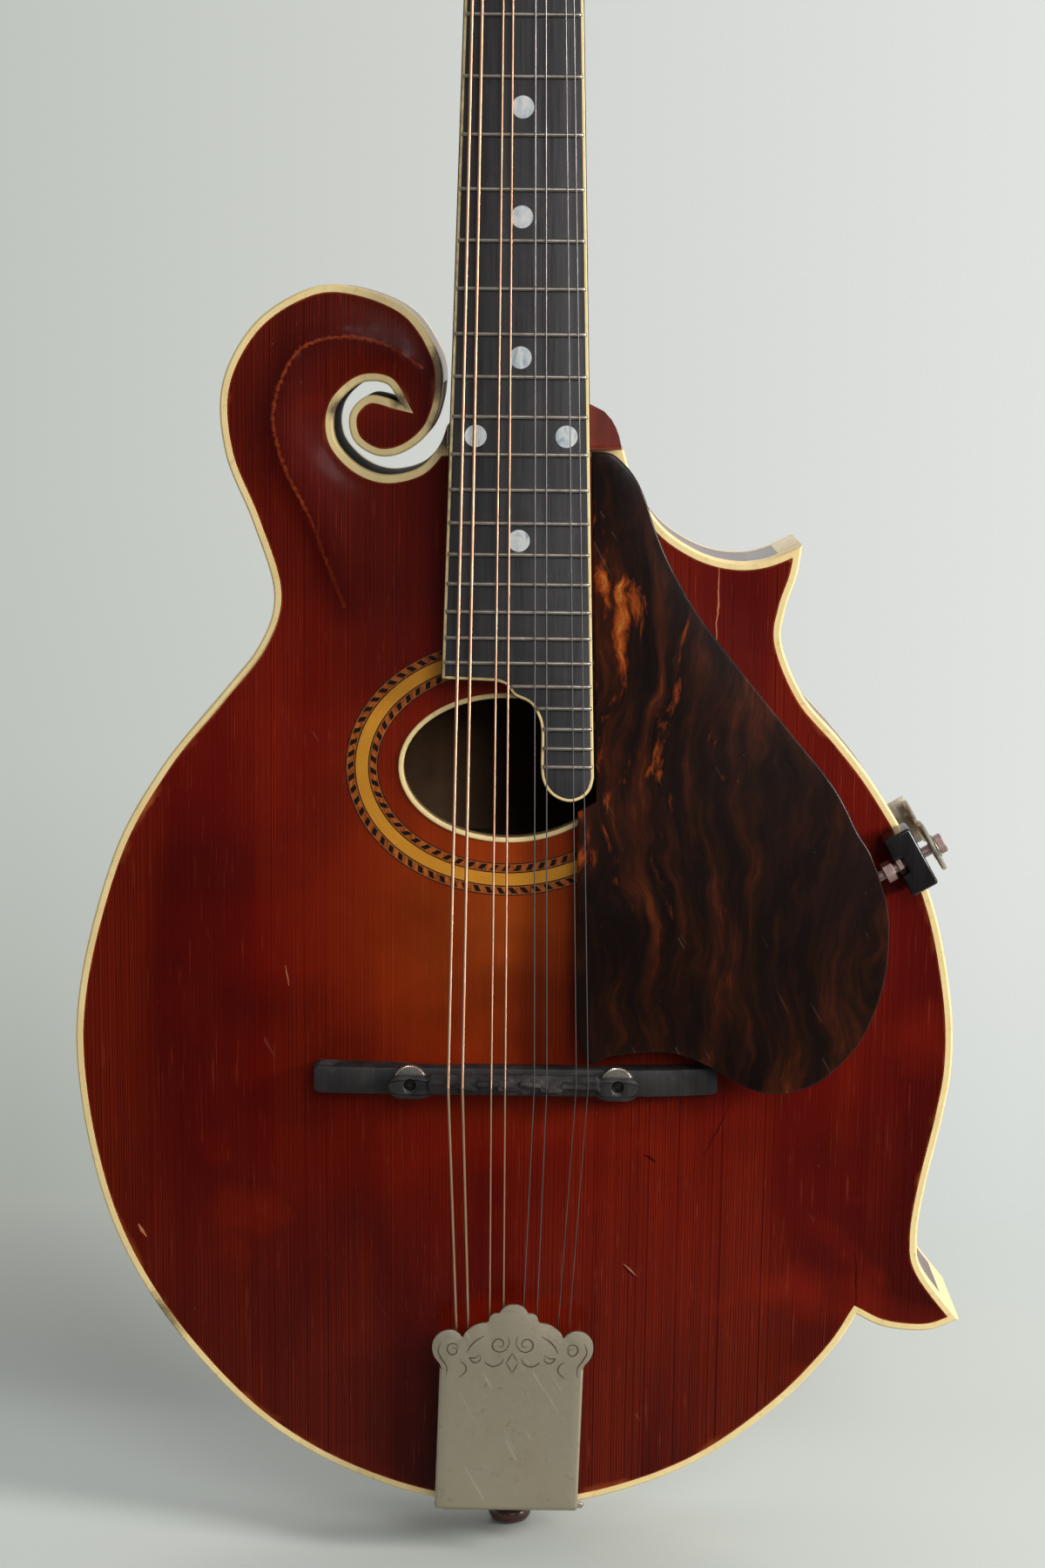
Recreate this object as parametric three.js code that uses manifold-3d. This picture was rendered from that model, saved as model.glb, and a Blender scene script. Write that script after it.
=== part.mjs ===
// An eight-string mandolin with a scroll, two points, an oval soundhole and a raised finger guard.
// Millimetres. +Z runs up the neck, the soundboard faces -Y and the treble side is +X.
// Z = 0 is the end pin's outer face and Y = 0 the middle of the ribs.

import * as THREE from "three";
import { mergeVertices } from "three/addons/utils/BufferGeometryUtils.js";
import Module from "manifold-3d";

const wasm = await Module();
wasm.setup();

// Clearances
const gap = 0.3;
const runningGap = 0.6;
const overrun = 3;

// Body
const bodyWidth = 258;
const bodyLength = 364;
const bodyBottom = 12.6;
const bodyDepth = 38;
const plateThickness = 3.6;
const ribThickness = 2.3;
const liningWidth = 5;
const liningDepth = 8;
const bindingWidth = 2.2;
const bindingDepth = 5;
const pointTrimLength = 6.5;
const neckJointShare = 0.8764;
const headBlockDepthIntoBody = 31;
const headBlockTrebleShare = 0.127;
const tailBlockWidth = 64;
const tailBlockHeight = 20;
const braceHeight = 195;
const braceWidth = 6;
const braceDepth = 9;

// Arch of the carved plates
const archPeak = 9.5;
const archCentreX = 0;
const archCentreHeight = 170;
const archHalfWidth = 120;
const archHalfLength = 150;
const archFullness = 2.5;
const archCell = 28;

// Soundhole, rosette and label
const holeCentreX = -2.7;
const holeCentreHeight = 240.4;
const holeHalfWidth = 31.5;
const holeHalfLength = 21.5;
const holeBindingWidth = 1.5;
const rosetteHalfWidth = 46.8;
const rosetteHalfLength = 37;
const rosetteWidth = 9.4;
const rosetteDepth = 1.2;
const labelWidth = 76;
const labelLength = 54;
const labelThickness = 0.4;

// Neck and fretboard
const scaleLength = 352.4;
const jointFret = 12;
const jointAboveFret = 1.3;
const boardFaceAboveRim = 6.35;
const neckTilt = 2;
const nutWidth = 30.1;
const boardEndWidth = 43;
const boardPastLastFullFret = 4.8;
const boardThickness = 5.5;
const boardBindingWidth = 1.3;
const extensionPastLastFret = 10.1;
const nutThickness = 5;
const nutStandsProud = 1.5;
const neckDepthAtNut = 13.5;
const neckDepthAtHeel = 15.5;
const neckRoundness = 0.8;
const neckSides = 9;
const heelSteps = 8;
const heelDepth = 43.5;
const heelLength = 26;
const flareLength = 14;
const flareWidth = 9.3;
const tongueWidth = 37.6;
const tongueShortOfBoard = 3.6;
const tongueDepth = 14;

// Frets
const fretsPerOctave = 12;
const fretCount = 24;
const lastFullFret = 19;
const fretWidth = 1.4;
const fretHeight = 0.9;
const fretShoulderShares = [0.667, 0.75];
const fretInset = 0.8;
const tangWidth = 0.6;
const tangDepth = 2;
const fretStripX = 12;
const fretStripWidth = 1.2;
const fretStripTop = 0.8;

// Headstock
const headRake = 14;
const headDrop = 3.5;
const headLength = 163;
const headWidth = 74;
const headThickness = 14;
const veneerThickness = 1.5;

// Tuners
const tunerRows = 4;
const tunerSpacing = 23.5;
const firstTuner = 33;
const tunerX = 18.5;
const postRadius = 3;
const postFront = 12;
const postSides = 10;
const postHoleSides = 8;
const gearTeeth = 14;
const gearRadius = 4.6;
const toothDepth = 1;
const gearThickness = 3;
const tunerPlateThickness = 1.2;
const tunerPlateInner = 9;
const tunerPlateOuter = 27.5;
const tunerPlateBelow = 9;
const tunerPlateAbove = 17;
const gearStandsOff = 2.3;
const wormSpacing = 8.1;
const wormRadius = 2.5;
const wormThread = 0.6;
const wormLength = 8;
const wormTurns = 3;
const shaftRadius = 1.4;
const lugThickness = 1.6;
const lugWidth = 6;
const buttonStart = 34;
const buttonLength = 15;
const buttonHalfWidth = 8.5;
const buttonHalfThickness = 4.5;
const buttonShares = [[0.02, 0.4], [0.25, 0.62], [0.62, 1], [1, 0.6]];
const knobSides = 8;
const threadStepsPerTurn = 3;

// Strings, from the bass side to the treble side
const thickestString = 1;
const stringGaugeShares = [1, 1, 0.66, 0.66, 0.4, 0.4, 0.3, 0.3];
const stringSpreadAtNut = 25.6;
const stringSpreadAtSaddle = 40.3;
const stringSpreadAtTail = 31.5;
const nutSlotShares = [-0.52, -0.422, -0.215, -0.121, 0.105, 0.211, 0.402, 0.48];
const saddleSlotShares = [-0.467, -0.365, -0.159, -0.06, 0.149, 0.238, 0.449, 0.533];
const tailSlotShares = [-0.486, -0.378, -0.194, -0.063, 0.095, 0.229, 0.413, 0.514];
const stringTuners = [0, 1, 2, 3, 3, 2, 1, 0];
const windingTurns = 2.5;
const windingSteps = 12;
const windingSides = 5;
const turnGap = 0.5;
const windingStart = 4;

// Bridge
const bridgeSetBack = 4.5;
const bridgeBaseLength = 117.5;
const bridgeBaseX = 0.6;
const bridgeBaseWidth = 9;
const bridgeBaseAboveRim = 14.3;
const bridgePostX = 30;
const bridgePostRadius = 1.5;
const bridgePostSides = 10;
const saddleEndSides = 16;
const wheelRadius = 4.8;
const wheelThickness = 2;
const wheelTeeth = 16;
const wheelToothDepth = 0.35;
const saddleThickness = 3.3;
const saddleRidgeHeight = 1.8;
const saddleEndRadius = 6;
const saddleEndHeight = 7;
const saddleWidth = 6;
const saddleRidgeWidth = 3.2;
const saddleRidgeOverhang = 3;

// Tailpiece and end pin
const tailCentreX = -0.4;
const tailBaseWidth = 40.2;
const tailBaseLength = 52;
const tailSheet = 1.2;
const tailBaseAboveRim = 5;
const tailEndLeafPastMiddle = 10;
const hookHeight = 38;
const hookBarHeight = 1.6;
const hookBarThickness = 1.4;
const hookRise = 1.8;
const hookWidth = 1.6;
const tailStringRise = 1;
const coverWidth = 42.6;
const coverBottom = 17;
const coverLength = 64;
const coverAboveTailBase = 9;
const coverSheet = 0.9;
const coverSideDepth = 10;
const coverRound = 4;
const pinRadius = 3.4;
const pinHeadRadius = 6.6;
const pinCollarRadius = 4.8;
const pinLength = 11;
const pinSocketDepth = 16;
const pinHeadShares = [[0, 0], [0.8, 0], [1, 0.18], [0.9, 0.42]];
const pinNeckShare = 0.6;
const pinTaperShare = 0.8;
const pinSides = 12;
const coverBendSteps = 4;

// Raised guard and its clamp
const guardLeft = 17.6;
const guardWidth = 89.8;
const guardPastBridge = 2.3;
const guardThickness = 2.2;
const guardRecess = 1;
const guardPinDepth = 1.6;
const guardPinWidth = 2;
const guardPinLength = 8;
const guardPinShares = [0.067, 0.325];
const clampAlongShare = 0.406;
const clampInFromRim = 2.2;
const clampSkew = 3.9;
const clampBlockWidth = 8.5;
const clampBlockLength = 18.5;
const clampBlockFrontAboveRim = 12;
const clampBlockBackAboveRim = 1;
const rodRadius = 1.6;
const rodLength = 26;
const rodFromRim = 17.5;
const rodAboveRim = 8.4;
const hexRadius = 3.3;
const hexLength = 3.4;
const rodSides = 10;
const hexSides = 6;
const bracketSheet = 1.2;
const bracketWidth = 15;
const bracketHook = 6.6;
const bracketFromBlock = 7.2;

// Outline of the body, as shares of its width and of its length
const trebleShoulderShares = [
  [0.114, 0.876], [0.128, 0.847], [0.158, 0.816], [0.197, 0.797],
  [0.236, 0.789], [0.274, 0.791], [0.314, 0.803],
];
const trebleSideShares = [
  [0.314, 0.803], [0.309, 0.779], [0.297, 0.752], [0.294, 0.724], [0.320, 0.682],
  [0.362, 0.648], [0.401, 0.613], [0.444, 0.563], [0.476, 0.507], [0.496, 0.438],
  [0.500, 0.385], [0.492, 0.341], [0.474, 0.279], [0.467, 0.237], [0.475, 0.208], [0.519, 0.167],
];
const hookShares = [[0.519, 0.167], [0.488, 0.158], [0.457, 0.157], [0.426, 0.161], [0.400, 0.170]];
const bassSideShares = [
  [0.400, 0.170], [0.373, 0.139], [0.315, 0.093], [0.233, 0.047], [0.147, 0.018], [0.050, 0.001],
  [-0.047, 0.001], [-0.143, 0.016], [-0.242, 0.048], [-0.326, 0.095], [-0.412, 0.170], [-0.469, 0.252],
  [-0.499, 0.353], [-0.497, 0.441], [-0.456, 0.549], [-0.400, 0.621], [-0.336, 0.677], [-0.289, 0.720],
  [-0.273, 0.761], [-0.296, 0.816], [-0.326, 0.870], [-0.329, 0.924], [-0.293, 0.971], [-0.233, 0.998],
  [-0.180, 0.999], [-0.123, 0.982], [-0.091, 0.949], [-0.086, 0.920], [-0.098, 0.891], [-0.126, 0.873],
  [-0.157, 0.869], [-0.184, 0.881], [-0.188, 0.902], [-0.167, 0.916], [-0.134, 0.911],
];
const slotWallShares = [
  [-0.134, 0.911], [-0.148, 0.925], [-0.177, 0.925], [-0.203, 0.907], [-0.204, 0.882],
  [-0.180, 0.862], [-0.148, 0.854], [-0.112, 0.860], [-0.090, 0.877], [-0.081, 0.893],
];
const outlineStepsPerSpan = 2;
const neckJointSteps = 6;
const roundSides = 12;
const ellipseSteps = 28;

// Limits for a line moved inwards: how near the outline a point or corner may come, as shares
const nearestShare = 0.99;
const cornerShares = [0.9, 1.1];
const longestCorner = 1.6;
const sharpestTurn = -0.9;

// Outline of the headstock, as shares of its width and of its length, up the treble side first
const headShares = [
  [0.205, 0], [0.21, 0.05], [0.29, 0.10], [0.37, 0.15], [0.395, 0.22], [0.405, 0.45], [0.43, 0.66],
  [0.455, 0.75], [0.50, 0.81], [0.38, 0.795], [0.27, 0.82], [0.17, 0.88], [0.08, 0.95], [-0.03, 0.99],
  [-0.16, 1], [-0.29, 0.975], [-0.37, 0.92], [-0.37, 0.86], [-0.31, 0.835], [-0.37, 0.79],
  [-0.46, 0.78], [-0.44, 0.70], [-0.415, 0.55], [-0.40, 0.38], [-0.395, 0.22], [-0.37, 0.15],
  [-0.29, 0.10], [-0.21, 0.05], [-0.205, 0],
];

// Outline of the fretboard's treble extension: shares of the end width across, of its length down
const extensionShares = [
  [-0.14, 0.015], [-0.07, 0.05], [-0.02, 0.13], [0.08, 0.19], [0.135, 0.29], [0.16, 0.42],
  [0.16, 0.72], [0.20, 0.87], [0.27, 0.97], [0.36, 1], [0.46, 0.95], [0.515, 0.80],
];

// Outline of the guard, as shares of its width and of its length, from its top corner at the board
const guardShares = [
  [0.056, 0], [0.101, 0.005], [0.157, 0.032], [0.195, 0.066], [0.236, 0.123], [0.290, 0.181],
  [0.383, 0.255], [0.512, 0.335], [0.662, 0.424], [0.812, 0.513], [0.891, 0.584], [0.937, 0.620],
  [0.988, 0.692], [1, 0.749], [0.987, 0.822], [0.934, 0.899], [0.862, 0.949], [0.766, 0.986],
  [0.660, 1], [0.561, 0.992], [0.449, 0.962], [0.346, 0.940], [0.248, 0.935], [0.111, 0.944],
  [0.048, 0.954], [0.005, 0.897], [0, 0.76],
];

const halfDepth = bodyDepth / 2;
const degree = Math.PI / 180;
const neckJointHeight = bodyBottom + bodyLength * neckJointShare;
const headBlockTreble = bodyWidth * headBlockTrebleShare;
const nutHeight = neckJointHeight - jointAboveFret + fretPlace(jointFret);
const boardFaceAtNut = -halfDepth - boardFaceAboveRim;
const boardEnd = fretPlace(lastFullFret) + boardPastLastFullFret;
const extensionLength = fretPlace(fretCount) + extensionPastLastFret - boardEnd;
const tongueEnd = boardEnd - tongueShortOfBoard;
const bridgeBaseTop = -halfDepth - bridgeBaseAboveRim;
const wheelFront = bridgeBaseTop - gap - wheelThickness;
const saddleBottom = wheelFront - gap;
const saddleShoulder = saddleBottom - saddleThickness;
const saddleTop = saddleShoulder - saddleRidgeHeight;
const tailBaseFront = -halfDepth - tailBaseAboveRim;
const tailEndLeafDepth = tailEndLeafPastMiddle - tailBaseFront;
const coverFront = tailBaseFront - coverAboveTailBase;
const clampBlockFront = -halfDepth - clampBlockFrontAboveRim;
const clampBlockBack = -halfDepth - clampBlockBackAboveRim;
const rodPlace = -halfDepth - rodAboveRim;
const bridgeHeight = nutHeight - scaleLength - bridgeSetBack;
const guardTop = nutHeight - neckJointHeight + gap;
const guardLength = nutHeight - bridgeHeight - guardTop + guardPastBridge;
const stringRadii = stringGaugeShares.map((share) => (thickestString * share) / 2);
const nutSlots = nutSlotShares.map((share) => stringSpreadAtNut * share);
const saddleSlots = saddleSlotShares.map((share) => stringSpreadAtSaddle * share);
const tailSlots = tailSlotShares.map((share) => stringSpreadAtTail * share);

// Distance of a fret from the nut, with twelve frets to the octave
function fretPlace(fret) {
  return scaleLength * (1 - 2 ** (-fret / fretsPerOctave));
}

// Solids and booleans
function toSolid(geometry) {
  const bare = geometry.clone();
  bare.deleteAttribute("normal");
  bare.deleteAttribute("uv");
  const merged = mergeVertices(bare);
  const mesh = new wasm.Mesh({
    numProp: 3,
    vertProperties: new Float32Array(merged.attributes.position.array),
    triVerts: new Uint32Array(merged.index.array),
  });
  return new wasm.Manifold(mesh);
}

function toGeometry(solid) {
  const mesh = solid.getMesh();
  const geometry = new THREE.BufferGeometry();
  geometry.setAttribute("position", new THREE.BufferAttribute(new Float32Array(mesh.vertProperties), 3));
  geometry.setIndex(new THREE.BufferAttribute(new Uint32Array(mesh.triVerts), 1));
  geometry.computeVertexNormals();
  return geometry;
}

function joined(solids) {
  return solids.reduce((whole, solid) => whole.add(solid));
}

function without(solid, cutters) {
  return cutters.reduce((rest, cutter) => rest.subtract(cutter), solid);
}

// A flat shape in X and Z, made solid between two places along Y
function slab(points, front, back, holes = []) {
  const shape = new THREE.Shape(points);
  shape.holes = holes.map((hole) => new THREE.Path(hole));
  const geometry = new THREE.ExtrudeGeometry(shape, { depth: back - front, bevelEnabled: false });
  geometry.rotateX(Math.PI / 2);
  geometry.translate(0, back, 0);
  return toSolid(geometry);
}

// A block between two corners
function block(x0, x1, y0, y1, z0, z1) {
  const geometry = new THREE.BoxGeometry(x1 - x0, y1 - y0, z1 - z0);
  geometry.translate((x0 + x1) / 2, (y0 + y1) / 2, (z0 + z1) / 2);
  return toSolid(geometry);
}

// A round bar along Y
function barAlongY(x, z, radius, front, back, sides = roundSides) {
  const geometry = new THREE.CylinderGeometry(radius, radius, back - front, sides);
  geometry.translate(x, (front + back) / 2, z);
  return toSolid(geometry);
}

// A round bar along X
function barAlongX(start, length, radius, y, z, sides = roundSides) {
  const geometry = new THREE.CylinderGeometry(radius, radius, length, sides);
  geometry.rotateZ(Math.PI / 2);
  geometry.translate(start + length / 2, y, z);
  return toSolid(geometry);
}

function ellipse(centreX, centreZ, halfWidth, halfLength) {
  const curve = new THREE.EllipseCurve(centreX, centreZ, halfWidth, halfLength);
  return curve.getPoints(ellipseSteps).slice(0, -1);
}

// A wavy or toothed disc's outline
function toothedOutline(teeth, radius, depth) {
  const points = [];
  for (let i = 0; i < teeth * 2; i += 1) {
    const reach = i % 2 === 0 ? radius : radius - depth;
    const angle = (i * Math.PI) / teeth;
    points.push(new THREE.Vector2(reach * Math.cos(angle), reach * Math.sin(angle)));
  }
  return points;
}

// Closed surface through rings of equally many points, with flat ends
function skin(rings) {
  const sides = rings[0].length;
  const positions = rings.flat().flatMap((point) => [point.x, point.y, point.z]);
  const triangles = [];
  for (let ring = 0; ring < rings.length - 1; ring += 1) {
    for (let side = 0; side < sides; side += 1) {
      const next = (side + 1) % sides;
      const a = ring * sides + side;
      const b = ring * sides + next;
      triangles.push(a, b, b + sides, a, b + sides, a + sides);
    }
  }
  const last = (rings.length - 1) * sides;
  for (let side = 1; side < sides - 1; side += 1) {
    triangles.push(0, side + 1, side, last, last + side, last + side + 1);
  }
  const geometry = new THREE.BufferGeometry();
  geometry.setAttribute("position", new THREE.Float32BufferAttribute(positions, 3));
  geometry.setIndex(triangles);
  geometry.computeVertexNormals();
  return geometry;
}

// Round tube along a route, turning its rings as little as it can
function tubeRings(route, radius, sides) {
  let across = null;
  return route.map((point, i) => {
    const before = route[Math.max(0, i - 1)];
    const after = route[Math.min(route.length - 1, i + 1)];
    const along = after.clone().sub(before).normalize();
    if (across === null) {
      const steep = Math.abs(along.x) < Math.abs(along.z);
      const lean = steep ? new THREE.Vector3(1, 0, 0) : new THREE.Vector3(0, 0, 1);
      across = lean;
    }
    across = across.clone().addScaledVector(along, -across.dot(along)).normalize();
    const up = along.clone().cross(across);
    return Array.from({ length: sides }, (_, side) => {
      const angle = (side * 2 * Math.PI) / sides;
      return point.clone()
        .addScaledVector(across, radius * Math.cos(angle))
        .addScaledVector(up, radius * Math.sin(angle));
    });
  });
}

// Outlines
function bodyPoint([across, up]) {
  return new THREE.Vector2(across * bodyWidth, bodyBottom + up * bodyLength);
}

function smooth(points, stepsPerSpan) {
  return new THREE.SplineCurve(points).getPoints((points.length - 1) * stepsPerSpan);
}

function bodyStretch(shares) {
  return smooth(shares.map(bodyPoint), outlineStepsPerSpan).slice(0, -1);
}

const jointLeft = bodyPoint(slotWallShares.at(-1));
const jointRight = bodyPoint(trebleShoulderShares[0]);
const neckJoint = new THREE.LineCurve(new THREE.Vector2(jointLeft.x, neckJointHeight), jointRight);
const bodyOutline = [
  ...bodyStretch(trebleShoulderShares),
  ...bodyStretch(trebleSideShares),
  ...bodyStretch(hookShares),
  ...bodyStretch(bassSideShares),
  ...bodyStretch(slotWallShares),
  jointLeft,
  ...neckJoint.getPoints(neckJointSteps).slice(0, -1),
];

// The hollow bowl's part of the outline, closed straight across inside the head block
const headBlockBottom = neckJointHeight - headBlockDepthIntoBody;
const bowlTop = neckJointHeight + headBlockDepthIntoBody;
const bassStretch = bodyStretch(bassSideShares);
const bassEnd = bassStretch.findIndex((point) => point.y > headBlockBottom + liningWidth);
const bowlOutline = [
  ...bodyStretch(trebleShoulderShares).filter((point) => point.x > headBlockTreble),
  ...bodyStretch(trebleSideShares),
  ...bodyStretch(hookShares),
  ...bassStretch.slice(0, bassEnd),
  new THREE.Vector2(bassStretch[bassEnd].x, bowlTop),
  new THREE.Vector2(0, bowlTop),
  new THREE.Vector2(headBlockTreble, bowlTop),
  new THREE.Vector2(headBlockTreble, neckJointHeight),
];
const bodyLowest = Math.min(...bodyOutline.map((point) => point.y));
const upperTip = bodyPoint(trebleSideShares[0]);
const lowerTip = bodyPoint(hookShares[0]);

function distanceToSegment(point, start, end) {
  const along = end.clone().sub(start);
  const reach = THREE.MathUtils.clamp(point.clone().sub(start).dot(along) / along.lengthSq(), 0, 1);
  return start.clone().addScaledVector(along, reach).distanceTo(point);
}

function distanceToOutline(point, outline) {
  return Math.min(...outline.map((start, i) => (
    distanceToSegment(point, start, outline[(i + 1) % outline.length]))));
}

// Where two lines meet, each given by two points
function meeting(a, b, c, d) {
  const first = b.clone().sub(a);
  const second = d.clone().sub(c);
  const spread = first.cross(second);
  return a.clone().addScaledVector(first, c.clone().sub(a).cross(second) / spread);
}

// The outline moved inwards: points that come too near another stretch of it are left out,
// and the stretches on each side of them are carried on to where they meet
function inset(outline, distance) {
  const side = Math.sign(THREE.ShapeUtils.area(outline));
  const count = outline.length;
  const inward = (from, to) => (
    new THREE.Vector2(from.y - to.y, to.x - from.x).multiplyScalar(side).normalize());
  const moved = outline.map((point, i) => {
    const first = inward(outline.at(i - 1), point);
    const second = inward(point, outline[(i + 1) % count]);
    const both = first.clone().add(second);
    const stretch = Math.min(2 / both.lengthSq(), longestCorner / both.length());
    return point.clone().addScaledVector(both, distance * stretch);
  });
  const kept = moved.map((point) => distanceToOutline(point, outline) > nearestShare * distance);
  const result = [];
  for (let i = 0; i < count; i += 1) {
    if (!kept[i]) continue;
    result.push(moved[i]);
    const next = (i + 1) % count;
    if (kept[next]) continue;
    let after = next;
    while (!kept[after]) after = (after + 1) % count;
    const corner = meeting(moved.at(i - 1), moved[i], moved[after], moved[(after + 1) % count]);
    const reach = distanceToOutline(corner, outline) / distance;
    if (reach > cornerShares[0] && reach < cornerShares[1]) result.push(corner);
  }
  return result.filter((point, i) => {
    const arriving = point.clone().sub(result.at(i - 1)).normalize();
    const leaving = result[(i + 1) % result.length].clone().sub(point).normalize();
    return arriving.dot(leaving) > sharpestTurn;
  });
}

// Height of the carved arch above the plate's edge
function archHeight(x, z) {
  const across = (x - archCentreX) / archHalfWidth;
  const along = (z - archCentreHeight) / archHalfLength;
  const reach = Math.min(1, Math.hypot(across, along));
  return archPeak * (1 - reach ** archFullness) ** 2;
}

// Layer of a carved plate between two depths under its outer face; face is -1 in front and 1 behind
function archLayer(face, outerDepth, innerDepth) {
  const columns = Math.ceil((bodyWidth + 2 * archCell) / archCell);
  const rows = Math.ceil((bodyLength + 2 * archCell) / archCell);
  const left = -bodyWidth / 2 - archCell;
  const bottom = bodyBottom - archCell;
  const depths = face < 0 ? [outerDepth, innerDepth] : [innerDepth, outerDepth];
  const positions = [];
  for (const depth of depths) {
    for (let row = 0; row <= rows; row += 1) {
      for (let column = 0; column <= columns; column += 1) {
        const x = left + column * archCell;
        const z = bottom + row * archCell;
        positions.push(x, face * (halfDepth + archHeight(x, z) - depth), z);
      }
    }
  }
  const width = columns + 1;
  const behind = width * (rows + 1);
  const triangles = [];
  const quad = (a, b, c, d) => triangles.push(a, b, c, a, c, d);
  for (let row = 0; row < rows; row += 1) {
    for (let column = 0; column < columns; column += 1) {
      const a = row * width + column;
      quad(a, a + 1, a + 1 + width, a + width);
      quad(a + behind, a + width + behind, a + 1 + width + behind, a + 1 + behind);
    }
  }
  for (let column = 0; column < columns; column += 1) {
    const top = rows * width + column;
    quad(column, column + behind, column + 1 + behind, column + 1);
    quad(top, top + 1, top + 1 + behind, top + behind);
  }
  for (let row = 0; row < rows; row += 1) {
    const leftEdge = row * width;
    const rightEdge = leftEdge + columns;
    quad(leftEdge, leftEdge + width, leftEdge + width + behind, leftEdge + behind);
    quad(rightEdge, rightEdge + behind, rightEdge + width + behind, rightEdge + width);
  }
  const geometry = new THREE.BufferGeometry();
  geometry.setAttribute("position", new THREE.Float32BufferAttribute(positions, 3));
  geometry.setIndex(triangles);
  return toSolid(geometry);
}

const body = new THREE.Group();
const boardGroup = new THREE.Group();
boardGroup.position.set(0, boardFaceAtNut, nutHeight);
boardGroup.rotation.x = -neckTilt * degree;
const headGroup = new THREE.Group();
headGroup.position.set(0, headDrop, nutThickness + 2 * gap);
headGroup.rotation.x = -headRake * degree;
boardGroup.add(headGroup);
body.add(boardGroup);
body.updateMatrixWorld(true);

function addPiece(name, shape, material, parent = body) {
  const geometry = shape.isBufferGeometry ? shape : toGeometry(shape);
  const mesh = new THREE.Mesh(geometry, new THREE.MeshStandardMaterial(material));
  mesh.name = name;
  parent.add(mesh);
  return mesh;
}

const spruce = { color: 0x6e1a0c, roughness: 0.32, metalness: 0 };
const maple = { color: 0x3a100b, roughness: 0.32, metalness: 0 };
const bareWood = { color: 0xb98c58, roughness: 0.75, metalness: 0 };
const ivoroid = { color: 0xe3cd98, roughness: 0.4, metalness: 0 };
const ebony = { color: 0x1b1a1b, roughness: 0.55, metalness: 0 };
const nickel = { color: 0xb4ab9c, roughness: 0.38, metalness: 1 };
const steel = { color: 0xc9c9c9, roughness: 0.3, metalness: 1 };
const bronze = { color: 0xc98a5c, roughness: 0.35, metalness: 1 };
const bone = { color: 0xe8dcc0, roughness: 0.45, metalness: 0 };
const tortoise = { color: 0x3a1608, roughness: 0.2, metalness: 0 };
const paper = { color: 0xb9a67e, roughness: 0.95, metalness: 0 };
const amber = { color: 0xb87928, roughness: 0.4, metalness: 0 };
const turnedWood = { color: 0x3a1a10, roughness: 0.35, metalness: 0 };

// Regions that divide the rim
const farLeft = -bodyWidth;
const farRight = bodyWidth;
const farUp = bodyBottom + bodyLength + bodyWidth;

function headBlockRegion(growth) {
  return block(farLeft, headBlockTreble + growth, -bodyDepth, bodyDepth, headBlockBottom - growth, farUp);
}

function pointRegion(tip, growth) {
  const reach = pointTrimLength + growth;
  return block(tip.x - reach, tip.x + overrun, -bodyDepth, bodyDepth, tip.y - reach, tip.y + reach);
}

const rimFront = -halfDepth + bindingDepth + gap;
const rimBack = halfDepth - bindingDepth - gap;
const innerFace = halfDepth - plateThickness - gap;
const bindingInside = inset(bodyOutline, bindingWidth);
const plateOutline = inset(bindingInside, gap);
const cavityOutline = inset(bowlOutline, ribThickness + gap);

// The piece of a divided rim that lies nearest to a place
function pieceNear(solid, x, z) {
  const pieces = solid.decompose();
  const reach = (piece) => {
    const box = piece.boundingBox();
    return Math.hypot((box.min[0] + box.max[0]) / 2 - x, (box.min[2] + box.max[2]) / 2 - z);
  };
  return pieces.sort((first, second) => reach(first) - reach(second))[0];
}

function buildRim() {
  const ribInside = inset(bodyOutline, ribThickness);
  const rim = without(slab(bodyOutline, rimFront, rimBack), [
    slab(ribInside, -bodyDepth, bodyDepth),
    headBlockRegion(gap),
    pointRegion(upperTip, gap),
    pointRegion(lowerTip, gap),
  ]);
  addPiece("rib_bass", pieceNear(rim, archCentreX, archCentreHeight), maple);
  addPiece("rib_upper_treble", pieceNear(rim, (headBlockTreble + upperTip.x) / 2, upperTip.y), maple);
  addPiece("rib_treble", pieceNear(rim, bodyWidth / 2, (upperTip.y + lowerTip.y) / 2), maple);

  const headBlock = joined([
    slab(plateOutline, -innerFace, innerFace),
    slab(bodyOutline, rimFront, rimBack),
  ]).intersect(headBlockRegion(0));
  const neckSide = block(jointLeft.x, farRight, -bodyDepth, bodyDepth, neckJointHeight, farUp);
  addPiece("head_block", headBlock.subtract(neckSide), bareWood);

  const tailSocket = barAlongEnd(pinRadius + gap, pinSocketDepth + bodyBottom + gap);
  const tailRegion = block(
    -tailBlockWidth / 2, tailBlockWidth / 2, -innerFace, innerFace,
    0, bodyBottom + ribThickness + tailBlockHeight,
  );
  const tailBlock = slab(cavityOutline, -innerFace, innerFace).intersect(tailRegion);
  const linings = [-1, 1].map((face) => liningRing(face, gap));
  addPiece("tail_block", without(tailBlock, [...linings, tailSocket]), bareWood);
  body.getObjectByName("rib_bass").geometry = toGeometry(
    toSolid(body.getObjectByName("rib_bass").geometry).subtract(tailSocket),
  );
}

// A round cutter or bar along the end pin's axis, from outside the body inwards
function barAlongEnd(radius, length, start = -overrun) {
  const geometry = new THREE.CylinderGeometry(radius, radius, length - start, roundSides);
  geometry.rotateX(Math.PI / 2);
  geometry.translate(tailCentreX, 0, (start + length) / 2);
  return toSolid(geometry);
}

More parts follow.
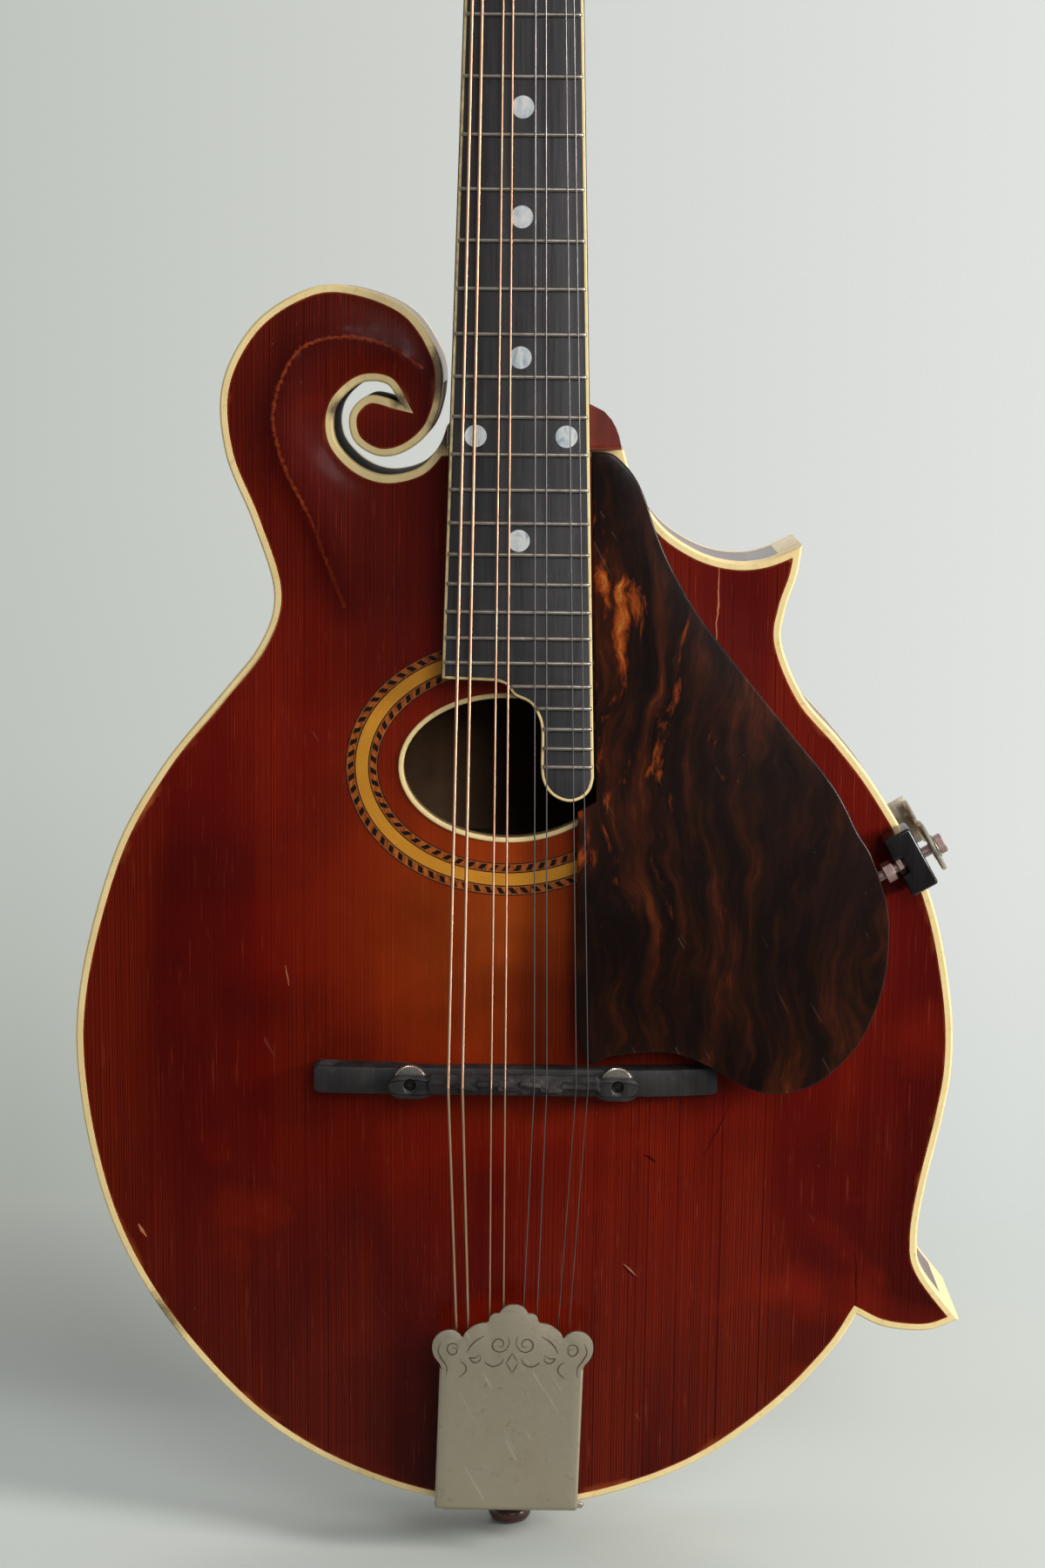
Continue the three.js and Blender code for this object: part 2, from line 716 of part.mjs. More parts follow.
function liningRing(face, growth) {
  const near = innerFace + growth;
  const far = innerFace - liningDepth - growth;
  const [front, back] = face < 0 ? [-near, -far] : [far, near];
  const outer = inset(bowlOutline, ribThickness + gap - growth);
  const inner = inset(bowlOutline, ribThickness + gap + liningWidth + growth);
  const ring = slab(outer, front, back).subtract(slab(inner, -bodyDepth, bodyDepth));
  return without(ring, [
    headBlockRegion(gap - growth),
    pointRegion(upperTip, gap - growth),
    pointRegion(lowerTip, gap - growth),
  ]);
}

function buildLinings() {
  const lining = { top_lining: -1, back_lining: 1 };
  for (const [name, face] of Object.entries(lining)) {
    const largest = liningRing(face, 0).decompose().sort((a, b) => b.volume() - a.volume())[0];
    addPiece(name, largest, bareWood);
  }
}

function buildPlates() {
  const holeOpening = slab(
    ellipse(holeCentreX, holeCentreHeight, holeHalfWidth + gap, holeHalfLength + gap),
    -bodyDepth, 0,
  );
  const topOutline = slab(plateOutline, -bodyDepth, 0);
  const backOutline = slab(plateOutline, 0, bodyDepth);
  const top = archLayer(-1, 0, plateThickness).intersect(topOutline);
  const back = archLayer(1, 0, plateThickness).intersect(backOutline);
  const rosetteGroove = rosetteRing(gap).intersect(archLayer(-1, -overrun, rosetteDepth + gap));
  addPiece("top_plate", without(top, [holeOpening, rosetteGroove]), spruce);
  addPiece("back_plate", back, maple);

  const holeRing = slab(
    ellipse(holeCentreX, holeCentreHeight, holeHalfWidth, holeHalfLength),
    -bodyDepth, 0,
    [ellipse(
      holeCentreX, holeCentreHeight,
      holeHalfWidth - holeBindingWidth, holeHalfLength - holeBindingWidth,
    )],
  );
  addPiece("soundhole_binding", archLayer(-1, 0, plateThickness).intersect(holeRing), ivoroid);
  addPiece("rosette", rosetteRing(0).intersect(archLayer(-1, 0, rosetteDepth)), amber);

  const labelRegion = block(
    holeCentreX - labelWidth / 2, holeCentreX + labelWidth / 2, 0, bodyDepth,
    holeCentreHeight - labelLength / 2, holeCentreHeight + labelLength / 2,
  );
  const labelDepth = plateThickness + gap;
  addPiece("label", archLayer(1, labelDepth, labelDepth + labelThickness).intersect(labelRegion), paper);

  const braceEnds = inset(bowlOutline, ribThickness + liningWidth + gap + gap);
  const brace = block(farLeft, farRight, -bodyDepth, -halfDepth + braceDepth, braceHeight - braceWidth / 2,
    braceHeight + braceWidth / 2);
  const underTop = archLayer(-1, plateThickness + gap, bodyDepth);
  addPiece("cross_brace", brace.intersect(underTop).intersect(slab(braceEnds, -bodyDepth, 0)), bareWood);
}

function rosetteRing(growth) {
  const outer = ellipse(holeCentreX, holeCentreHeight, rosetteHalfWidth + growth, rosetteHalfLength + growth);
  const inner = ellipse(
    holeCentreX, holeCentreHeight,
    rosetteHalfWidth - rosetteWidth - growth, rosetteHalfLength - rosetteWidth - growth,
  );
  return slab(outer, -bodyDepth, 0, [inner]);
}

function buildBindings() {
  const neckNotch = block(jointLeft.x, -jointLeft.x, -bodyDepth, bodyDepth,
    neckJointHeight - bindingWidth - overrun, farUp);
  const ring = (front, back) => slab(bodyOutline, front, back)
    .subtract(slab(bindingInside, front - overrun, back + overrun))
    .subtract(neckNotch);
  const front = ring(-halfDepth, -halfDepth + bindingDepth);
  const trims = [upperTip, lowerTip].map((tip) => slab(bodyOutline, -halfDepth + bindingDepth - gap, rimBack)
    .intersect(pointRegion(tip, 0)));
  addPiece("top_binding", joined([front, ...trims]), ivoroid);
  addPiece("back_binding", ring(halfDepth - bindingDepth, halfDepth), ivoroid);
}

// Fretboard plane: X across and -Z down the board, with Y = 0 on its face

function boardHalfWidth(down) {
  return (nutWidth + (boardEndWidth - nutWidth) * (down / boardEnd)) / 2;
}

function extensionPoint([across, down]) {
  return new THREE.Vector2(across * boardEndWidth, -boardEnd - down * extensionLength);
}

const boardOutline = [
  new THREE.Vector2(nutWidth / 2, 0),
  new THREE.Vector2(-nutWidth / 2, 0),
  new THREE.Vector2(-boardEndWidth / 2, -boardEnd),
  ...smooth(extensionShares.map(extensionPoint), 1),
];

function buildFretboard() {
  const inside = inset(boardOutline, boardBindingWidth);
  const fieldOutline = inset(boardOutline, boardBindingWidth + gap);
  const nutEnd = block(
    -nutWidth, nutWidth, -overrun, boardThickness + overrun, -boardBindingWidth - gap, overrun);
  const field = joined([
    slab(fieldOutline, 0, boardThickness),
    block(-nutWidth / 2 + boardBindingWidth + gap, nutWidth / 2 - boardBindingWidth - gap,
      0, boardThickness, -boardBindingWidth - gap - overrun, 0),
  ]);
  const slotDepth = fretStripTop + tangDepth + gap;
  const stripCut = block(
    fretStripX - fretStripWidth / 2 - gap, fretStripX + fretStripWidth / 2 + gap, -overrun, slotDepth,
    -fretPlace(fretCount) - fretWidth, -fretPlace(1) + fretWidth,
  );
  addPiece("fretboard", field.subtract(stripCut), ebony, boardGroup);
  const insideSolid = slab(inside, -overrun, boardThickness + overrun);
  const edge = slab(boardOutline, 0, boardThickness).subtract(insideSolid);
  addPiece("fretboard_binding", edge.subtract(nutEnd), ivoroid, boardGroup);
}

// Left end of a fret: at the board's edge, or on the extension at its curved side
function fretLeft(fret) {
  const down = fretPlace(fret);
  if (fret <= lastFullFret) return -boardHalfWidth(down) + fretInset;
  const side = extensionShares.map(extensionPoint);
  for (let i = 0; i < side.length - 1; i += 1) {
    if (-side[i].y <= down && -side[i + 1].y >= down) {
      const reach = (down + side[i].y) / (side[i].y - side[i + 1].y);
      return side[i].x + (side[i + 1].x - side[i].x) * reach + fretInset;
    }
  }
  return side.at(-1).x;
}

function buildFrets() {
  const half = fretWidth / 2;
  const [shoulderOut, shoulderUp] = fretShoulderShares;
  const profile = [
    [-half, 0], [-half * shoulderOut, fretHeight * shoulderUp], [0, fretHeight],
    [half * shoulderOut, fretHeight * shoulderUp], [half, 0],
  ];
  const solids = [];
  for (let fret = 1; fret <= fretCount; fret += 1) {
    const down = fretPlace(fret);
    const left = fretLeft(fret);
    const right = boardHalfWidth(down) - fretInset;
    const rings = [right, left].map((x) => profile.map(([along, rise]) => (
      new THREE.Vector3(x, -gap - rise, -down + along))));
    solids.push(toSolid(skin(rings)));
    solids.push(block(
      fretStripX - fretStripWidth / 2, fretStripX + fretStripWidth / 2,
      -gap - fretHeight / 2, fretStripTop + tangDepth,
      -down - tangWidth / 2, -down + tangWidth / 2,
    ));
  }
  solids.push(block(
    fretStripX - fretStripWidth / 2, fretStripX + fretStripWidth / 2, fretStripTop, fretStripTop + tangDepth,
    -fretPlace(fretCount) - tangWidth, -fretPlace(1) + tangWidth,
  ));
  addPiece("frets", joined(solids), nickel, boardGroup);
}

function headPoint([across, up]) {
  return new THREE.Vector2(across * headWidth, up * headLength);
}

function tunerPlaces() {
  const places = [];
  for (const side of [-1, 1]) {
    for (let row = 0; row < tunerRows; row += 1) {
      places.push({ side, row, x: side * tunerX, z: firstTuner + row * tunerSpacing });
    }
  }
  return places;
}

const headBackFace = veneerThickness + gap + headThickness;
const gearMiddle = headBackFace + gap + tunerPlateThickness + gearStandsOff + gearThickness / 2;

// One cross-section of the neck: flat under the board, rounded behind
function neckSection(down) {
  const toJoint = fretPlace(jointFret) - down;
  const nearHeel = Math.max(0, 1 - toJoint / heelLength);
  const slimDepth = neckDepthAtHeel - (neckDepthAtHeel - neckDepthAtNut) * (toJoint / fretPlace(jointFret));
  const depth = slimDepth + (heelDepth - neckDepthAtHeel) * (1 - Math.sqrt(Math.max(0, 1 - nearHeel ** 2)));
  const nearFlare = THREE.MathUtils.clamp(1 - toJoint / flareLength, 0, 1);
  const flare = flareWidth * Math.sqrt(1 - (1 - nearFlare) ** 2);
  const half = boardHalfWidth(Math.max(0, down)) - gap;
  return Array.from({ length: neckSides + 1 }, (_, i) => {
    const angle = (i * Math.PI) / neckSides;
    const across = Math.cos(angle);
    const reach = Math.sign(across) * Math.abs(across) ** neckRoundness;
    const widen = across > 0 ? half + flare : half;
    return new THREE.Vector3(reach * widen, boardThickness + gap + depth * Math.sin(angle), -down);
  });
}

function buildNeck() {
  const stations = [-2 * nutThickness, 0, scaleLength / 4];
  for (let i = 0; i <= heelSteps; i += 1) {
    stations.push(fretPlace(jointFret) - heelLength * (1 - i / heelSteps) + gap);
  }
  const shaft = toSolid(skin(stations.map(neckSection).reverse()));
  const tongue = block(-tongueWidth / 2, tongueWidth / 2, boardThickness + gap, boardThickness + tongueDepth,
    -tongueEnd, -fretPlace(jointFret) + heelLength / 2);
  const boardMatrix = boardGroup.matrixWorld.clone();
  const toBody = (solid) => toSolid(toGeometry(solid).applyMatrix4(boardMatrix));
  const soundingTop = archLayer(-1, -gap, bodyDepth).intersect(
    block(farLeft, farRight, -bodyDepth, bodyDepth, 0, neckJointHeight + gap));
  const behindBody = block(farLeft, farRight, -halfDepth, bodyDepth, 0, neckJointHeight + gap);
  const veneerRoom = block(-headWidth, headWidth, -boardThickness, veneerThickness + gap, 0, headLength);
  const shaftCut = without(toBody(shaft), [
    block(farLeft, farRight, -bodyDepth, bodyDepth, 0, neckJointHeight + gap),
    toSolid(toGeometry(veneerRoom).applyMatrix4(headGroup.matrixWorld)),
  ]);
  const tongueCut = without(toBody(tongue), [soundingTop, behindBody]);
  const headMatrix = headGroup.matrixWorld.clone();
  const head = slab(headOutline(), veneerThickness + gap, headBackFace);
  const holes = tunerPlaces().map(({ x, z }) => (
    barAlongY(x, z, postRadius + runningGap, -overrun, headBackFace + overrun, postHoleSides)));
  const headSolid = toSolid(toGeometry(without(head, holes)).applyMatrix4(headMatrix));
  addPiece("neck", joined([shaftCut, tongueCut, headSolid]), maple);

  const nutBlock = block(
    -nutWidth / 2, nutWidth / 2, -nutStandsProud, boardThickness, gap, nutThickness - gap);
  addPiece("nut", nutBlock, bone, boardGroup);
  const veneerHoles = tunerPlaces().map(({ x, z }) => (
    barAlongY(x, z, postRadius + runningGap, -overrun, veneerThickness + overrun, postHoleSides)));
  const veneer = slab(headOutline(), 0, veneerThickness);
  const belowNut = block(-headWidth, headWidth, -overrun, veneerThickness + overrun, -overrun, gap + gap);
  addPiece("headstock_veneer", without(veneer, [belowNut, ...veneerHoles]), ebony, headGroup);
}

function headOutline() {
  return smooth(headShares.map(headPoint), 1);
}

// Tuners: posts with gears, worm shafts with buttons, and the plates that carry them
function buildTuners() {
  let number = 1;
  for (const { side, x, z } of tunerPlaces()) {
    const gear = slab(toothedOutline(gearTeeth, gearRadius, toothDepth),
      gearMiddle - gearThickness / 2, gearMiddle + gearThickness / 2);
    const post = barAlongY(0, 0, postRadius, -postFront, gearMiddle, postSides);
    const postMesh = addPiece(`tuner_post_${number}`, joined([gear, post]), nickel, headGroup);
    postMesh.position.set(x, 0, z);
    const knob = addPiece(`tuner_knob_${number}`, knobSkin(side), ivoroid, headGroup);
    knob.position.set(0, gearMiddle, z + wormSpacing);
    number += 1;
  }
  for (const side of [-1, 1]) {
    addPiece(side < 0 ? "tuner_plate_bass" : "tuner_plate_treble", tunerPlate(side), nickel, headGroup);
  }
}

// Worm shaft and button, turned about X: the worm lies beside the gear
function knobSkin(side) {
  const wormStart = tunerX - wormLength / 2;
  const wormSteps = wormTurns * threadStepsPerTurn;
  const round = (x, width, thickness = width) => ({ x, width, thickness, phase: null });
  const stations = [round(wormStart - lugThickness, shaftRadius), round(wormStart, shaftRadius)];
  for (let i = 0; i <= wormSteps; i += 1) {
    const phase = (i * 2 * Math.PI * wormTurns) / wormSteps;
    const x = wormStart + (wormLength * (i + 1)) / (wormSteps + 2);
    stations.push({ x, width: wormRadius, thickness: wormRadius, phase });
  }
  stations.push(round(wormStart + wormLength, shaftRadius), round(buttonStart, shaftRadius));
  for (const [along, swell] of buttonShares) {
    const x = buttonStart + along * buttonLength;
    stations.push(round(x, swell * buttonHalfWidth, swell * buttonHalfThickness));
  }
  const rings = stations.map(({ x, width, thickness, phase }) => (
    Array.from({ length: knobSides }, (_, i) => {
      const angle = (i * 2 * Math.PI) / knobSides;
      const thread = phase === null ? 0 : wormThread * Math.cos(angle - phase);
      const depth = (thickness + thread) * Math.cos(angle);
      const height = (width + thread) * Math.sin(angle);
      return new THREE.Vector3(side * x, depth, height);
    })));
  return skin(side > 0 ? rings : rings.reverse());
}

function tunerPlate(side) {
  const [inner, outer] = side < 0 ? [-tunerPlateOuter, -tunerPlateInner] : [tunerPlateInner, tunerPlateOuter];
  const front = headBackFace + gap;
  const back = front + tunerPlateThickness;
  const last = firstTuner + (tunerRows - 1) * tunerSpacing;
  let plate = block(inner, outer, front, back, firstTuner - tunerPlateBelow, last + tunerPlateAbove);
  for (const { x, z } of tunerPlaces().filter((tuner) => tuner.side === side)) {
    const shaftHeight = z + wormSpacing;
    const lugX = side * (tunerPlateOuter - lugThickness / 2);
    const lug = block(
      lugX - lugThickness / 2, lugX + lugThickness / 2, back - gap, gearMiddle + lugWidth / 2,
      shaftHeight - lugWidth / 2, shaftHeight + lugWidth / 2,
    );
    const boreLength = lugThickness + 2 * overrun;
    const bore = barAlongX(
      lugX - boreLength / 2, boreLength, shaftRadius + gap, gearMiddle, shaftHeight, knobSides);
    const postEnd = back + gearStandsOff / 2;
    const postHole = barAlongY(x, z, postRadius + runningGap, front - overrun, postEnd, postHoleSides);
    plate = plate.add(lug).subtract(bore).subtract(postHole);
  }
  return plate;
}

// Strings: tail hook, saddle, nut and the turns round the post
function stringLine(index) {
  const radius = stringRadii[index];
  const side = index < stringRadii.length / 2 ? -1 : 1;
  const row = stringTuners[index];
  const tail = new THREE.Vector3(
    tailCentreX + tailSlots[index],
    tailBaseFront - hookBarHeight - tailStringRise,
    bodyBottom + hookHeight + hookBarThickness + gap,
  );
  const saddle = new THREE.Vector3(saddleSlots[index], saddleTop - gap - radius, bridgeHeight);
  const nut = new THREE.Vector3(nutSlots[index], -nutStandsProud - gap - radius, nutThickness)
    .applyMatrix4(boardGroup.matrixWorld);
  const reach = postRadius + gap + radius;
  const pitch = 2 * radius + turnGap;
  const winding = [];
  for (let i = 0; i <= windingTurns * windingSteps; i += 1) {
    const turn = i / windingSteps;
    const angle = turn * 2 * Math.PI;
    const point = new THREE.Vector3(
      side * (tunerX - reach * Math.cos(angle)),
      -windingStart - radius - turn * pitch,
      firstTuner + row * tunerSpacing + reach * Math.sin(angle),
    );
    winding.push(point.applyMatrix4(headGroup.matrixWorld));
  }
  return { route: [tail, saddle, nut, ...winding], winding, radius };
}

// Least distance between the skins of one turn and the next, on points of the winding
function leastTurnGap(winding, radius) {
  let least = Infinity;
  for (let i = 0; i < winding.length; i += 1) {
    for (let j = i + Math.floor(windingSteps / 2); j < winding.length; j += 1) {
      least = Math.min(least, winding[i].distanceTo(winding[j]) - 2 * radius);
    }
  }
  return least;
}

function buildStrings() {
  stringRadii.forEach((_, index) => {
    const { route, winding, radius } = stringLine(index);
    const wound = index < stringRadii.length / 2;
    addPiece(`string_${index + 1}`, skin(tubeRings(route, radius, windingSides)), wound ? bronze : steel);
    const turnGap = leastTurnGap(winding, radius).toFixed(2);
    console.log(`string_${index + 1}: least gap between turns ${turnGap} mm`);
  });
}

// Bridge: base on the arch, threaded posts, thumbwheels and saddle
function buildBridge() {
  const baseOutline = block(
    bridgeBaseX - bridgeBaseLength / 2, bridgeBaseX + bridgeBaseLength / 2,
    bridgeBaseTop, -halfDepth, bridgeHeight - bridgeBaseWidth / 2, bridgeHeight + bridgeBaseWidth / 2,
  );
  const sockets = [-1, 1].map((side) => (
    barAlongY(
      side * bridgePostX, bridgeHeight, bridgePostRadius + gap,
      bridgeBaseTop - overrun, -halfDepth, bridgePostSides,
    )));
  const topFace = archLayer(-1, -gap, bodyDepth);
  addPiece("bridge_base", without(baseOutline, [topFace, ...sockets]), ebony);

  for (const side of [-1, 1]) {
    const name = side < 0 ? "bass" : "treble";
    const wheelBack = wheelFront + wheelThickness;
    const disc = slab(toothedOutline(wheelTeeth, wheelRadius, wheelToothDepth), wheelFront, wheelBack);
    const bore = barAlongY(
      0, 0, bridgePostRadius + gap, wheelFront - overrun, wheelBack + overrun, bridgePostSides);
    const wheel = addPiece(`bridge_wheel_${name}`, disc.subtract(bore), nickel);
    wheel.position.set(side * bridgePostX, 0, bridgeHeight);
    const seat = -halfDepth - archHeight(bridgePostX, bridgeHeight) - gap - gap;
    addPiece(`bridge_post_${name}`,
      barAlongY(
        side * bridgePostX, bridgeHeight, bridgePostRadius,
        saddleShoulder + gap, seat, bridgePostSides,
      ),
      ebony);
  }
  const endReach = bridgePostX + saddleEndRadius;
  const endBand = block(-endReach, endReach, saddleShoulder, saddleBottom,
    bridgeHeight - saddleEndHeight / 2, bridgeHeight + saddleEndHeight / 2);
  const ends = [-1, 1].map((side) => (
    barAlongY(side * bridgePostX, bridgeHeight, saddleEndRadius, saddleShoulder, saddleBottom, saddleEndSides)
      .intersect(endBand)));
  const bar = block(-bridgePostX, bridgePostX, saddleShoulder, saddleBottom,
    bridgeHeight - saddleWidth / 2, bridgeHeight + saddleWidth / 2);
  const ridge = block(
    saddleSlots[0] - saddleRidgeOverhang, saddleSlots.at(-1) + saddleRidgeOverhang, saddleTop, saddleBottom,
    bridgeHeight - saddleRidgeWidth / 2, bridgeHeight + saddleRidgeWidth / 2,
  );
  const bores = [-1, 1].map((side) => barAlongY(
    side * bridgePostX, bridgeHeight, bridgePostRadius + gap,
    saddleTop - overrun, bridgeBaseTop + overrun, bridgePostSides,
  ));
  addPiece("saddle", without(joined([...ends, bar, ridge]), bores), ebony);
}

// Tailpiece: bent base with string hooks, sliding cover and the end pin
function buildTailpiece() {
  const left = tailCentreX - tailBaseWidth / 2;
  const right = tailCentreX + tailBaseWidth / 2;
  const leafBack = bodyLowest - gap;
  const leafFront = leafBack - tailSheet;
  const baseTop = bodyBottom + tailBaseLength;
  const frontLeaf = block(left, right, tailBaseFront, tailBaseFront + tailSheet, leafFront, baseTop);
  const endLeaf = block(left, right, tailBaseFront, tailBaseFront + tailEndLeafDepth, leafFront, leafBack);
  const seat = -halfDepth - archHeight(tailCentreX, baseTop) - gap;
  const foot = block(left, right, tailBaseFront, seat, baseTop - tailSheet, baseTop);
  const hookBottom = bodyBottom + hookHeight;
  const hookTop = hookBottom + hookBarThickness;
  const barFront = tailBaseFront - hookBarHeight;
  const hooks = tailSlots.map((x) => block(
    tailCentreX + x - hookWidth / 2, tailCentreX + x + hookWidth / 2,
    barFront - hookRise, tailBaseFront, hookBottom, hookTop,
  ));
  const bar = block(left + gap, right - gap, barFront, tailBaseFront, hookBottom, hookTop);
  const pinHole = barAlongEnd(pinRadius + gap, bodyBottom + overrun);
  const base = joined([frontLeaf, endLeaf, foot, bar, ...hooks]);
  addPiece("tailpiece_base", without(base, [pinHole, archLayer(-1, -gap, bodyDepth)
    .intersect(block(left - overrun, right + overrun, -bodyDepth, bodyDepth, leafBack, farUp))]), nickel);

  const baseRoom = block(left - gap, right + gap, tailBaseFront - gap, -halfDepth, 0, baseTop + gap);
  addPiece("tailpiece_cover", coverSolid().subtract(baseRoom), nickel);

  const collarTop = leafFront - gap;
  const pinTop = bodyBottom + pinSocketDepth;
  const profile = [
    ...pinHeadShares.map(([out, up]) => [pinHeadRadius * out, pinLength * up]),
    [pinCollarRadius, pinLength * pinNeckShare], [pinCollarRadius, collarTop],
    [pinRadius, collarTop], [pinRadius * pinTaperShare, pinTop], [0, pinTop],
  ];
  const pin = new THREE.LatheGeometry(profile.map(([x, y]) => new THREE.Vector2(x, y)), pinSides);
  pin.rotateX(Math.PI / 2);
  pin.translate(tailCentreX, 0, 0);
  addPiece("end_pin", toSolid(pin), turnedWood);
}

// Scalloped top edge of the cover, as shares of its half width and of its length, from the middle out
const coverLobeShares = [
  [0, 1], [0.07, 0.985], [0.13, 0.955], [0.27, 0.945], [0.31, 0.915], [0.36, 0.885], [0.52, 0.862],
  [0.69, 0.845], [0.76, 0.862], [0.87, 0.872], [0.96, 0.845], [0.97, 0.79], [0.90, 0.745],
];
const coverSideShare = 0.7;

function coverSolid() {
  const half = coverWidth / 2;
  const sideTop = coverBottom + coverLength * coverSideShare;
  const lobes = coverLobeShares.map(([across, up]) => (
    new THREE.Vector2(tailCentreX + across * half, coverBottom + up * coverLength)));
  const mirrored = lobes.slice(1).map((point) => new THREE.Vector2(2 * tailCentreX - point.x, point.y));
  const left = tailCentreX - half;
  const right = tailCentreX + half;
  const outline = [
    new THREE.Vector2(right, coverBottom + coverRound), new THREE.Vector2(right, sideTop),
    ...lobes.reverse(), ...mirrored,
    new THREE.Vector2(left, sideTop), new THREE.Vector2(left, coverBottom + coverRound),
  ];
  const face = slab(outline, coverFront, coverFront + coverSheet);
  const back = coverFront + coverSideDepth;
  const outer = bentProfile(coverFront, back, coverBottom, sideTop, coverRound);
  const inner = bentProfile(coverFront + coverSheet, back + overrun, coverBottom + coverSheet,
    sideTop + overrun, coverRound - coverSheet);
  const hollow = prismAlongX(inner, left + coverSheet, right - coverSheet);
  return joined([face, prismAlongX(outer, left, right)]).subtract(hollow);
}

// Section of the cover in Y and Z, with its lower front corner rounded
function bentProfile(front, back, bottom, top, radius) {
  const quarter = Math.PI / 2;
  const bend = new THREE.EllipseCurve(
    front + radius, bottom + radius, radius, radius, 2 * quarter, 3 * quarter);
  return [
    new THREE.Vector2(front, top), ...bend.getPoints(coverBendSteps),
    new THREE.Vector2(back, bottom), new THREE.Vector2(back, top),
  ];
}

function prismAlongX(points, left, right) {
  const rings = [left, right].map((x) => points.map((point) => new THREE.Vector3(x, point.x, point.y)));
  return toSolid(skin(rings));
}

// Raised guard, in the fretboard's plane, with its pins, rod, clamp block and rim bracket
function buildGuard() {
  const corner = ([across, down]) => new THREE.Vector2(
    guardLeft + across * guardWidth, -guardTop - down * guardLength);
  const besideBoard = (down) => new THREE.Vector2(boardHalfWidth(down) + gap, -down);
  const curved = smooth(guardShares.map(corner), 1);
  const extensionEnd = boardEnd + extensionLength;
  const outline = [
    besideBoard(guardTop), ...curved.slice(1),
    new THREE.Vector2(guardLeft, -extensionEnd - overrun),
    besideBoard(extensionEnd),
  ];
  const front = guardRecess;
  const plate = slab(outline, front, front + guardThickness);
  const pins = guardPinShares.map((share) => {
    const down = guardTop + guardLength * share;
    const start = besideBoard(down).x + gap;
    return block(
      start, start + guardPinLength,
      front + guardThickness - gap, front + guardThickness + guardPinDepth,
      -down - guardPinWidth / 2, -down + guardPinWidth / 2,
    );
  });
  addPiece("pickguard", joined([plate, ...pins]), tortoise, boardGroup);
}

function buildClamp() {
  const trebleSide = new THREE.SplineCurve(trebleSideShares.map(bodyPoint));
  const rim = trebleSide.getPointAt(clampAlongShare);
  const along = trebleSide.getTangentAt(clampAlongShare);
  const outward = new THREE.Vector2(-along.y, along.x);
  const clampGroup = new THREE.Group();
  clampGroup.position.set(rim.x - outward.x * clampInFromRim, 0, rim.y - outward.y * clampInFromRim);
  clampGroup.rotation.y = -outward.angle() - clampSkew * degree;
  body.add(clampGroup);
  const rod = (growth) => (
    barAlongX(-rodFromRim - growth, rodLength + 2 * growth, rodRadius + growth, rodPlace, 0, rodSides));
  const halfBlock = clampBlockWidth / 2;
  const blockSolid = block(
    -halfBlock, halfBlock, clampBlockFront, clampBlockBack, -clampBlockLength / 2, clampBlockLength / 2);
  addPiece("guard_clamp_block", blockSolid.subtract(rod(gap)), tortoise, clampGroup);
  const nut = barAlongX(-halfBlock - gap - hexLength, hexLength, hexRadius, rodPlace, 0, hexSides);
  addPiece("guard_clamp_rod", joined([rod(0), nut]), nickel, clampGroup);

  const wall = bracketFromBlock;
  const outside = wall + bracketSheet;
  const hookFront = halfDepth + gap;
  const hookBack = hookFront + bracketSheet;
  const halfWidth = bracketWidth / 2;
  const strip = block(wall, outside, clampBlockFront, hookBack, -halfWidth, halfWidth);
  const hook = block(wall - bracketHook, outside, hookFront, hookBack, -halfWidth, halfWidth);
  addPiece("guard_clamp_bracket", joined([strip, hook]).subtract(rod(gap)), nickel, clampGroup);
}

buildRim();
buildLinings();
buildPlates();
buildBindings();
buildFretboard();
buildFrets();
buildNeck();
buildTuners();
buildStrings();
buildBridge();
buildTailpiece();
buildGuard();
buildClamp();

export default body;
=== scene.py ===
"""An eight-string mandolin with a scroll, two points, an oval soundhole and a raised finger guard.

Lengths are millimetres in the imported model's frame: +Z runs up the neck, the soundboard faces -Y and
the treble side is +X. Z = 0 is the end pin's outer face and Y = 0 the middle of the ribs.
"""

import math

import bmesh
import bpy
import numpy as np
from mathutils import Matrix, Vector
from mathutils.geometry import delaunay_2d_cdt


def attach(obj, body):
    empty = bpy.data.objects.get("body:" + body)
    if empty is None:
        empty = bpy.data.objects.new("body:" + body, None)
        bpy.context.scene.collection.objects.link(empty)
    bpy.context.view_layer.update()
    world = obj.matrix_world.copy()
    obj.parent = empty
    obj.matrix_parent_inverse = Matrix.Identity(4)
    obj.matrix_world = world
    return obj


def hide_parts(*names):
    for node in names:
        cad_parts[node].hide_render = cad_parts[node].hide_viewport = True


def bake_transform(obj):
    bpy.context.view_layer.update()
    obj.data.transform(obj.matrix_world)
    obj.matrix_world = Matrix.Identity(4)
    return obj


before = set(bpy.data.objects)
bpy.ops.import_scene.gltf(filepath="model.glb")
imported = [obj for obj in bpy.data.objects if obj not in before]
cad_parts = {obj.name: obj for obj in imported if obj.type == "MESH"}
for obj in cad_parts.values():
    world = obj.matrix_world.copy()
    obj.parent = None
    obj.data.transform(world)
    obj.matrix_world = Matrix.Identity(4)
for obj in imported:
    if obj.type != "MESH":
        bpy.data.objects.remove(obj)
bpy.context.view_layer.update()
MM = 0.001

# Body
BODY_WIDTH = 258
BODY_LENGTH = 364
BODY_BOTTOM = 12.6
HALF_DEPTH = 19
PLATE_THICKNESS = 3.6
RIB_THICKNESS = 2.3
BINDING_WIDTH = 2.2
BINDING_DEPTH = 5
POINT_TRIM = 6.5
HEAD_BLOCK_RIGHT = 32.8
HEAD_BLOCK_BOTTOM = 300.6
OUTLINE_STEPS = 9

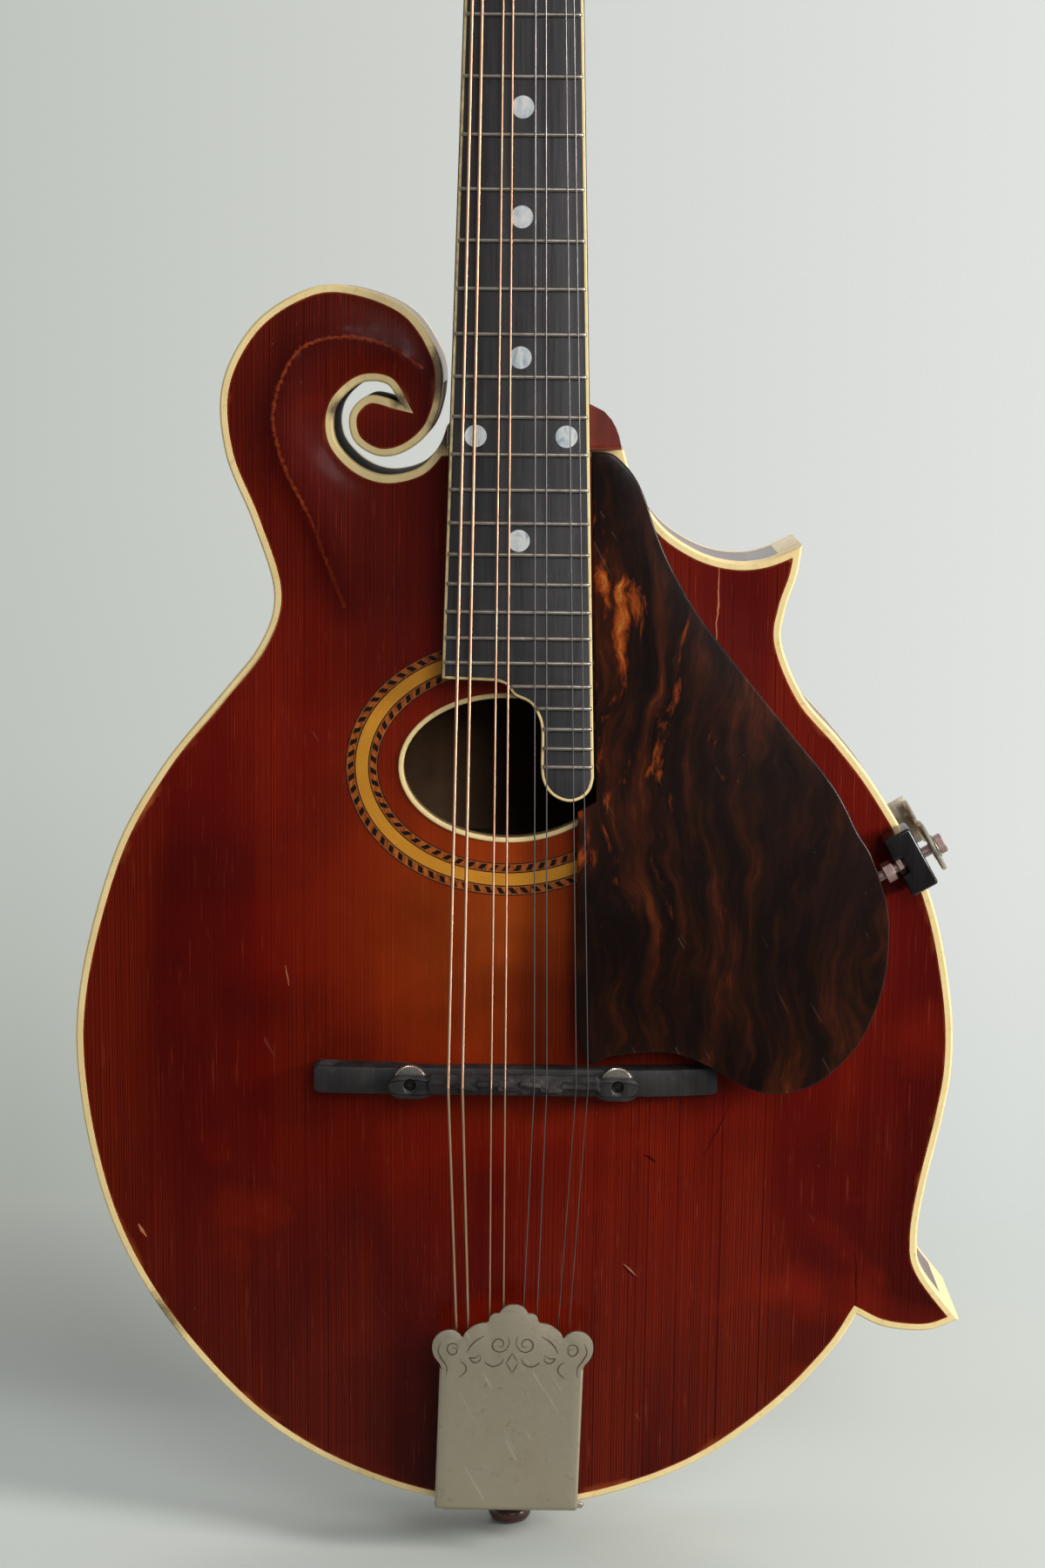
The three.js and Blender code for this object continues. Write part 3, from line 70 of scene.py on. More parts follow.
# Arch of the plates: peak, centre and half sizes, with the crest that runs round the scroll
ARCH_PEAK = 9.5
ARCH_CENTRE = (0, 170)
ARCH_HALVES = (120, 150)
ARCH_FULLNESS = 2.5
CREST_HEIGHT = 2.6
CREST_OUTSIDE = 5.5
CREST_INSIDE = 13
CREST_LINE = [
    (-50, 286), (-54.5, 297), (-59.5, 310.4), (-66.2, 323.7), (-69.1, 332.3), (-70.0, 342.9),
    (-63.6, 357.8), (-52.2, 362.3), (-39.2, 360.7), (-28, 354),
]

# Soundhole and rosette, as distances inwards from the rosette's outer edge
HOLE_CENTRE = (-2.7, 240.4)
HOLE_HALVES = (31.5, 21.5)
HOLE_BINDING = 1.5
ROSETTE_HALVES = (46.8, 37)
ROSETTE_BANDS = [
    ("outer_line", 0, 0.3), ("outer_rope", 0.3, 2.6), ("outer_band_line", 2.6, 2.95),
    ("band", 2.95, 6.5), ("inner_band_line", 6.5, 6.85), ("inner_rope", 6.85, 9.1),
    ("inner_line", 9.1, 9.4),
]

# Neck and fretboard
SCALE = 352.4
NUT_HEIGHT = 506.51
BOARD_FACE = -25.35
NECK_TILT = 2
NUT_WIDTH = 30.1
BOARD_END_WIDTH = 43
BOARD_END = 239.6
BOARD_THICKNESS = 5.5
BOARD_BINDING = 0.85
EXTENSION = 34.8
NUT_THICKNESS = 5
NUT_PROUD = 1.5
NECK_DEPTHS = (13.5, 15.5)
HEEL_DEPTH = 43.5
HEEL_LENGTH = 26
FLARE_LENGTH = 14
FLARE_WIDTH = 9.3
TONGUE = (37.6, 236, 14)
JOINT_FRET = 12
LAST_FULL_FRET = 19
FRET_COUNT = 24
FRET_WIDTH = 1.3
FRET_HEIGHT = 1.0
FRET_INSET = 0.5
DOT_RADIUS = 3.1
DOT_PLACES = [(0, 80.9), (0, 110.7), (0, 149.3), (-12.4, 171.1), (13.1, 171.1), (0, 200.3)]

# Headstock and tuners
HEAD_RAKE = 14
HEAD_DROP = 3.5
HEAD_SIZE = (74, 163)
HEAD_FACE = 1.5
HEAD_BACK = 15.8
GEAR_MIDDLE = 21.1
TUNER_X = 18.5
TUNER_ROWS = [33, 56.5, 80, 103.5]
POST_RADIUS = 3
POST_FRONT = 12
GEAR_TEETH = 14
GEAR_RADIUS = 4.6
WORM_SPACING = 8.1

# Strings, from the bass side
STRING_RADII = [0.5, 0.5, 0.33, 0.33, 0.2, 0.2, 0.15, 0.15]
NUT_SLOTS = [-13.3, -10.8, -5.5, -3.1, 2.7, 5.4, 10.3, 12.3]
SADDLE_SLOTS = [-18.8, -14.7, -6.4, -2.4, 6.0, 9.6, 18.1, 21.5]
TAIL_SLOTS = [-15.3, -11.9, -6.1, -2.0, 3.0, 7.2, 13.0, 16.2]
STRING_ROWS = [0, 1, 2, 3, 3, 2, 1, 0]
TAIL_HOOKS = (-26.6, 52.3)
WOUND_STRINGS = 4

# Bridge
BRIDGE_HEIGHT = 149.61
BRIDGE_BASE = (-58.15, 59.35)
BRIDGE_BASE_WIDTH = 8.4
BRIDGE_BASE_TOP = -33.3
BRIDGE_POST_X = 30
WHEEL_RADIUS = 4.8
SADDLE_BOTTOM = -35.9
SADDLE_SHOULDER = -39.2
SADDLE_TOP = -41
SADDLE_END = (6.1, 3.5)
SADDLE_END_DROP = 0.9

# Tailpiece and end pin
TAIL_X = -0.4
TAIL_BASE_WIDTH = 40.2
TAIL_BASE_TOP = 64.6
TAIL_BASE_FRONT = -24
COVER_WIDTH = 42.6
COVER_BOTTOM = 17
COVER_FRONT = -33
COVER_SHEET = 0.9
COVER_DEPTH = 10
COVER_ROUND = 1.6

# Guard and clamp
GUARD_LEFT = 17.6
GUARD_WIDTH = 89.8
GUARD_TOP = 175.2
GUARD_LENGTH = 184
GUARD_RECESS = 1
GUARD_THICKNESS = 2.2
CLAMP_PLACE = (113.4, 215)
CLAMP_TURN = 30

# Outlines as shares of the body's width and length
SHOULDER_SHARES = [
    (0.114, 0.876), (0.128, 0.847), (0.158, 0.816), (0.197, 0.797),
    (0.236, 0.789), (0.274, 0.791), (0.314, 0.803),
]
TREBLE_SHARES = [
    (0.314, 0.803), (0.309, 0.779), (0.297, 0.752), (0.294, 0.724), (0.320, 0.682),
    (0.362, 0.648), (0.401, 0.613), (0.444, 0.563), (0.476, 0.507), (0.496, 0.438),
    (0.500, 0.385), (0.492, 0.341), (0.474, 0.279), (0.467, 0.237), (0.475, 0.208),
    (0.519, 0.167),
]
HOOK_SHARES = [(0.519, 0.167), (0.488, 0.158), (0.457, 0.157), (0.426, 0.161), (0.400, 0.170)]
BASS_SHARES = [
    (0.400, 0.170), (0.373, 0.139), (0.315, 0.093), (0.233, 0.047), (0.147, 0.018),
    (0.050, 0.001), (-0.047, 0.001), (-0.143, 0.016), (-0.242, 0.048), (-0.326, 0.095),
    (-0.412, 0.170), (-0.469, 0.252), (-0.499, 0.353), (-0.497, 0.441), (-0.456, 0.549),
    (-0.400, 0.621), (-0.336, 0.677), (-0.289, 0.720), (-0.273, 0.761), (-0.296, 0.816),
    (-0.326, 0.870), (-0.329, 0.924), (-0.293, 0.971), (-0.233, 0.998), (-0.180, 0.999),
    (-0.123, 0.982), (-0.091, 0.949), (-0.086, 0.920), (-0.098, 0.891), (-0.126, 0.873),
    (-0.157, 0.869), (-0.184, 0.881), (-0.188, 0.902), (-0.167, 0.916), (-0.134, 0.911),
]
SLOT_SHARES = [
    (-0.134, 0.911), (-0.148, 0.925), (-0.177, 0.925), (-0.203, 0.907), (-0.204, 0.882),
    (-0.180, 0.862), (-0.148, 0.854), (-0.112, 0.860), (-0.090, 0.877), (-0.081, 0.893),
]
HEAD_SHARES = [
    (0.205, 0), (0.21, 0.05), (0.29, 0.10), (0.37, 0.15), (0.395, 0.22), (0.405, 0.45),
    (0.43, 0.66), (0.455, 0.75), (0.50, 0.81), (0.38, 0.795), (0.27, 0.82), (0.17, 0.88),
    (0.08, 0.95), (-0.03, 0.99), (-0.16, 1), (-0.29, 0.975), (-0.37, 0.92), (-0.37, 0.86),
    (-0.31, 0.835), (-0.37, 0.79), (-0.46, 0.78), (-0.44, 0.70), (-0.415, 0.55), (-0.40, 0.38),
    (-0.395, 0.22), (-0.37, 0.15), (-0.29, 0.10), (-0.21, 0.05), (-0.205, 0),
]
EXTENSION_SHARES = [
    (-0.14, 0.015), (-0.07, 0.05), (-0.02, 0.13), (0.08, 0.19), (0.135, 0.29), (0.16, 0.42),
    (0.16, 0.72), (0.18, 0.85), (0.24, 0.95), (0.34, 1), (0.43, 0.975), (0.49, 0.90), (0.513, 0.80),
]
GUARD_SHARES = [
    (0.056, 0), (0.101, 0.005), (0.157, 0.032), (0.195, 0.066), (0.236, 0.123),
    (0.290, 0.181), (0.383, 0.255), (0.512, 0.335), (0.662, 0.424), (0.812, 0.513),
    (0.891, 0.584), (0.937, 0.620), (0.988, 0.692), (1, 0.749), (0.987, 0.822),
    (0.934, 0.899), (0.862, 0.949), (0.766, 0.986), (0.660, 1), (0.561, 0.992),
    (0.449, 0.962), (0.346, 0.940), (0.248, 0.935), (0.111, 0.944), (0.048, 0.954),
    (0.005, 0.897), (0, 0.76),
]


# Frames that pieces are laid out in
BOARD = Matrix.Translation((0, BOARD_FACE, NUT_HEIGHT)) @ Matrix.Rotation(math.radians(-NECK_TILT), 4, "X")
HEAD = (
    BOARD
    @ Matrix.Translation((0, HEAD_DROP, NUT_THICKNESS + 0.6))
    @ Matrix.Rotation(math.radians(-HEAD_RAKE), 4, "X")
)
CLAMP = (
    Matrix.Translation((CLAMP_PLACE[0], 0, CLAMP_PLACE[1]))
    @ Matrix.Rotation(math.radians(-CLAMP_TURN), 4, "Y")
)
BODY = Matrix.Identity(4)


# Curves and outlines
def smooth(points, steps):
    """Points of a curve that passes through all the given ones."""
    curve = []
    count = len(points)
    for i in range(count - 1):
        p0, p1 = np.array(points[max(i - 1, 0)]), np.array(points[i])
        p2, p3 = np.array(points[i + 1]), np.array(points[min(i + 2, count - 1)])
        v0, v1 = (p2 - p0) / 2, (p3 - p1) / 2
        for step in range(steps):
            t = step / steps
            curve.append(
                (2 * p1 - 2 * p2 + v0 + v1) * t**3 + (3 * p2 - 3 * p1 - 2 * v0 - v1) * t**2 + v0 * t + p1
            )
    curve.append(np.array(points[-1]))
    return curve


def body_stretch(shares):
    points = [(across * BODY_WIDTH, BODY_BOTTOM + up * BODY_LENGTH) for across, up in shares]
    return smooth(points, OUTLINE_STEPS)[:-1]


def straight(start, end, count):
    return [np.array(start) + (np.array(end) - np.array(start)) * i / count for i in range(count)]


def segment_distance(points, line, closed=True):
    """Distance of each point from a line of points, and the nearest place on that line."""
    points, line = np.atleast_2d(points), np.array(line)
    starts = line if closed else line[:-1]
    ends = np.roll(line, -1, axis=0) if closed else line[1:]
    run = ends - starts
    lengths = np.maximum((run**2).sum(1), 1e-12)
    share = ((points[:, None] - starts) * run).sum(2) / lengths
    near = starts + run * np.clip(share, 0, 1)[..., None]
    distance = np.linalg.norm(points[:, None] - near, axis=2)
    best = distance.argmin(1)
    rows = np.arange(len(points))
    return distance[rows, best], near[rows, best], best


def signed_area(outline):
    x, y = np.array(outline).T
    return (x * np.roll(y, -1) - y * np.roll(x, -1)).sum() / 2


def moved_inwards(outline, distance):
    """The outline's points moved inwards, and which of them keep their distance from it."""
    outline = np.array(outline)
    side = math.copysign(1, signed_area(outline))
    ahead = np.roll(outline, -1, axis=0) - outline
    ahead /= np.maximum(np.linalg.norm(ahead, axis=1), 1e-9)[:, None]
    normal = np.stack([-ahead[:, 1], ahead[:, 0]], 1) * side
    both = normal + np.roll(normal, 1, axis=0)
    length = np.maximum(np.linalg.norm(both, axis=1), 1e-3)
    stretch = np.minimum(2 / length**2, 2.4 / length)
    moved = outline + both * (distance * stretch)[:, None]
    return moved, segment_distance(moved, outline)[0] > 0.985 * distance


def inset(outline, distance):
    """The outline moved inwards, without the loops that form where it is narrow."""
    moved, keeps = moved_inwards(outline, distance)
    return list(moved[keeps])


def inside(points, outline):
    """Which of the points lie inside a closed outline."""
    points, outline = np.atleast_2d(points), np.array(outline)
    x, y = points[:, 0][:, None], points[:, 1][:, None]
    x1, y1 = outline.T
    x2, y2 = np.roll(outline, -1, axis=0).T
    crosses = (y1 > y) != (y2 > y)
    with np.errstate(divide="ignore", invalid="ignore"):
        reach = (x2 - x1) * (y - y1) / (y2 - y1) + x1
    return (crosses & (x < reach)).sum(1) % 2 == 1


def ellipse(centre, halves, count):
    angles = [2 * math.pi * i / count for i in range(count)]
    return [
        np.array((centre[0] + halves[0] * math.cos(a), centre[1] + halves[1] * math.sin(a))) for a in angles
    ]


def shrunk(halves, distance):
    return halves[0] - distance, halves[1] - distance


JOINT_LEFT = (SLOT_SHARES[-1][0] * BODY_WIDTH, BODY_BOTTOM + 0.8764 * BODY_LENGTH)
JOINT_RIGHT = (SHOULDER_SHARES[0][0] * BODY_WIDTH, BODY_BOTTOM + SHOULDER_SHARES[0][1] * BODY_LENGTH)
SLOT_END = (SLOT_SHARES[-1][0] * BODY_WIDTH, BODY_BOTTOM + SLOT_SHARES[-1][1] * BODY_LENGTH)
body_outline = [
    *body_stretch(SHOULDER_SHARES),
    *body_stretch(TREBLE_SHARES),
    *body_stretch(HOOK_SHARES),
    *body_stretch(BASS_SHARES),
    *body_stretch(SLOT_SHARES),
    *straight(SLOT_END, JOINT_LEFT, 4),
    *straight(JOINT_LEFT, JOINT_RIGHT, 16),
]
crest_line = smooth(CREST_LINE, 10)


def arch(points):
    """Height of the arch, and of the crest round the scroll, above the plate's flat edge."""
    points = np.atleast_2d(points)
    across = (points[:, 0] - ARCH_CENTRE[0]) / ARCH_HALVES[0]
    along = (points[:, 1] - ARCH_CENTRE[1]) / ARCH_HALVES[1]
    reach = np.minimum(1, np.hypot(across, along))
    height = ARCH_PEAK * (1 - reach**ARCH_FULLNESS) ** 2
    line = np.array(crest_line)
    distance, near, index = segment_distance(points, line, closed=False)
    share = index / (len(line) - 1)
    fade = np.sin(np.pi * np.clip(share, 0.02, 0.98)) ** 0.7
    run = line[np.minimum(index + 1, len(line) - 1)] - line[index]
    offset = points - near
    outward = run[:, 0] * offset[:, 1] - run[:, 1] * offset[:, 0] > 0
    width = np.where(outward, CREST_OUTSIDE, CREST_INSIDE)
    rise = np.where(outward, np.exp(-distance / width), np.exp(-((distance / width) ** 2)))
    edge = np.clip((segment_distance(points, body_outline)[0] - BINDING_WIDTH) / 6, 0, 1)
    return height + CREST_HEIGHT * fade * rise * edge * edge * (3 - 2 * edge)


def arch_at(x, z):
    return float(arch([(x, z)])[0])


# Meshes
def opened(mesh):
    shaper = bmesh.new()
    shaper.from_mesh(mesh)
    return shaper


def close(shaper, mesh, smooth_angle=None):
    """Writes the shaper's form to the mesh, with edges that are sharp above an angle."""
    if smooth_angle is not None:
        for edge in shaper.edges:
            edge.smooth = not edge.is_manifold or edge.calc_face_angle(0) < math.radians(smooth_angle)
        for face in shaper.faces:
            face.smooth = True
    shaper.to_mesh(mesh)
    shaper.free()


def placed(name, mesh, material):
    mesh.materials.append(material)
    piece = bpy.data.objects.new(name, mesh)
    bpy.context.scene.collection.objects.link(piece)
    return piece


def make_piece(name, points, faces, material, place=BODY, smooth_angle=35):
    """One object from points in millimetres of a frame."""
    mesh = bpy.data.meshes.new(name)
    mesh.from_pydata([place @ Vector(point) * MM for point in points], [], faces)
    shaper = opened(mesh)
    bmesh.ops.recalc_face_normals(shaper, faces=shaper.faces)
    close(shaper, mesh, smooth_angle)
    return placed(name, mesh, material)


def finish_piece(piece, node=None, body="instrument"):
    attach(piece, body)
    if node:
        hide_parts(node)
    return piece


def store_values(piece, name, values):
    piece.data.attributes.new(name, "FLOAT", "POINT").data.foreach_set("value", values)


def bevel(piece, width, segments=2, angle=40):
    """Rounds the piece's sharp edges for good."""
    shaper = opened(piece.data)
    sharpest = math.radians(angle)
    edges = [e for e in shaper.edges if e.is_manifold and e.calc_face_angle(0) > sharpest]
    bmesh.ops.bevel(
        shaper, geom=edges, offset=width * MM, segments=segments, profile=0.6,
        affect="EDGES", clamp_overlap=True, harden_normals=False,
    )
    close(shaper, piece.data, 50)
    return piece


def rings_mesh(rings, loop=False, capped=True):
    """Points and faces of a skin through rings of equally many points."""
    sides = len(rings[0])
    points = [tuple(point) for ring in rings for point in ring]
    faces = []
    last = len(rings) if loop else len(rings) - 1
    for i in range(last):
        a, b = i * sides, ((i + 1) % len(rings)) * sides
        for k in range(sides):
            n = (k + 1) % sides
            faces.append((a + k, a + n, b + n, b + k))
    if capped and not loop:
        faces.append(tuple(reversed(range(sides))))
        faces.append(tuple(range(len(points) - sides, len(points))))
    return points, faces


def slab_mesh(outline, front, back):
    """Points and faces of a flat outline given in X and Z, between two depths."""
    return rings_mesh([[(x, y, z) for x, z in outline] for y in (front, back)])


def flat_ends_cut(shaper):
    bmesh.ops.triangulate(shaper, faces=[f for f in shaper.faces if len(f.verts) > 4])


def round_slab(name, outline, front, back, rounding, material, place=BODY, segments=3):
    """A flat piece with rounded edges."""
    points, faces = slab_mesh(outline, front, back)
    piece = make_piece(name, points, faces, material, place)
    shaper = bmesh.new()
    shaper.from_mesh(piece.data)
    rims = [e for e in shaper.edges if any(len(f.verts) > 4 for f in e.link_faces)]
    bmesh.ops.bevel(
        shaper, geom=rims, offset=rounding * MM, segments=segments, profile=0.5,
        affect="EDGES", clamp_overlap=True,
    )
    bmesh.ops.triangulate(shaper, faces=[f for f in shaper.faces if len(f.verts) > 4])
    for edge in shaper.edges:
        edge.smooth = not edge.is_manifold or edge.calc_face_angle(0) < math.radians(40)
    for face in shaper.faces:
        face.smooth = True
    shaper.to_mesh(piece.data)
    shaper.free()
    return piece


def skin(name, rings, material, node=None, body="instrument", place=BODY, smooth_angle=35):
    """A finished piece whose skin runs through rings of points and is closed at both ends."""
    piece = make_piece(name, *rings_mesh(rings), material, place, smooth_angle)
    return finish_piece(piece, node, body)


def rings_between(outer, inner, profile):
    """Rings from one line to another: the profile gives shares of the way and depths."""
    rings = []
    for start, end in zip(outer, inner):
        places = [(start + (end - start) * share, depth) for share, depth in profile]
        rings.append([(x, depth, z) for (x, z), depth in places])
    return rings


def turned(profile, count):
    """Rings of a turned piece about Z, from points of radius and height."""
    return [
        [
            (r * math.cos(2 * math.pi * k / count), r * math.sin(2 * math.pi * k / count), z)
            for k in range(count)
        ]
        for r, z in profile
    ]


def along_y(profile, count, x=0, z=0):
    """Rings turned about Y from points of radius and depth."""
    return [[(x + px, y, z + pz) for px, pz, y in ring] for ring in turned(profile, count)]


def tube(name, route, radius, sides, material, place=BODY):
    """A round tube along a route of points."""
    route = [Vector(point) for point in route]
    rings = []
    across = None
    for i, point in enumerate(route):
        along = (route[min(i + 1, len(route) - 1)] - route[max(i - 1, 0)]).normalized()
        if across is None:
            across = Vector((1, 0, 0)) if abs(along.x) < abs(along.z) else Vector((0, 0, 1))
        across = (across - along * across.dot(along)).normalized()
        up = along.cross(across)
        rings.append([
            point + across * (radius * math.cos(2 * math.pi * k / sides))
            + up * (radius * math.sin(2 * math.pi * k / sides))
            for k in range(sides)
        ])
    return make_piece(name, *rings_mesh(rings), material, place, smooth_angle=60)


# Colours and shader nodes
def shade(red, green, blue):
    """A display colour, from 0 to 255, as the linear colour that shaders take."""
    linear = []
    for value in (red, green, blue):
        value /= 255
        linear.append(value / 12.92 if value <= 0.04045 else ((value + 0.055) / 1.055) ** 2.4)
    return (*linear, 1)


def add(kind, inputs=(), beside=None, **settings):
    """A shader node in the tree of the socket that it stands beside, or of its first linked input."""
    inputs = dict(inputs)
    linked = {key for key, value in inputs.items() if isinstance(value, bpy.types.NodeSocket)}
    tree = beside.id_data if beside else next(inputs[key] for key in inputs if key in linked).id_data
    made = tree.nodes.new("ShaderNode" + kind)
    for key, value in settings.items():
        setattr(made, key, value)
    for key, value in inputs.items():
        if key in linked:
            tree.links.new(value, made.inputs[key])
        else:
            made.inputs[key].default_value = value
    return made


def calc(operation, first, second=0.0, third=0.0):
    return add("Math", {0: first, 1: second, 2: third}, operation=operation).outputs[0]


def plus(first, second):
    return calc("ADD", first, second)


def minus(first, second):
    return calc("SUBTRACT", first, second)


def times(first, second):
    return calc("MULTIPLY", first, second)


def over(first, second):
    return calc("DIVIDE", first, second)


def times_plus(first, second, third):
    return calc("MULTIPLY_ADD", first, second, third)


def vector(operation, first, second, third=(0, 0, 0), output=0):
    return add("VectorMath", {0: first, 1: second, 2: third}, operation=operation).outputs[output]


def stretch(place, across, depth, along):
    return vector("MULTIPLY", place, (across, depth, along))


def parts_of(place):
    return add("SeparateXYZ", {0: place}).outputs


def limits(value, low, high, bottom=0.0, top=1.0):
    """The value's run from low to high as one from bottom to top, and no further."""
    inputs = {"Value": value, "From Min": low, "From Max": high, "To Min": bottom, "To Max": top}
    return add("MapRange", inputs, clamp=True).outputs["Result"]


def blend(share, first, second):
    return add("Mix", {0: share, 6: first, 7: second}, data_type="RGBA").outputs[2]


def ramp(value, stops):
    """A colour that runs through (place, colour) stops."""
    made = add("ValToRGB", {"Fac": value})
    elements = made.color_ramp.elements
    while len(elements) < len(stops):
        elements.new(1)
    for element, (place, colour) in zip(elements, stops):
        element.position, element.color = place, colour
    return made.outputs["Color"]


def noise(place, scale=1.0, detail=3.0, roughness=0.55, distortion=0.0, output="Fac"):
    inputs = {
        "Vector": place, "Scale": scale, "Detail": detail, "Roughness": roughness,
        "Distortion": distortion,
    }
    return add("TexNoise", inputs).outputs[output]


def new_group(name, inputs, outputs):
    """An empty node group: its inputs are (name, default), without a default for a place."""
    tree = bpy.data.node_groups.new(name, "ShaderNodeTree")
    for socket, default in inputs:
        kind = "NodeSocketVector" if default is None else "NodeSocketFloat"
        made = tree.interface.new_socket(socket, in_out="INPUT", socket_type=kind)
        if default is not None:
            made.default_value = default
    for socket in outputs:
        tree.interface.new_socket(socket, in_out="OUTPUT", socket_type="NodeSocketFloat")
    return tree, tree.nodes.new("NodeGroupInput").outputs, tree.nodes.new("NodeGroupOutput")


def grain_group():
    """Grain lines along Z, with fine fibres between them."""
    tree, given, out = new_group(
        "wood grain",
        [("Place", None), ("Line spacing", 1.2), ("Wander", 0.35)],
        ["Lines", "Fibres"],
    )
    density = over(1000, given["Line spacing"])
    drift = noise(stretch(given["Place"], 9, 9, 3), 1, 2)
    across = times(parts_of(given["Place"])[0], density)
    bent = times_plus(drift, times(given["Wander"], 14), across)
    uneven = noise(add("CombineXYZ", {0: bent}).outputs[0], 0.37, 2)
    bent = times_plus(uneven, 3.0, bent)
    wave = calc("FRACT", bent)
    lines = calc("POWER", wave, 2.5)
    tree.links.new(lines, out.inputs["Lines"])
    fibres = noise(stretch(given["Place"], 2600, 900, 60), 1, 3)
    tree.links.new(fibres, out.inputs["Fibres"])
    return tree


def mottle_group():
    tree, given, out = new_group(
        "mottle", [("Place", None), ("Size", 20.0)], ["Patches"]
    )
    scale = over(1000, given["Size"])
    patches = noise(given["Place"], scale, 3, 0.5)
    tree.links.new(limits(patches, 0.3, 0.7), out.inputs["Patches"])
    return tree


def specks_group():
    """Small pale dings and dust, as scattered dots."""
    tree, given, out = new_group(
        "specks",
        [("Place", None), ("Spacing", 8.0), ("Size", 0.04), ("Share", 0.3)],
        ["Specks"],
    )
    scale = over(1000, given["Spacing"])
    ragged = noise(given["Place"], times(scale, 6), 2)
    cells = add("TexVoronoi", {"Vector": given["Place"], "Scale": scale})
    reach = times_plus(ragged, 0.02, cells.outputs["Distance"])
    near = calc("LESS_THAN", reach, given["Size"])
    pick = add("SeparateColor", {0: cells.outputs["Color"]}).outputs[0]
    chosen = calc("LESS_THAN", pick, given["Share"])
    tree.links.new(times(near, chosen), out.inputs["Specks"])
    return tree


def scratches_group():
    """Short thin marks that lie roughly along one direction."""
    tree, given, out = new_group(
        "scratches",
        [("Place", None), ("Width", 0.15), ("Share", 0.5)],
        ["Scratches"],
    )
    scale = over(100, given["Width"])
    turned = add("VectorRotate", {"Vector": given["Place"], "Angle": 0.5}, rotation_type="Y_AXIS")
    fine = noise(stretch(turned.outputs[0], 1, 1, 0.04), scale, 1)
    where = noise(given["Place"], 60, 2)
    marks = limits(fine, 0.70, 0.74)
    allowed = calc("LESS_THAN", where, given["Share"])
    tree.links.new(times(marks, allowed), out.inputs["Scratches"])
    return tree


def wear_group():
    """How worn an edge is: strongest at the edge and broken up by noise."""
    tree, given, out = new_group(
        "edge wear",
        [("Place", None), ("Distance", 10.0), ("Width", 2.0), ("Break up", 0.6)],
        ["Worn"],
    )
    ragged = noise(given["Place"], 130, 4, 0.65)
    reach = times(given["Width"], times(ragged, 2))
    closeness = minus(1, over(given["Distance"], reach))
    strong = limits(closeness, 0, 0.5)
    broad = noise(given["Place"], 28, 3)
    broken = limits(broad, given["Break up"], plus(given["Break up"], 0.12))
    tree.links.new(times(strong, broken), out.inputs["Worn"])
    return tree


def sunburst_group():
    """The burst's place on the body, from 0 in the amber middle to 1 at the dark edge."""
    tree, given, out = new_group("sunburst", [("Place", None)], ["Burst"])
    parts = parts_of(given["Place"])
    wobble = minus(noise(given["Place"], 16, 3), 0.5)
    across = over(plus(parts[0], 0.002), 0.112)
    along = minus(parts[2], 0.196)
    above = over(calc("MAXIMUM", along, 0), 0.128)
    below = over(calc("MINIMUM", along, 0), 0.112)
    squares = times(across, across)
    squares = times_plus(above, above, squares)
    squares = times_plus(below, below, squares)
    reach = calc("SQRT", squares)
    reach = times_plus(wobble, 0.28, reach)
    tree.links.new(reach, out.inputs["Burst"])
    return tree


def crack_group():
    """A fine line between two places of the front that wanders a little and runs out at its ends."""
    tree, given, out = new_group(
        "fine crack", [("Place", None), ("Start", None), ("End", None), ("Width", 0.0004)],
        ["Crack"],
    )
    drift = noise(given["Place"], 170, 3, 0.5, output="Color")
    drift = vector("SUBTRACT", drift, (0.5, 0.5, 0.5))
    here = vector("MULTIPLY_ADD", drift, (0.0016, 0, 0.0016), given["Place"])
    off = vector("MULTIPLY", vector("SUBTRACT", here, given["Start"]), (1, 0, 1))
    run = vector("SUBTRACT", given["End"], given["Start"])
    ahead = vector("DOT_PRODUCT", off, run, output="Value")
    whole = vector("DOT_PRODUCT", run, run, output="Value")
    share = limits(over(ahead, whole), 0, 1)
    near = add("VectorMath", {0: run, "Scale": share}, operation="SCALE").outputs[0]
    gap = vector("DISTANCE", off, near, output="Value")
    middle = calc("ABSOLUTE", minus(share, 0.5))
    reach = times_plus(middle, 0.9, over(gap, given["Width"]))
    tree.links.new(limits(reach, 1, 0.5), out.inputs["Crack"])
    return tree


GRAIN = grain_group()
MOTTLE = mottle_group()
SPECKS = specks_group()
SCRATCHES = scratches_group()
WEAR = wear_group()
SUNBURST = sunburst_group()
CRACK = crack_group()


def use(group, output, place, **values):
    inputs = {"Place": place} | {key.replace("_", " "): value for key, value in values.items()}
    return add("Group", inputs, node_tree=group).outputs[output]


def start_material(name, **values):
    """A material with set values of its shader, and the place on the object in the frame."""
    material = bpy.data.materials.new(name)
    material.use_nodes = True
    for key, value in values.items():
        material.node_tree.nodes["Principled BSDF"].inputs[key.replace("_", " ")].default_value = value
    return material, material.node_tree.nodes.new("ShaderNodeTexCoord").outputs["Object"]


def dressed(material, colour, roughness, height, distance, strength):
    """The material with its colour, roughness and bump height joined to its shader."""
    shader = material.node_tree.nodes["Principled BSDF"]
    bump = add("Bump", {"Height": height, "Distance": distance * MM, "Strength": strength})
    joined = {"Base Color": colour, "Roughness": roughness, "Normal": bump.outputs["Normal"]}
    for key, value in joined.items():
        if value is not None:
            material.node_tree.links.new(value, shader.inputs[key])
    return material


def stored(place, name):
    return add("Attribute", beside=place, attribute_name=name).outputs["Fac"]


# Finishes
def front_place(x, z):
    return (x * MM, 0, z * MM)


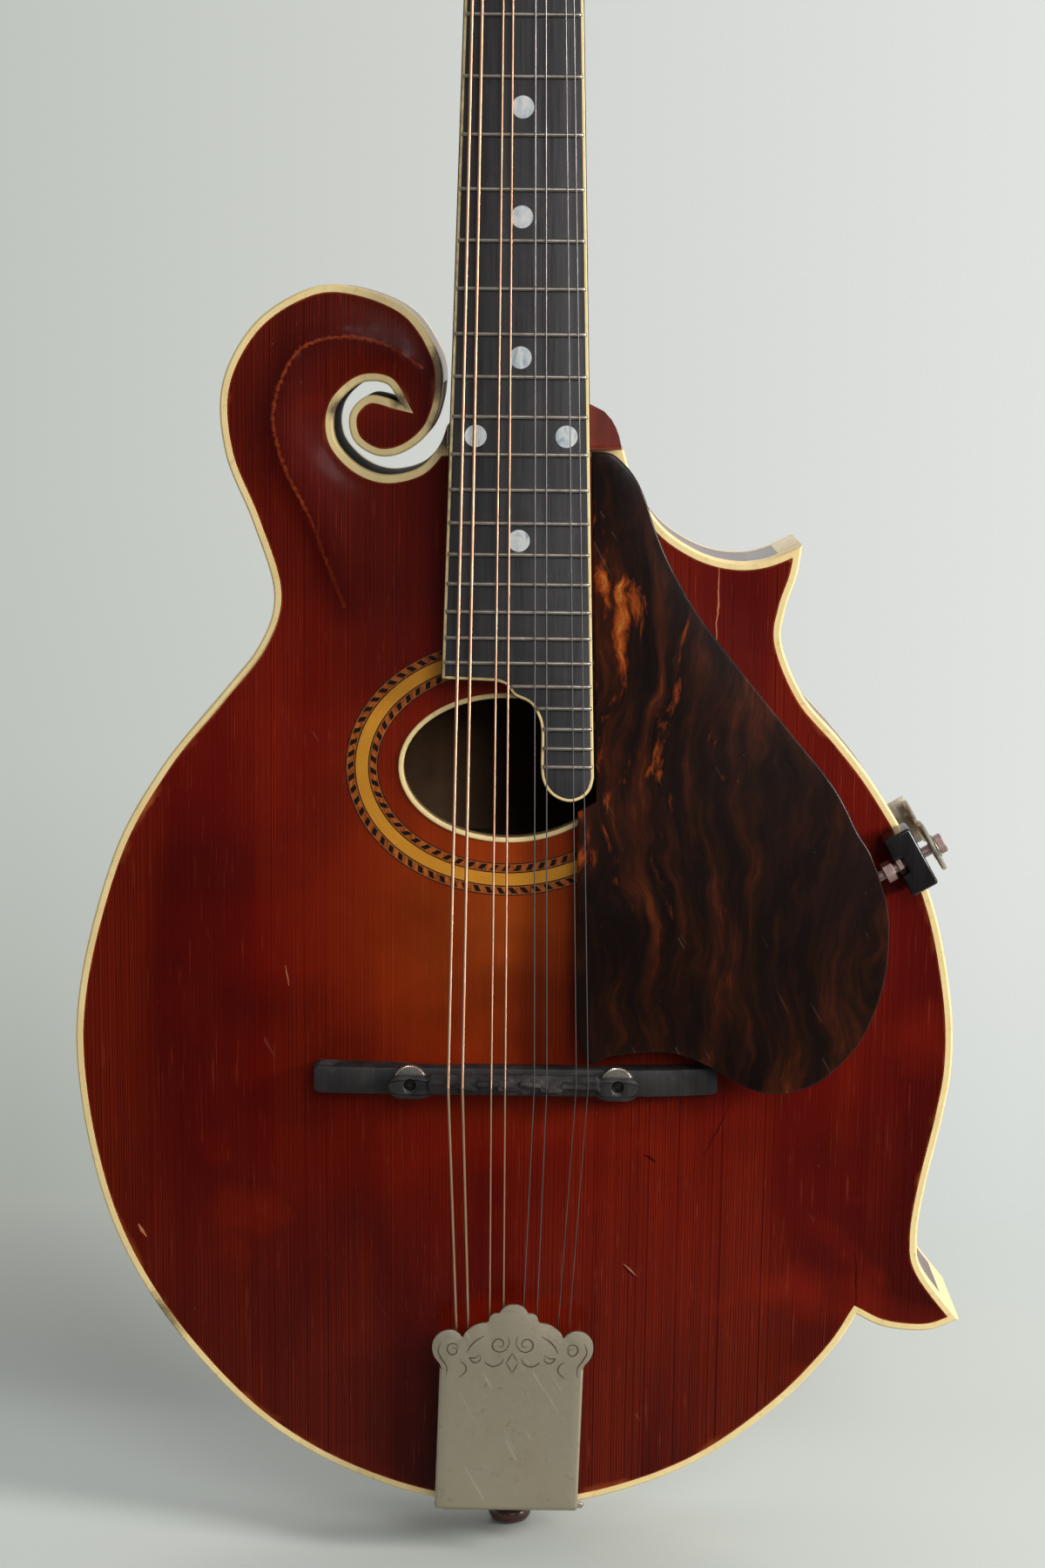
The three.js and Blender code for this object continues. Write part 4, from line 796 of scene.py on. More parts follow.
def top_varnish():
    material, place = start_material(
        "sunburst varnish on spruce", Specular_IOR_Level=0.07, Coat_Weight=0.04, Coat_Roughness=0.1
    )
    burst = use(SUNBURST, "Burst", place)
    colour = ramp(times(burst, 0.66), [
        (0.0, shade(158, 70, 18)), (0.17, shade(150, 54, 10)), (0.3, shade(130, 33, 5)),
        (0.42, shade(108, 12, 4)), (0.56, shade(92, 6, 4)), (0.68, shade(74, 4, 4)),
        (0.84, shade(54, 3, 4)), (1.0, shade(34, 2, 3)),
    ])
    columns = limits(noise(stretch(place, 46, 20, 3), 1, 3, 0.5), 0.36, 0.66)
    colour = blend(times(columns, 0.34), colour, shade(46, 2, 3))
    # Painted reflections: broad random clouds darken the top and lighten it a little, in place of the
    # varnish's dark reflections and soft sheen
    painted_reflection_clouds = noise(stretch(place, 15, 10, 20), 1, 3, 0.5)
    colour = blend(limits(painted_reflection_clouds, 0.5, 0.68, 0, 0.62), colour, shade(40, 2, 3))
    colour = blend(limits(painted_reflection_clouds, 0.44, 0.3, 0, 0.45), colour, shade(150, 30, 8))
    patches = use(MOTTLE, "Patches", stretch(place, 1.5, 1, 0.6), Size=30)
    colour = blend(limits(patches, 0, 1, 0, 0.32), colour, shade(60, 2, 3))
    lines = use(GRAIN, "Lines", place, Line_spacing=0.8, Wander=0.2)
    fibres = use(GRAIN, "Fibres", place, Line_spacing=0.8)
    clear = limits(noise(stretch(place, 34, 20, 5), 1.3, 2), 0.38, 0.62, 0.25, 1)
    light = times(minus(1, lines), times(clear, 0.24))
    colour = blend(light, colour, shade(176, 54, 18))
    dark = times(times_plus(lines, 0.28, times(fibres, 0.16)), clear)
    colour = blend(dark, colour, shade(38, 2, 3))
    glints = limits(noise(stretch(place, 1400, 900, 50), 1, 3), 0.62, 0.72)
    colour = blend(times(glints, 0.1), colour, shade(196, 92, 58))
    rim = stored(place, "rim")
    hairline = limits(times_plus(noise(place, 240, 3, 0.6), 0.9, rim), 0.95, 0.45)
    colour = blend(times(hairline, 0.6), colour, shade(150, 66, 24))
    worn = use(WEAR, "Worn", place, Distance=rim, Width=1.7, Break_up=0.56)
    colour = blend(times(worn, 0.7), colour, shade(158, 78, 36))
    # Darker along the crest line
    crest_darkening = limits(stored(place, "crest"), 7, 1.5, 0, 0.4)
    colour = blend(crest_darkening, colour, shade(48, 3, 4))
    rubbed = times_plus(noise(place, 700, 3, 0.6), 2.2, stored(place, "crest"))
    lasting = limits(noise(place, 70, 3), 0.36, 0.56, 0.2, 0.75)
    crest = times(limits(rubbed, 1.75, 1.2), lasting)
    colour = blend(crest, colour, shade(146, 60, 28))
    bare = stored(place, "bare")
    bare = limits(plus(bare, noise(place, 160, 4, 0.7)), 1.0, 1.16)
    colour = blend(bare, colour, shade(160, 88, 40))
    for start, end, width, mark in TOP_MARKS:
        ends = {"Start": front_place(*start), "End": front_place(*end)}
        crack = use(CRACK, "Crack", place, Width=width * MM, **ends)
        colour = blend(times(crack, 0.8), colour, mark)
    specks = use(SPECKS, "Specks", place, Spacing=8, Size=0.03, Share=0.34)
    colour = blend(times(specks, 0.4), colour, shade(178, 132, 110))
    scratches = use(SCRATCHES, "Scratches", place, Width=0.16, Share=0.34)
    colour = blend(times(scratches, 0.08), colour, shade(190, 130, 110))
    dull = times_plus(worn, 0.25, limits(patches, 0, 1, 0.27, 0.35))
    dull = times_plus(specks, 0.3, dull)
    height = times_plus(lines, -0.5, times(fibres, 0.3))
    height = times_plus(specks, -2, height)
    ripple = noise(stretch(place, 60, 60, 20), 1, 2)
    return dressed(material, colour, dull, times_plus(ripple, 2.2, height), 0.05, 0.5)


def scroll_wall():
    """The dark, dull wall of the scroll's slot, with a few rubbed places."""
    material, place = start_material("dull scroll wall", Specular_IOR_Level=0.12)
    patches = use(MOTTLE, "Patches", place, Size=5)
    colour = blend(patches, shade(26, 19, 17), shade(44, 34, 29))
    rubbed = limits(noise(place, 150, 4, 0.7), 0.62, 0.74)
    colour = blend(times(rubbed, 0.5), colour, shade(104, 96, 90))
    return dressed(material, colour, limits(rubbed, 0, 1, 0.85, 0.6), rubbed, 0.05, 0.4)


def maple_varnish(name, light, dark, flame=0.45):
    material, place = start_material(
        name, Specular_IOR_Level=0.35, Coat_Weight=0.3, Coat_Roughness=0.1
    )
    bands = noise(stretch(place, 26, 40, 210), 1, 2, 0.5, 0.6)
    flames = limits(bands, 0.36, 0.64)
    colour = blend(times(flames, flame), light, dark)
    patches = use(MOTTLE, "Patches", place, Size=45)
    colour = blend(times(patches, 0.4), colour, dark)
    fibres = noise(stretch(place, 420, 420, 60), 1, 3)
    colour = blend(limits(fibres, 0.45, 0.7, 0, 0.3), colour, shade(30, 8, 5))
    specks = use(SPECKS, "Specks", place, Spacing=11, Size=0.035, Share=0.3)
    colour = blend(times(specks, 0.5), colour, shade(150, 96, 66))
    scratches = use(SCRATCHES, "Scratches", place, Width=0.2, Share=0.45)
    colour = blend(times(scratches, 0.2), colour, shade(150, 96, 66))
    # Painted shade: the plates' inner faces are darkened to near black, as the inside of the body lies in
    # shade; they are rougher too, as bare wood
    colour = blend(stored(place, "inner"), colour, blend(fibres, shade(60, 38, 22), shade(34, 20, 12)))
    rough = times_plus(stored(place, "inner"), 0.5, limits(patches, 0, 1, 0.26, 0.38))
    return dressed(material, colour, rough, times_plus(specks, -2, fibres), 0.04, 0.4)


def bare_wood(name, light, dark):
    material, place = start_material(name, Specular_IOR_Level=0.3)
    lines = use(GRAIN, "Lines", place, Line_spacing=1.4)
    fibres = use(GRAIN, "Fibres", place, Line_spacing=1.4)
    patches = use(MOTTLE, "Patches", place, Size=30)
    share = times_plus(lines, 0.4, times(patches, 0.4))
    colour = blend(share, light, dark)
    return dressed(material, colour, limits(fibres, 0.3, 0.7, 0.7, 0.85), fibres, 0.06, 0.5)


def ivoroid(name, light, dark, roughness):
    material, place = start_material(name, Specular_IOR_Level=0.4)
    streaks = noise(stretch(place, 240, 900, 40), 1, 3)
    patches = use(MOTTLE, "Patches", place, Size=18)
    share = times_plus(limits(streaks, 0.4, 0.65), 0.3, times(patches, 0.4))
    colour = blend(share, light, dark)
    grime = limits(noise(place, 420, 3, 0.6), 0.58, 0.72)
    colour = blend(times(grime, 0.3), colour, shade(140, 98, 54))
    # The stored values paint shade as well as dirt: they darken the binding on the fretboard's bass side,
    # down the soundhole's inner wall and round the scroll's slot
    dirt_and_painted_shade = times_plus(noise(place, 300, 4, 0.7), 0.9, stored(place, "grime"))
    dirt_and_painted_shade = limits(dirt_and_painted_shade, 0.62, 1.15, 0, 0.85)
    colour = blend(dirt_and_painted_shade, colour, shade(74, 50, 34))
    rough = limits(streaks, 0.3, 0.7, roughness, roughness + 0.12)
    return dressed(material, colour, rough, streaks, 0.03, 0.4)


def ebony(name, light, dark, roughness, wear=0.3):
    material, place = start_material(name, Specular_IOR_Level=0.4)
    pores = noise(stretch(place, 1500, 900, 45), 1, 3)
    streaks = noise(stretch(place, 260, 200, 9), 1, 3)
    share = limits(streaks, 0.35, 0.65)
    colour = blend(share, dark, light)
    colour = blend(limits(pores, 0.56, 0.68, 0, 0.5), colour, shade(18, 16, 16))
    dust = use(SPECKS, "Specks", place, Spacing=3.4, Size=0.05, Share=0.2)
    colour = blend(times(dust, 0.35), colour, shade(150, 140, 132))
    rubbed = limits(noise(place, 90, 4, 0.65), 0.58, 0.75)
    colour = blend(times(rubbed, wear), colour, shade(104, 96, 92))
    rough = limits(pores, 0.35, 0.65, roughness, roughness + 0.16)
    return dressed(material, colour, rough, times(pores, -1), 0.07, 0.6)


def plated(name, light, dark, roughness, blotch=12, brushed=(1, 1, 1)):
    """Dull metal with tarnish blotches, fine marks and dirt."""
    material, place = start_material(name, Metallic=1.0)
    patches = use(MOTTLE, "Patches", place, Size=blotch)
    marks = noise(stretch(place, *[value * 700 for value in brushed]), 1, 3)
    colour = blend(limits(patches, 0, 1, 0.1, 0.8), light, dark)
    grime = limits(noise(place, 260, 4, 0.7), 0.6, 0.74)
    colour = blend(times(grime, 0.45), colour, shade(84, 72, 56))
    scratches = use(SCRATCHES, "Scratches", place, Width=0.12, Share=0.5)
    colour = blend(times(scratches, 0.3), colour, shade(226, 222, 214))
    rough = times_plus(patches, 0.14, limits(marks, 0.3, 0.7, roughness, roughness + 0.1))
    return dressed(material, colour, times_plus(grime, 0.2, rough), marks, 0.02, 0.4)


def tortoise():
    """Dark celluloid with rust swirls and a few orange flames that follow the flow."""
    material, place = start_material(
        "tortoise celluloid", Specular_IOR_Level=0.1, Coat_Weight=0.1, Coat_Roughness=0.06
    )
    warp = vector("SUBTRACT", noise(place, 24, 3, 0.5, output="Color"), (0.5, 0.5, 0.5))
    bent = vector("MULTIPLY_ADD", warp, (0.03, 0.0, 0.022), place)
    flow = noise(stretch(bent, 150, 20, 24), 1, 6, 0.66)
    swirl = limits(flow, 0.4, 0.7)
    colour = ramp(swirl, [
        (0.0, shade(16, 8, 6)), (0.35, shade(34, 15, 7)), (0.7, shade(60, 24, 9)), (1.0, shade(92, 40, 13)),
    ])
    dark = limits(noise(stretch(bent, 30, 10, 12), 1.3, 3), 0.38, 0.62)
    colour = blend(times(dark, 0.85), colour, shade(22, 12, 9))
    parts = parts_of(place)
    left = limits(parts[0], 0.075, 0.018)
    middle = limits(calc("ABSOLUTE", minus(parts[2], 0.262)), 0.105, 0.03)
    zone = times(left, middle)
    fire = noise(stretch(bent, 125, 30, 36), 1, 5, 0.64)
    fire = limits(times_plus(zone, 0.16, fire), 0.67, 0.86)
    flame = ramp(fire, [
        (0.0, shade(84, 28, 8)), (0.5, shade(158, 70, 18)), (1.0, shade(214, 152, 74)),
    ])
    colour = blend(times(limits(fire, 0, 0.35), zone), colour, flame)
    dust = use(SPECKS, "Specks", place, Spacing=5.2, Size=0.03, Share=0.5)
    colour = blend(times(dust, 0.5), colour, shade(150, 134, 122))
    scratches = use(SCRATCHES, "Scratches", place, Width=0.12, Share=0.42)
    colour = blend(times(scratches, 0.09), colour, shade(150, 120, 104))
    rough = times_plus(scratches, 0.2, limits(flow, 0.3, 0.7, 0.2, 0.28))
    return dressed(material, colour, rough, noise(place, 40, 2), 0.12, 0.25)


def rope(name, lean):
    """Rope inlay: dark slanted blocks in orange wood, laid along the strip."""
    material, place = start_material(name, Specular_IOR_Level=0.12, Coat_Weight=0.05)
    uv = add("UVMap", beside=place, uv_map="UVMap").outputs[0]
    parts = parts_of(uv)
    along = times_plus(parts[1], lean, parts[0])
    step = calc("FRACT", along)
    block = calc("LESS_THAN", step, 0.46)
    middle = calc("LESS_THAN", calc("ABSOLUTE", minus(parts[1], 0.5)), 0.38)
    dark = times(block, middle)
    fibres = noise(stretch(place, 1500, 900, 300), 1, 3)
    wood = blend(limits(fibres, 0.35, 0.65), shade(176, 92, 30), shade(118, 52, 15))
    colour = blend(dark, wood, shade(26, 14, 10))
    pale = calc("GREATER_THAN", calc("ABSOLUTE", minus(parts[1], 0.5)), 0.44)
    colour = blend(times(pale, 0.35), colour, shade(150, 112, 78))
    return dressed(material, colour, limits(fibres, 0.3, 0.7, 0.34, 0.46), fibres, 0.03, 0.4)


def inlay_wood(name, light, dark):
    material, place = start_material(name, Specular_IOR_Level=0.12, Coat_Weight=0.05)
    uv = add("UVMap", beside=place, uv_map="UVMap").outputs[0]
    streaks = noise(stretch(uv, 0.4, 14, 1), 1, 3)
    patches = use(MOTTLE, "Patches", place, Size=14)
    share = times_plus(limits(streaks, 0.35, 0.65), 0.45, times(patches, 0.4))
    rough = limits(streaks, 0.3, 0.7, 0.32, 0.44)
    return dressed(material, blend(share, light, dark), rough, streaks, 0.02, 0.4)


def pearl():
    material, place = start_material(
        "pearl dots", Specular_IOR_Level=0.5, Coat_Weight=0.3, Coat_Roughness=0.1
    )
    layers = noise(stretch(place, 260, 200, 120), 1, 3, 0.5, 1.4)
    colour = ramp(layers, [
        (0.3, shade(140, 154, 164)), (0.45, shade(184, 192, 194)), (0.6, shade(206, 206, 200)),
        (0.72, shade(158, 172, 178)),
    ])
    return dressed(material, colour, limits(layers, 0.3, 0.7, 0.22, 0.36), layers, 0.02, 0.3)


def string_wire(name, light, dark, wound):
    material, place = start_material(name, Metallic=1.0)
    parts = parts_of(place)
    turns = calc("SINE", times(parts[2], 25000.0 if wound else 3000.0))
    patches = use(MOTTLE, "Patches", place, Size=9)
    colour = blend(times(patches, 0.5), light, dark)
    share = limits(turns, -1, 1, 0, 0.25 if wound else 0.05)
    colour = blend(share, colour, dark)
    # Painted shade: the colour darkens where the wire turns away from the view, which leaves a painted
    # highlight along its middle
    painted_side_shade = add("LayerWeight", {"Blend": 0.5}, beside=place).outputs["Facing"]
    colour = blend(limits(painted_side_shade, 0.1, 0.42, 0, 0.9), colour, shade(48, 30, 24))
    rough = limits(patches, 0, 1, 0.3, 0.42)
    return dressed(material, colour, rough, turns, 0.03 if wound else 0.004, 0.4)


def paper():
    """Aged paper, with a painted shadow that darkens it towards one side."""
    material, place = start_material("bare label paper", Specular_IOR_Level=0.2)
    patches = use(MOTTLE, "Patches", place, Size=16)
    colour = blend(patches, shade(126, 96, 68), shade(92, 66, 46))
    foxing = limits(noise(place, 220, 4, 0.7), 0.6, 0.72)
    colour = blend(times(foxing, 0.4), colour, shade(96, 66, 40))
    # Painted shadow: beyond one side the label darkens to near black, as if shade inside the body fell on it
    along = parts_of(place)[0]
    painted_shadow = times_plus(noise(place, 60, 3), 0.012, along)
    colour = blend(limits(painted_shadow, -0.018, 0.001, 0, 0.9), colour, shade(26, 17, 12))
    fibres = noise(place, 1400, 3)
    return dressed(material, colour, limits(fibres, 0.3, 0.7, 0.8, 0.92), fibres, 0.03, 0.4)


def stained_wood():
    material, place = start_material(
        "stained turned wood", Specular_IOR_Level=0.45, Coat_Weight=0.4, Coat_Roughness=0.15
    )
    rings = noise(stretch(place, 180, 180, 700), 1, 3)
    colour = blend(limits(rings, 0.35, 0.65), shade(44, 16, 10), shade(92, 40, 24))
    patches = use(MOTTLE, "Patches", place, Size=6)
    colour = blend(times(patches, 0.4), colour, shade(24, 10, 8))
    return dressed(material, colour, limits(rings, 0.3, 0.7, 0.28, 0.4), rings, 0.04, 0.4)


def bone():
    material, place = start_material("aged bone", Specular_IOR_Level=0.45)
    pores = noise(stretch(place, 150, 600, 600), 1, 3)
    patches = use(MOTTLE, "Patches", place, Size=7)
    colour = blend(patches, shade(226, 212, 178), shade(204, 182, 138))
    colour = blend(limits(pores, 0.6, 0.7, 0, 0.3), colour, shade(140, 112, 74))
    return dressed(material, colour, limits(pores, 0.3, 0.7, 0.36, 0.48), pores, 0.03, 0.4)


DARK_MARK = shade(24, 2, 3)
PALE_MARK = shade(188, 118, 84)
TOP_MARKS = [
    ((63.7, 140.7), (56.1, 125.5), 0.3, DARK_MARK),
    ((102.2, 94.2), (102.8, 74.3), 0.35, DARK_MARK),
    ((57.5, 298.5), (56.8, 276), 0.3, PALE_MARK),
    ((38.6, 125.5), (41.7, 123.3), 0.6, DARK_MARK),
    ((33, 91), (36.2, 87.3), 0.5, DARK_MARK),
    ((33.3, 91.4), (36.6, 87.8), 0.3, PALE_MARK),
    ((-111.6, 100.1), (-109.5, 96.1), 0.6, PALE_MARK),
    ((-66.9, 181), (-66.2, 175), 0.25, PALE_MARK),
]
TOP = top_varnish()
MAPLE = maple_varnish("dark maple varnish", shade(98, 30, 16), shade(52, 12, 8))
NECK_WOOD = maple_varnish("red-brown neck varnish", shade(104, 36, 20), shade(60, 18, 11), 0.3)
BARE = bare_wood("bare inside wood", shade(150, 112, 70), shade(104, 74, 44))
BINDING = ivoroid("aged ivoroid binding", shade(232, 208, 150), shade(210, 182, 120), 0.36)
BUTTON = ivoroid("polished ivoroid buttons", shade(236, 222, 184), shade(214, 192, 146), 0.22)
BOARD_EBONY = ebony("fretboard ebony", shade(50, 48, 50), shade(33, 31, 33), 0.55, 0.12)
BRIDGE_EBONY = ebony("worn dyed bridge wood", shade(40, 35, 34), shade(22, 19, 19), 0.5, 0.45)
HEAD_BLACK = ebony("black headstock face", shade(34, 30, 30), shade(22, 19, 19), 0.24, 0.12)
FRET_METAL = plated("worn fret wire", shade(186, 178, 166), shade(128, 118, 108), 0.26, 5)
WHEEL_METAL = plated("bright knurled wheel", shade(232, 224, 212), shade(178, 168, 152), 0.2, 4)
COVER_METAL = plated("dull plated cover", shade(184, 174, 154), shade(162, 152, 130), 0.42, 22, (0.5, 1, 3))
NICKEL = plated("tarnished nickel plate", shade(190, 182, 168), shade(138, 126, 108), 0.3, 9)
ROD_METAL = plated("pinkish nut metal", shade(176, 150, 144), shade(120, 94, 88), 0.34, 4)
TORTOISE = tortoise()
WOUND = string_wire("wound copper string", shade(244, 196, 162), shade(190, 132, 98), True)
PLAIN = string_wire("plain steel string", shade(150, 144, 142), shade(98, 92, 90), False)
PAPER = paper()
PIN_WOOD = stained_wood()
BONE = bone()
PEARL = pearl()
OUTER_ROPE = rope("outer rope inlay", 0.45)
INNER_ROPE = rope("inner rope inlay", -0.45)
BAND = inlay_wood("amber inlay band", shade(204, 142, 44), shade(180, 112, 30))
DARK_LINE = inlay_wood("dark inlay line", shade(44, 24, 14), shade(24, 14, 10))
BACK = maple_varnish("dark maple back", shade(104, 32, 16), shade(48, 11, 8), 0.6)
SLOT_WALL = scroll_wall()
DARK_EDGE = inlay_wood("dark line beside the binding", shade(48, 34, 22), shade(30, 20, 14))
# Dark steel for the bridge posts, darkened further as painted shade, so that their tops read as dark sockets
# in the saddle
SOCKET_SHADED_STEEL = plated("dark post steel", shade(74, 68, 64), shade(36, 32, 30), 0.3, 3)
CLAMP_BLACK = ebony("glossy black clamp block", shade(22, 18, 18), shade(12, 10, 11), 0.12, 0.06)
ENGRAVING = plated("tarnish in the engraving", shade(112, 103, 88), shade(84, 76, 62), 0.55, 3)


# Camera, lamps and stage
CAMERA_PLACE = (8.327, -837.736, 374.868)
CAMERA_RIGHT = (0.999906, 0.009870, 0.009527)
CAMERA_UP = (-0.011056, 0.168735, 0.985600)
CAMERA_LENS = 65.7
SWEEP_START = 80
SWEEP_RADIUS = 80
SWEEP_HEIGHT = 2600
SWEEP_HALF_WIDTH = 1700
FLOOR_FRONT = -1300
LAMPS = [
    ("key lamp", (1400, -560, 700), 420, 31, (1, 0.985, 0.96)),
    ("fill lamp", (450, -1250, 850), 700, 8, (0.97, 0.98, 1)),
    ("back lamp", (300, 1500, 900), 1200, 14, (1, 1, 1)),
]
ROOM_LEVELS = (0.25, 0.6)


def set_camera():
    data = bpy.data.cameras.new("camera")
    data.lens = CAMERA_LENS
    data.clip_start = 0.02
    camera = bpy.data.objects.new("camera", data)
    right, up = Vector(CAMERA_RIGHT), Vector(CAMERA_UP)
    turn = Matrix((right, up, right.cross(up))).transposed().to_4x4()
    camera.matrix_world = Matrix.Translation(Vector(CAMERA_PLACE) * MM) @ turn
    bpy.context.scene.collection.objects.link(camera)
    bpy.context.scene.camera = camera


def set_lamps():
    for name, place, size, power, colour in LAMPS:
        data = bpy.data.lights.new(name, "AREA")
        data.shape = "DISK"
        data.size = size * MM
        data.energy = power
        data.color = colour
        lamp = bpy.data.objects.new(name, data)
        lamp.location = Vector(place) * MM
        aim = Vector((0, 0, 250)) - Vector(place)
        lamp.rotation_euler = aim.to_track_quat("-Z", "Y").to_euler()
        bpy.context.scene.collection.objects.link(lamp)
    world = bpy.data.worlds.new("plain room")
    world.use_nodes = True
    tree = world.node_tree
    heading = tree.nodes.new("ShaderNodeTexCoord").outputs["Generated"]
    parts = parts_of(heading)
    background = tree.nodes["Background"]
    background.inputs["Color"].default_value = (0.95, 0.97, 1, 1)
    tree.links.new(limits(parts[1], -0.9, 0.2, *ROOM_LEVELS), background.inputs["Strength"])
    bpy.context.scene.world = world
    bpy.context.scene.view_settings.view_transform = "Standard"


def sweep_paper():
    """Pale paper: lit by the lamps on the floor; where it stands up it shows a set colour that the lamps
    don't change, with painted shade that darkens it to the left and a painted shadow low on the left.
    """
    material, place = start_material("pale paper sweep", Roughness=0.9, Specular_IOR_Level=0.2)
    parts = parts_of(place)
    high = limits(parts[2], 0, 0.3)
    # Painted shade and shadow: the standing paper is darker to the left, and darker still low on the left,
    # where the instrument's shadow falls
    left = ramp(high, [
        (0, shade(156, 159, 152)), (0.25, shade(168, 173, 166)), (0.47, shade(182, 187, 180)),
        (0.7, shade(191, 196, 190)), (1, shade(194, 198, 192)),
    ])
    right = ramp(high, [(0, shade(210, 215, 210)), (0.3, shade(219, 223, 220)), (0.6, shade(226, 228, 225))])
    wall = blend(limits(parts[0], -0.18, 0.18), left, right)
    fibres = noise(place, 900, 3)
    wall = blend(limits(fibres, 0.3, 0.7, 0, 0.04), wall, shade(140, 144, 138))
    floor = blend(limits(fibres, 0.3, 0.7, 0, 0.1), shade(182, 186, 180), shade(172, 175, 169))
    rays = add("LightPath", beside=place).outputs
    # Painted shade: to all but camera rays the floor in front is dark, so the object reflects a dark floor
    # there and takes its bounce light from it
    nearer = limits(parts[1], -0.08, -0.3, 0, 0.85)
    floor_shade_for_reflections = times(nearer, minus(1, rays["Is Camera Ray"]))
    floor = blend(floor_shade_for_reflections, floor, shade(30, 31, 30))
    dressed(material, floor, None, fibres, 0.05, 0.2)
    nodes = material.node_tree.nodes
    glow = add("Emission", {"Color": wall})
    clear = add("BsdfTransparent", beside=place)
    seen = calc("MAXIMUM", rays["Is Camera Ray"], rays["Is Glossy Ray"])
    seen = calc("MAXIMUM", seen, rays["Is Transmission Ray"])
    standing = add("MixShader", {0: seen, 1: clear.outputs[0], 2: glow.outputs[0]})
    shown = add("MixShader", {
        0: limits(parts[2], 0.001, 0.05), 1: nodes["Principled BSDF"].outputs[0], 2: standing.outputs[0],
    })
    behind = add("NewGeometry", beside=place).outputs["Backfacing"]
    final = add("MixShader", {0: behind, 1: shown.outputs[0], 2: clear.outputs[0]})
    material.node_tree.links.new(final.outputs[0], nodes["Material Output"].inputs["Surface"])
    return material


def sweep():
    profile = [(FLOOR_FRONT, 0), (-300, 0), (-60, 0), (SWEEP_START - 30, 0)]
    for i in range(13):
        angle = i * math.pi / 24
        profile.append((
            SWEEP_START + SWEEP_RADIUS * math.sin(angle), SWEEP_RADIUS * (1 - math.cos(angle)),
        ))
    profile.append((SWEEP_START + SWEEP_RADIUS, SWEEP_HEIGHT))
    points = [
        (side * SWEEP_HALF_WIDTH * MM, y * MM, z * MM) for y, z in profile for side in (-1, 1)
    ]
    faces = [(2 * i, 2 * i + 1, 2 * i + 3, 2 * i + 2) for i in range(len(profile) - 1)]
    mesh = bpy.data.meshes.new("sweep")
    mesh.from_pydata(points, [], faces)
    mesh.shade_smooth()
    placed("sweep", mesh, sweep_paper())


set_camera()
set_lamps()
sweep()


# Body
PLATE_GRID = 3.0
CREST_OFFSETS = (-3.6, -2.2, -1, 1, 2.2, 3.6)
PLATE_RINGS = (3.2, 5)
BARE_PATCHES = [((-38, 17), (9, 5)), ((-100, 58), (10, 4)), ((88, 47), (7, 3))]
BINDING_PROFILE = [
    (0, BINDING_DEPTH), (0, 0.7), (0.07, 0.25), (0.25, -0.05), (0.97, -0.09), (1, 0.05),
    (1, BINDING_DEPTH),
]
# The slot round the scroll's eye has dark walls; the block's outside is varnished
SCROLL_EYE = (-40.3, 339.5)
SLOT_REACH = 21
# Places and reaches where the body's binding is darkened: dirt, and painted shade in the dark corners round
# the scroll's slot
GRIMY_SHADED_PLACES = [((-21, 336), 9), ((-23.5, 352), 12), ((-34, 344), 5), ((-52, 342), 5), ((-108, 70), 14)]
SEAM = 0.02
RIB_EDGE = HALF_DEPTH - BINDING_DEPTH - SEAM
HOLE_POINTS = 160
TIPS = [
    (SHOULDER_SHARES[-1][0] * BODY_WIDTH, BODY_BOTTOM + SHOULDER_SHARES[-1][1] * BODY_LENGTH),
    (HOOK_SHARES[0][0] * BODY_WIDTH, BODY_BOTTOM + HOOK_SHARES[0][1] * BODY_LENGTH),
]


def offset_line(line, distance):
    line = np.array(line)
    run = np.gradient(line, axis=0)
    run /= np.linalg.norm(run, axis=1)[:, None]
    return line + np.stack([-run[:, 1], run[:, 0]], 1) * distance


def plate_cover(outline, hole):
    """Points and triangles over a plate, closer together at its edge and along the crest."""
    points, edges = [], []
    for loop in [outline, hole] if hole else [outline]:
        start, count = len(points), len(loop)
        points += list(loop)
        edges += [(start + i, start + (i + 1) % count) for i in range(count)]
    start = len(points)
    points += list(crest_line)
    edges += [(start + i, start + i + 1) for i in range(len(crest_line) - 1)]
    rings = [point for distance in PLATE_RINGS for point in inset(body_outline, distance)]
    rings += [point for distance in CREST_OFFSETS for point in offset_line(crest_line[::2], distance)]
    rows = np.arange(BODY_BOTTOM, BODY_BOTTOM + BODY_LENGTH, PLATE_GRID * 0.87)
    half = BODY_WIDTH / 2 + 6
    for number, z in enumerate(rows):
        shift = PLATE_GRID / 2 * (number % 2)
        rings += [(x, z) for x in np.arange(-half + shift, half, PLATE_GRID)]
    loose = np.array(rings)
    good = inside(loose, body_outline)
    good &= segment_distance(loose, body_outline)[0] > BINDING_WIDTH + 0.8
    if hole:
        grown = ellipse(HOLE_CENTRE, shrunk(HOLE_HALVES, -0.6), 96)
        good &= ~inside(loose, grown)
    points += list(loose[good])
    covered = delaunay_2d_cdt([Vector(point) for point in points], edges, [], 0, 1e-3)
    points = np.array([tuple(point) for point in covered[0]])
    triangles = np.array(covered[2])
    centres = points[triangles].mean(1)
    wanted = inside(centres, outline)
    if hole:
        wanted &= ~inside(centres, hole)
    return points, triangles[wanted]


def edge_pairs(triangles):
    """The edges that only one triangle uses, in that triangle's order."""
    pairs = np.concatenate([triangles[:, [0, 1]], triangles[:, [1, 2]], triangles[:, [2, 0]]])
    keys = {}
    for a, b in pairs.tolist():
        keys[(min(a, b), max(a, b))] = None if (min(a, b), max(a, b)) in keys else (a, b)
    return [pair for pair in keys.values() if pair]


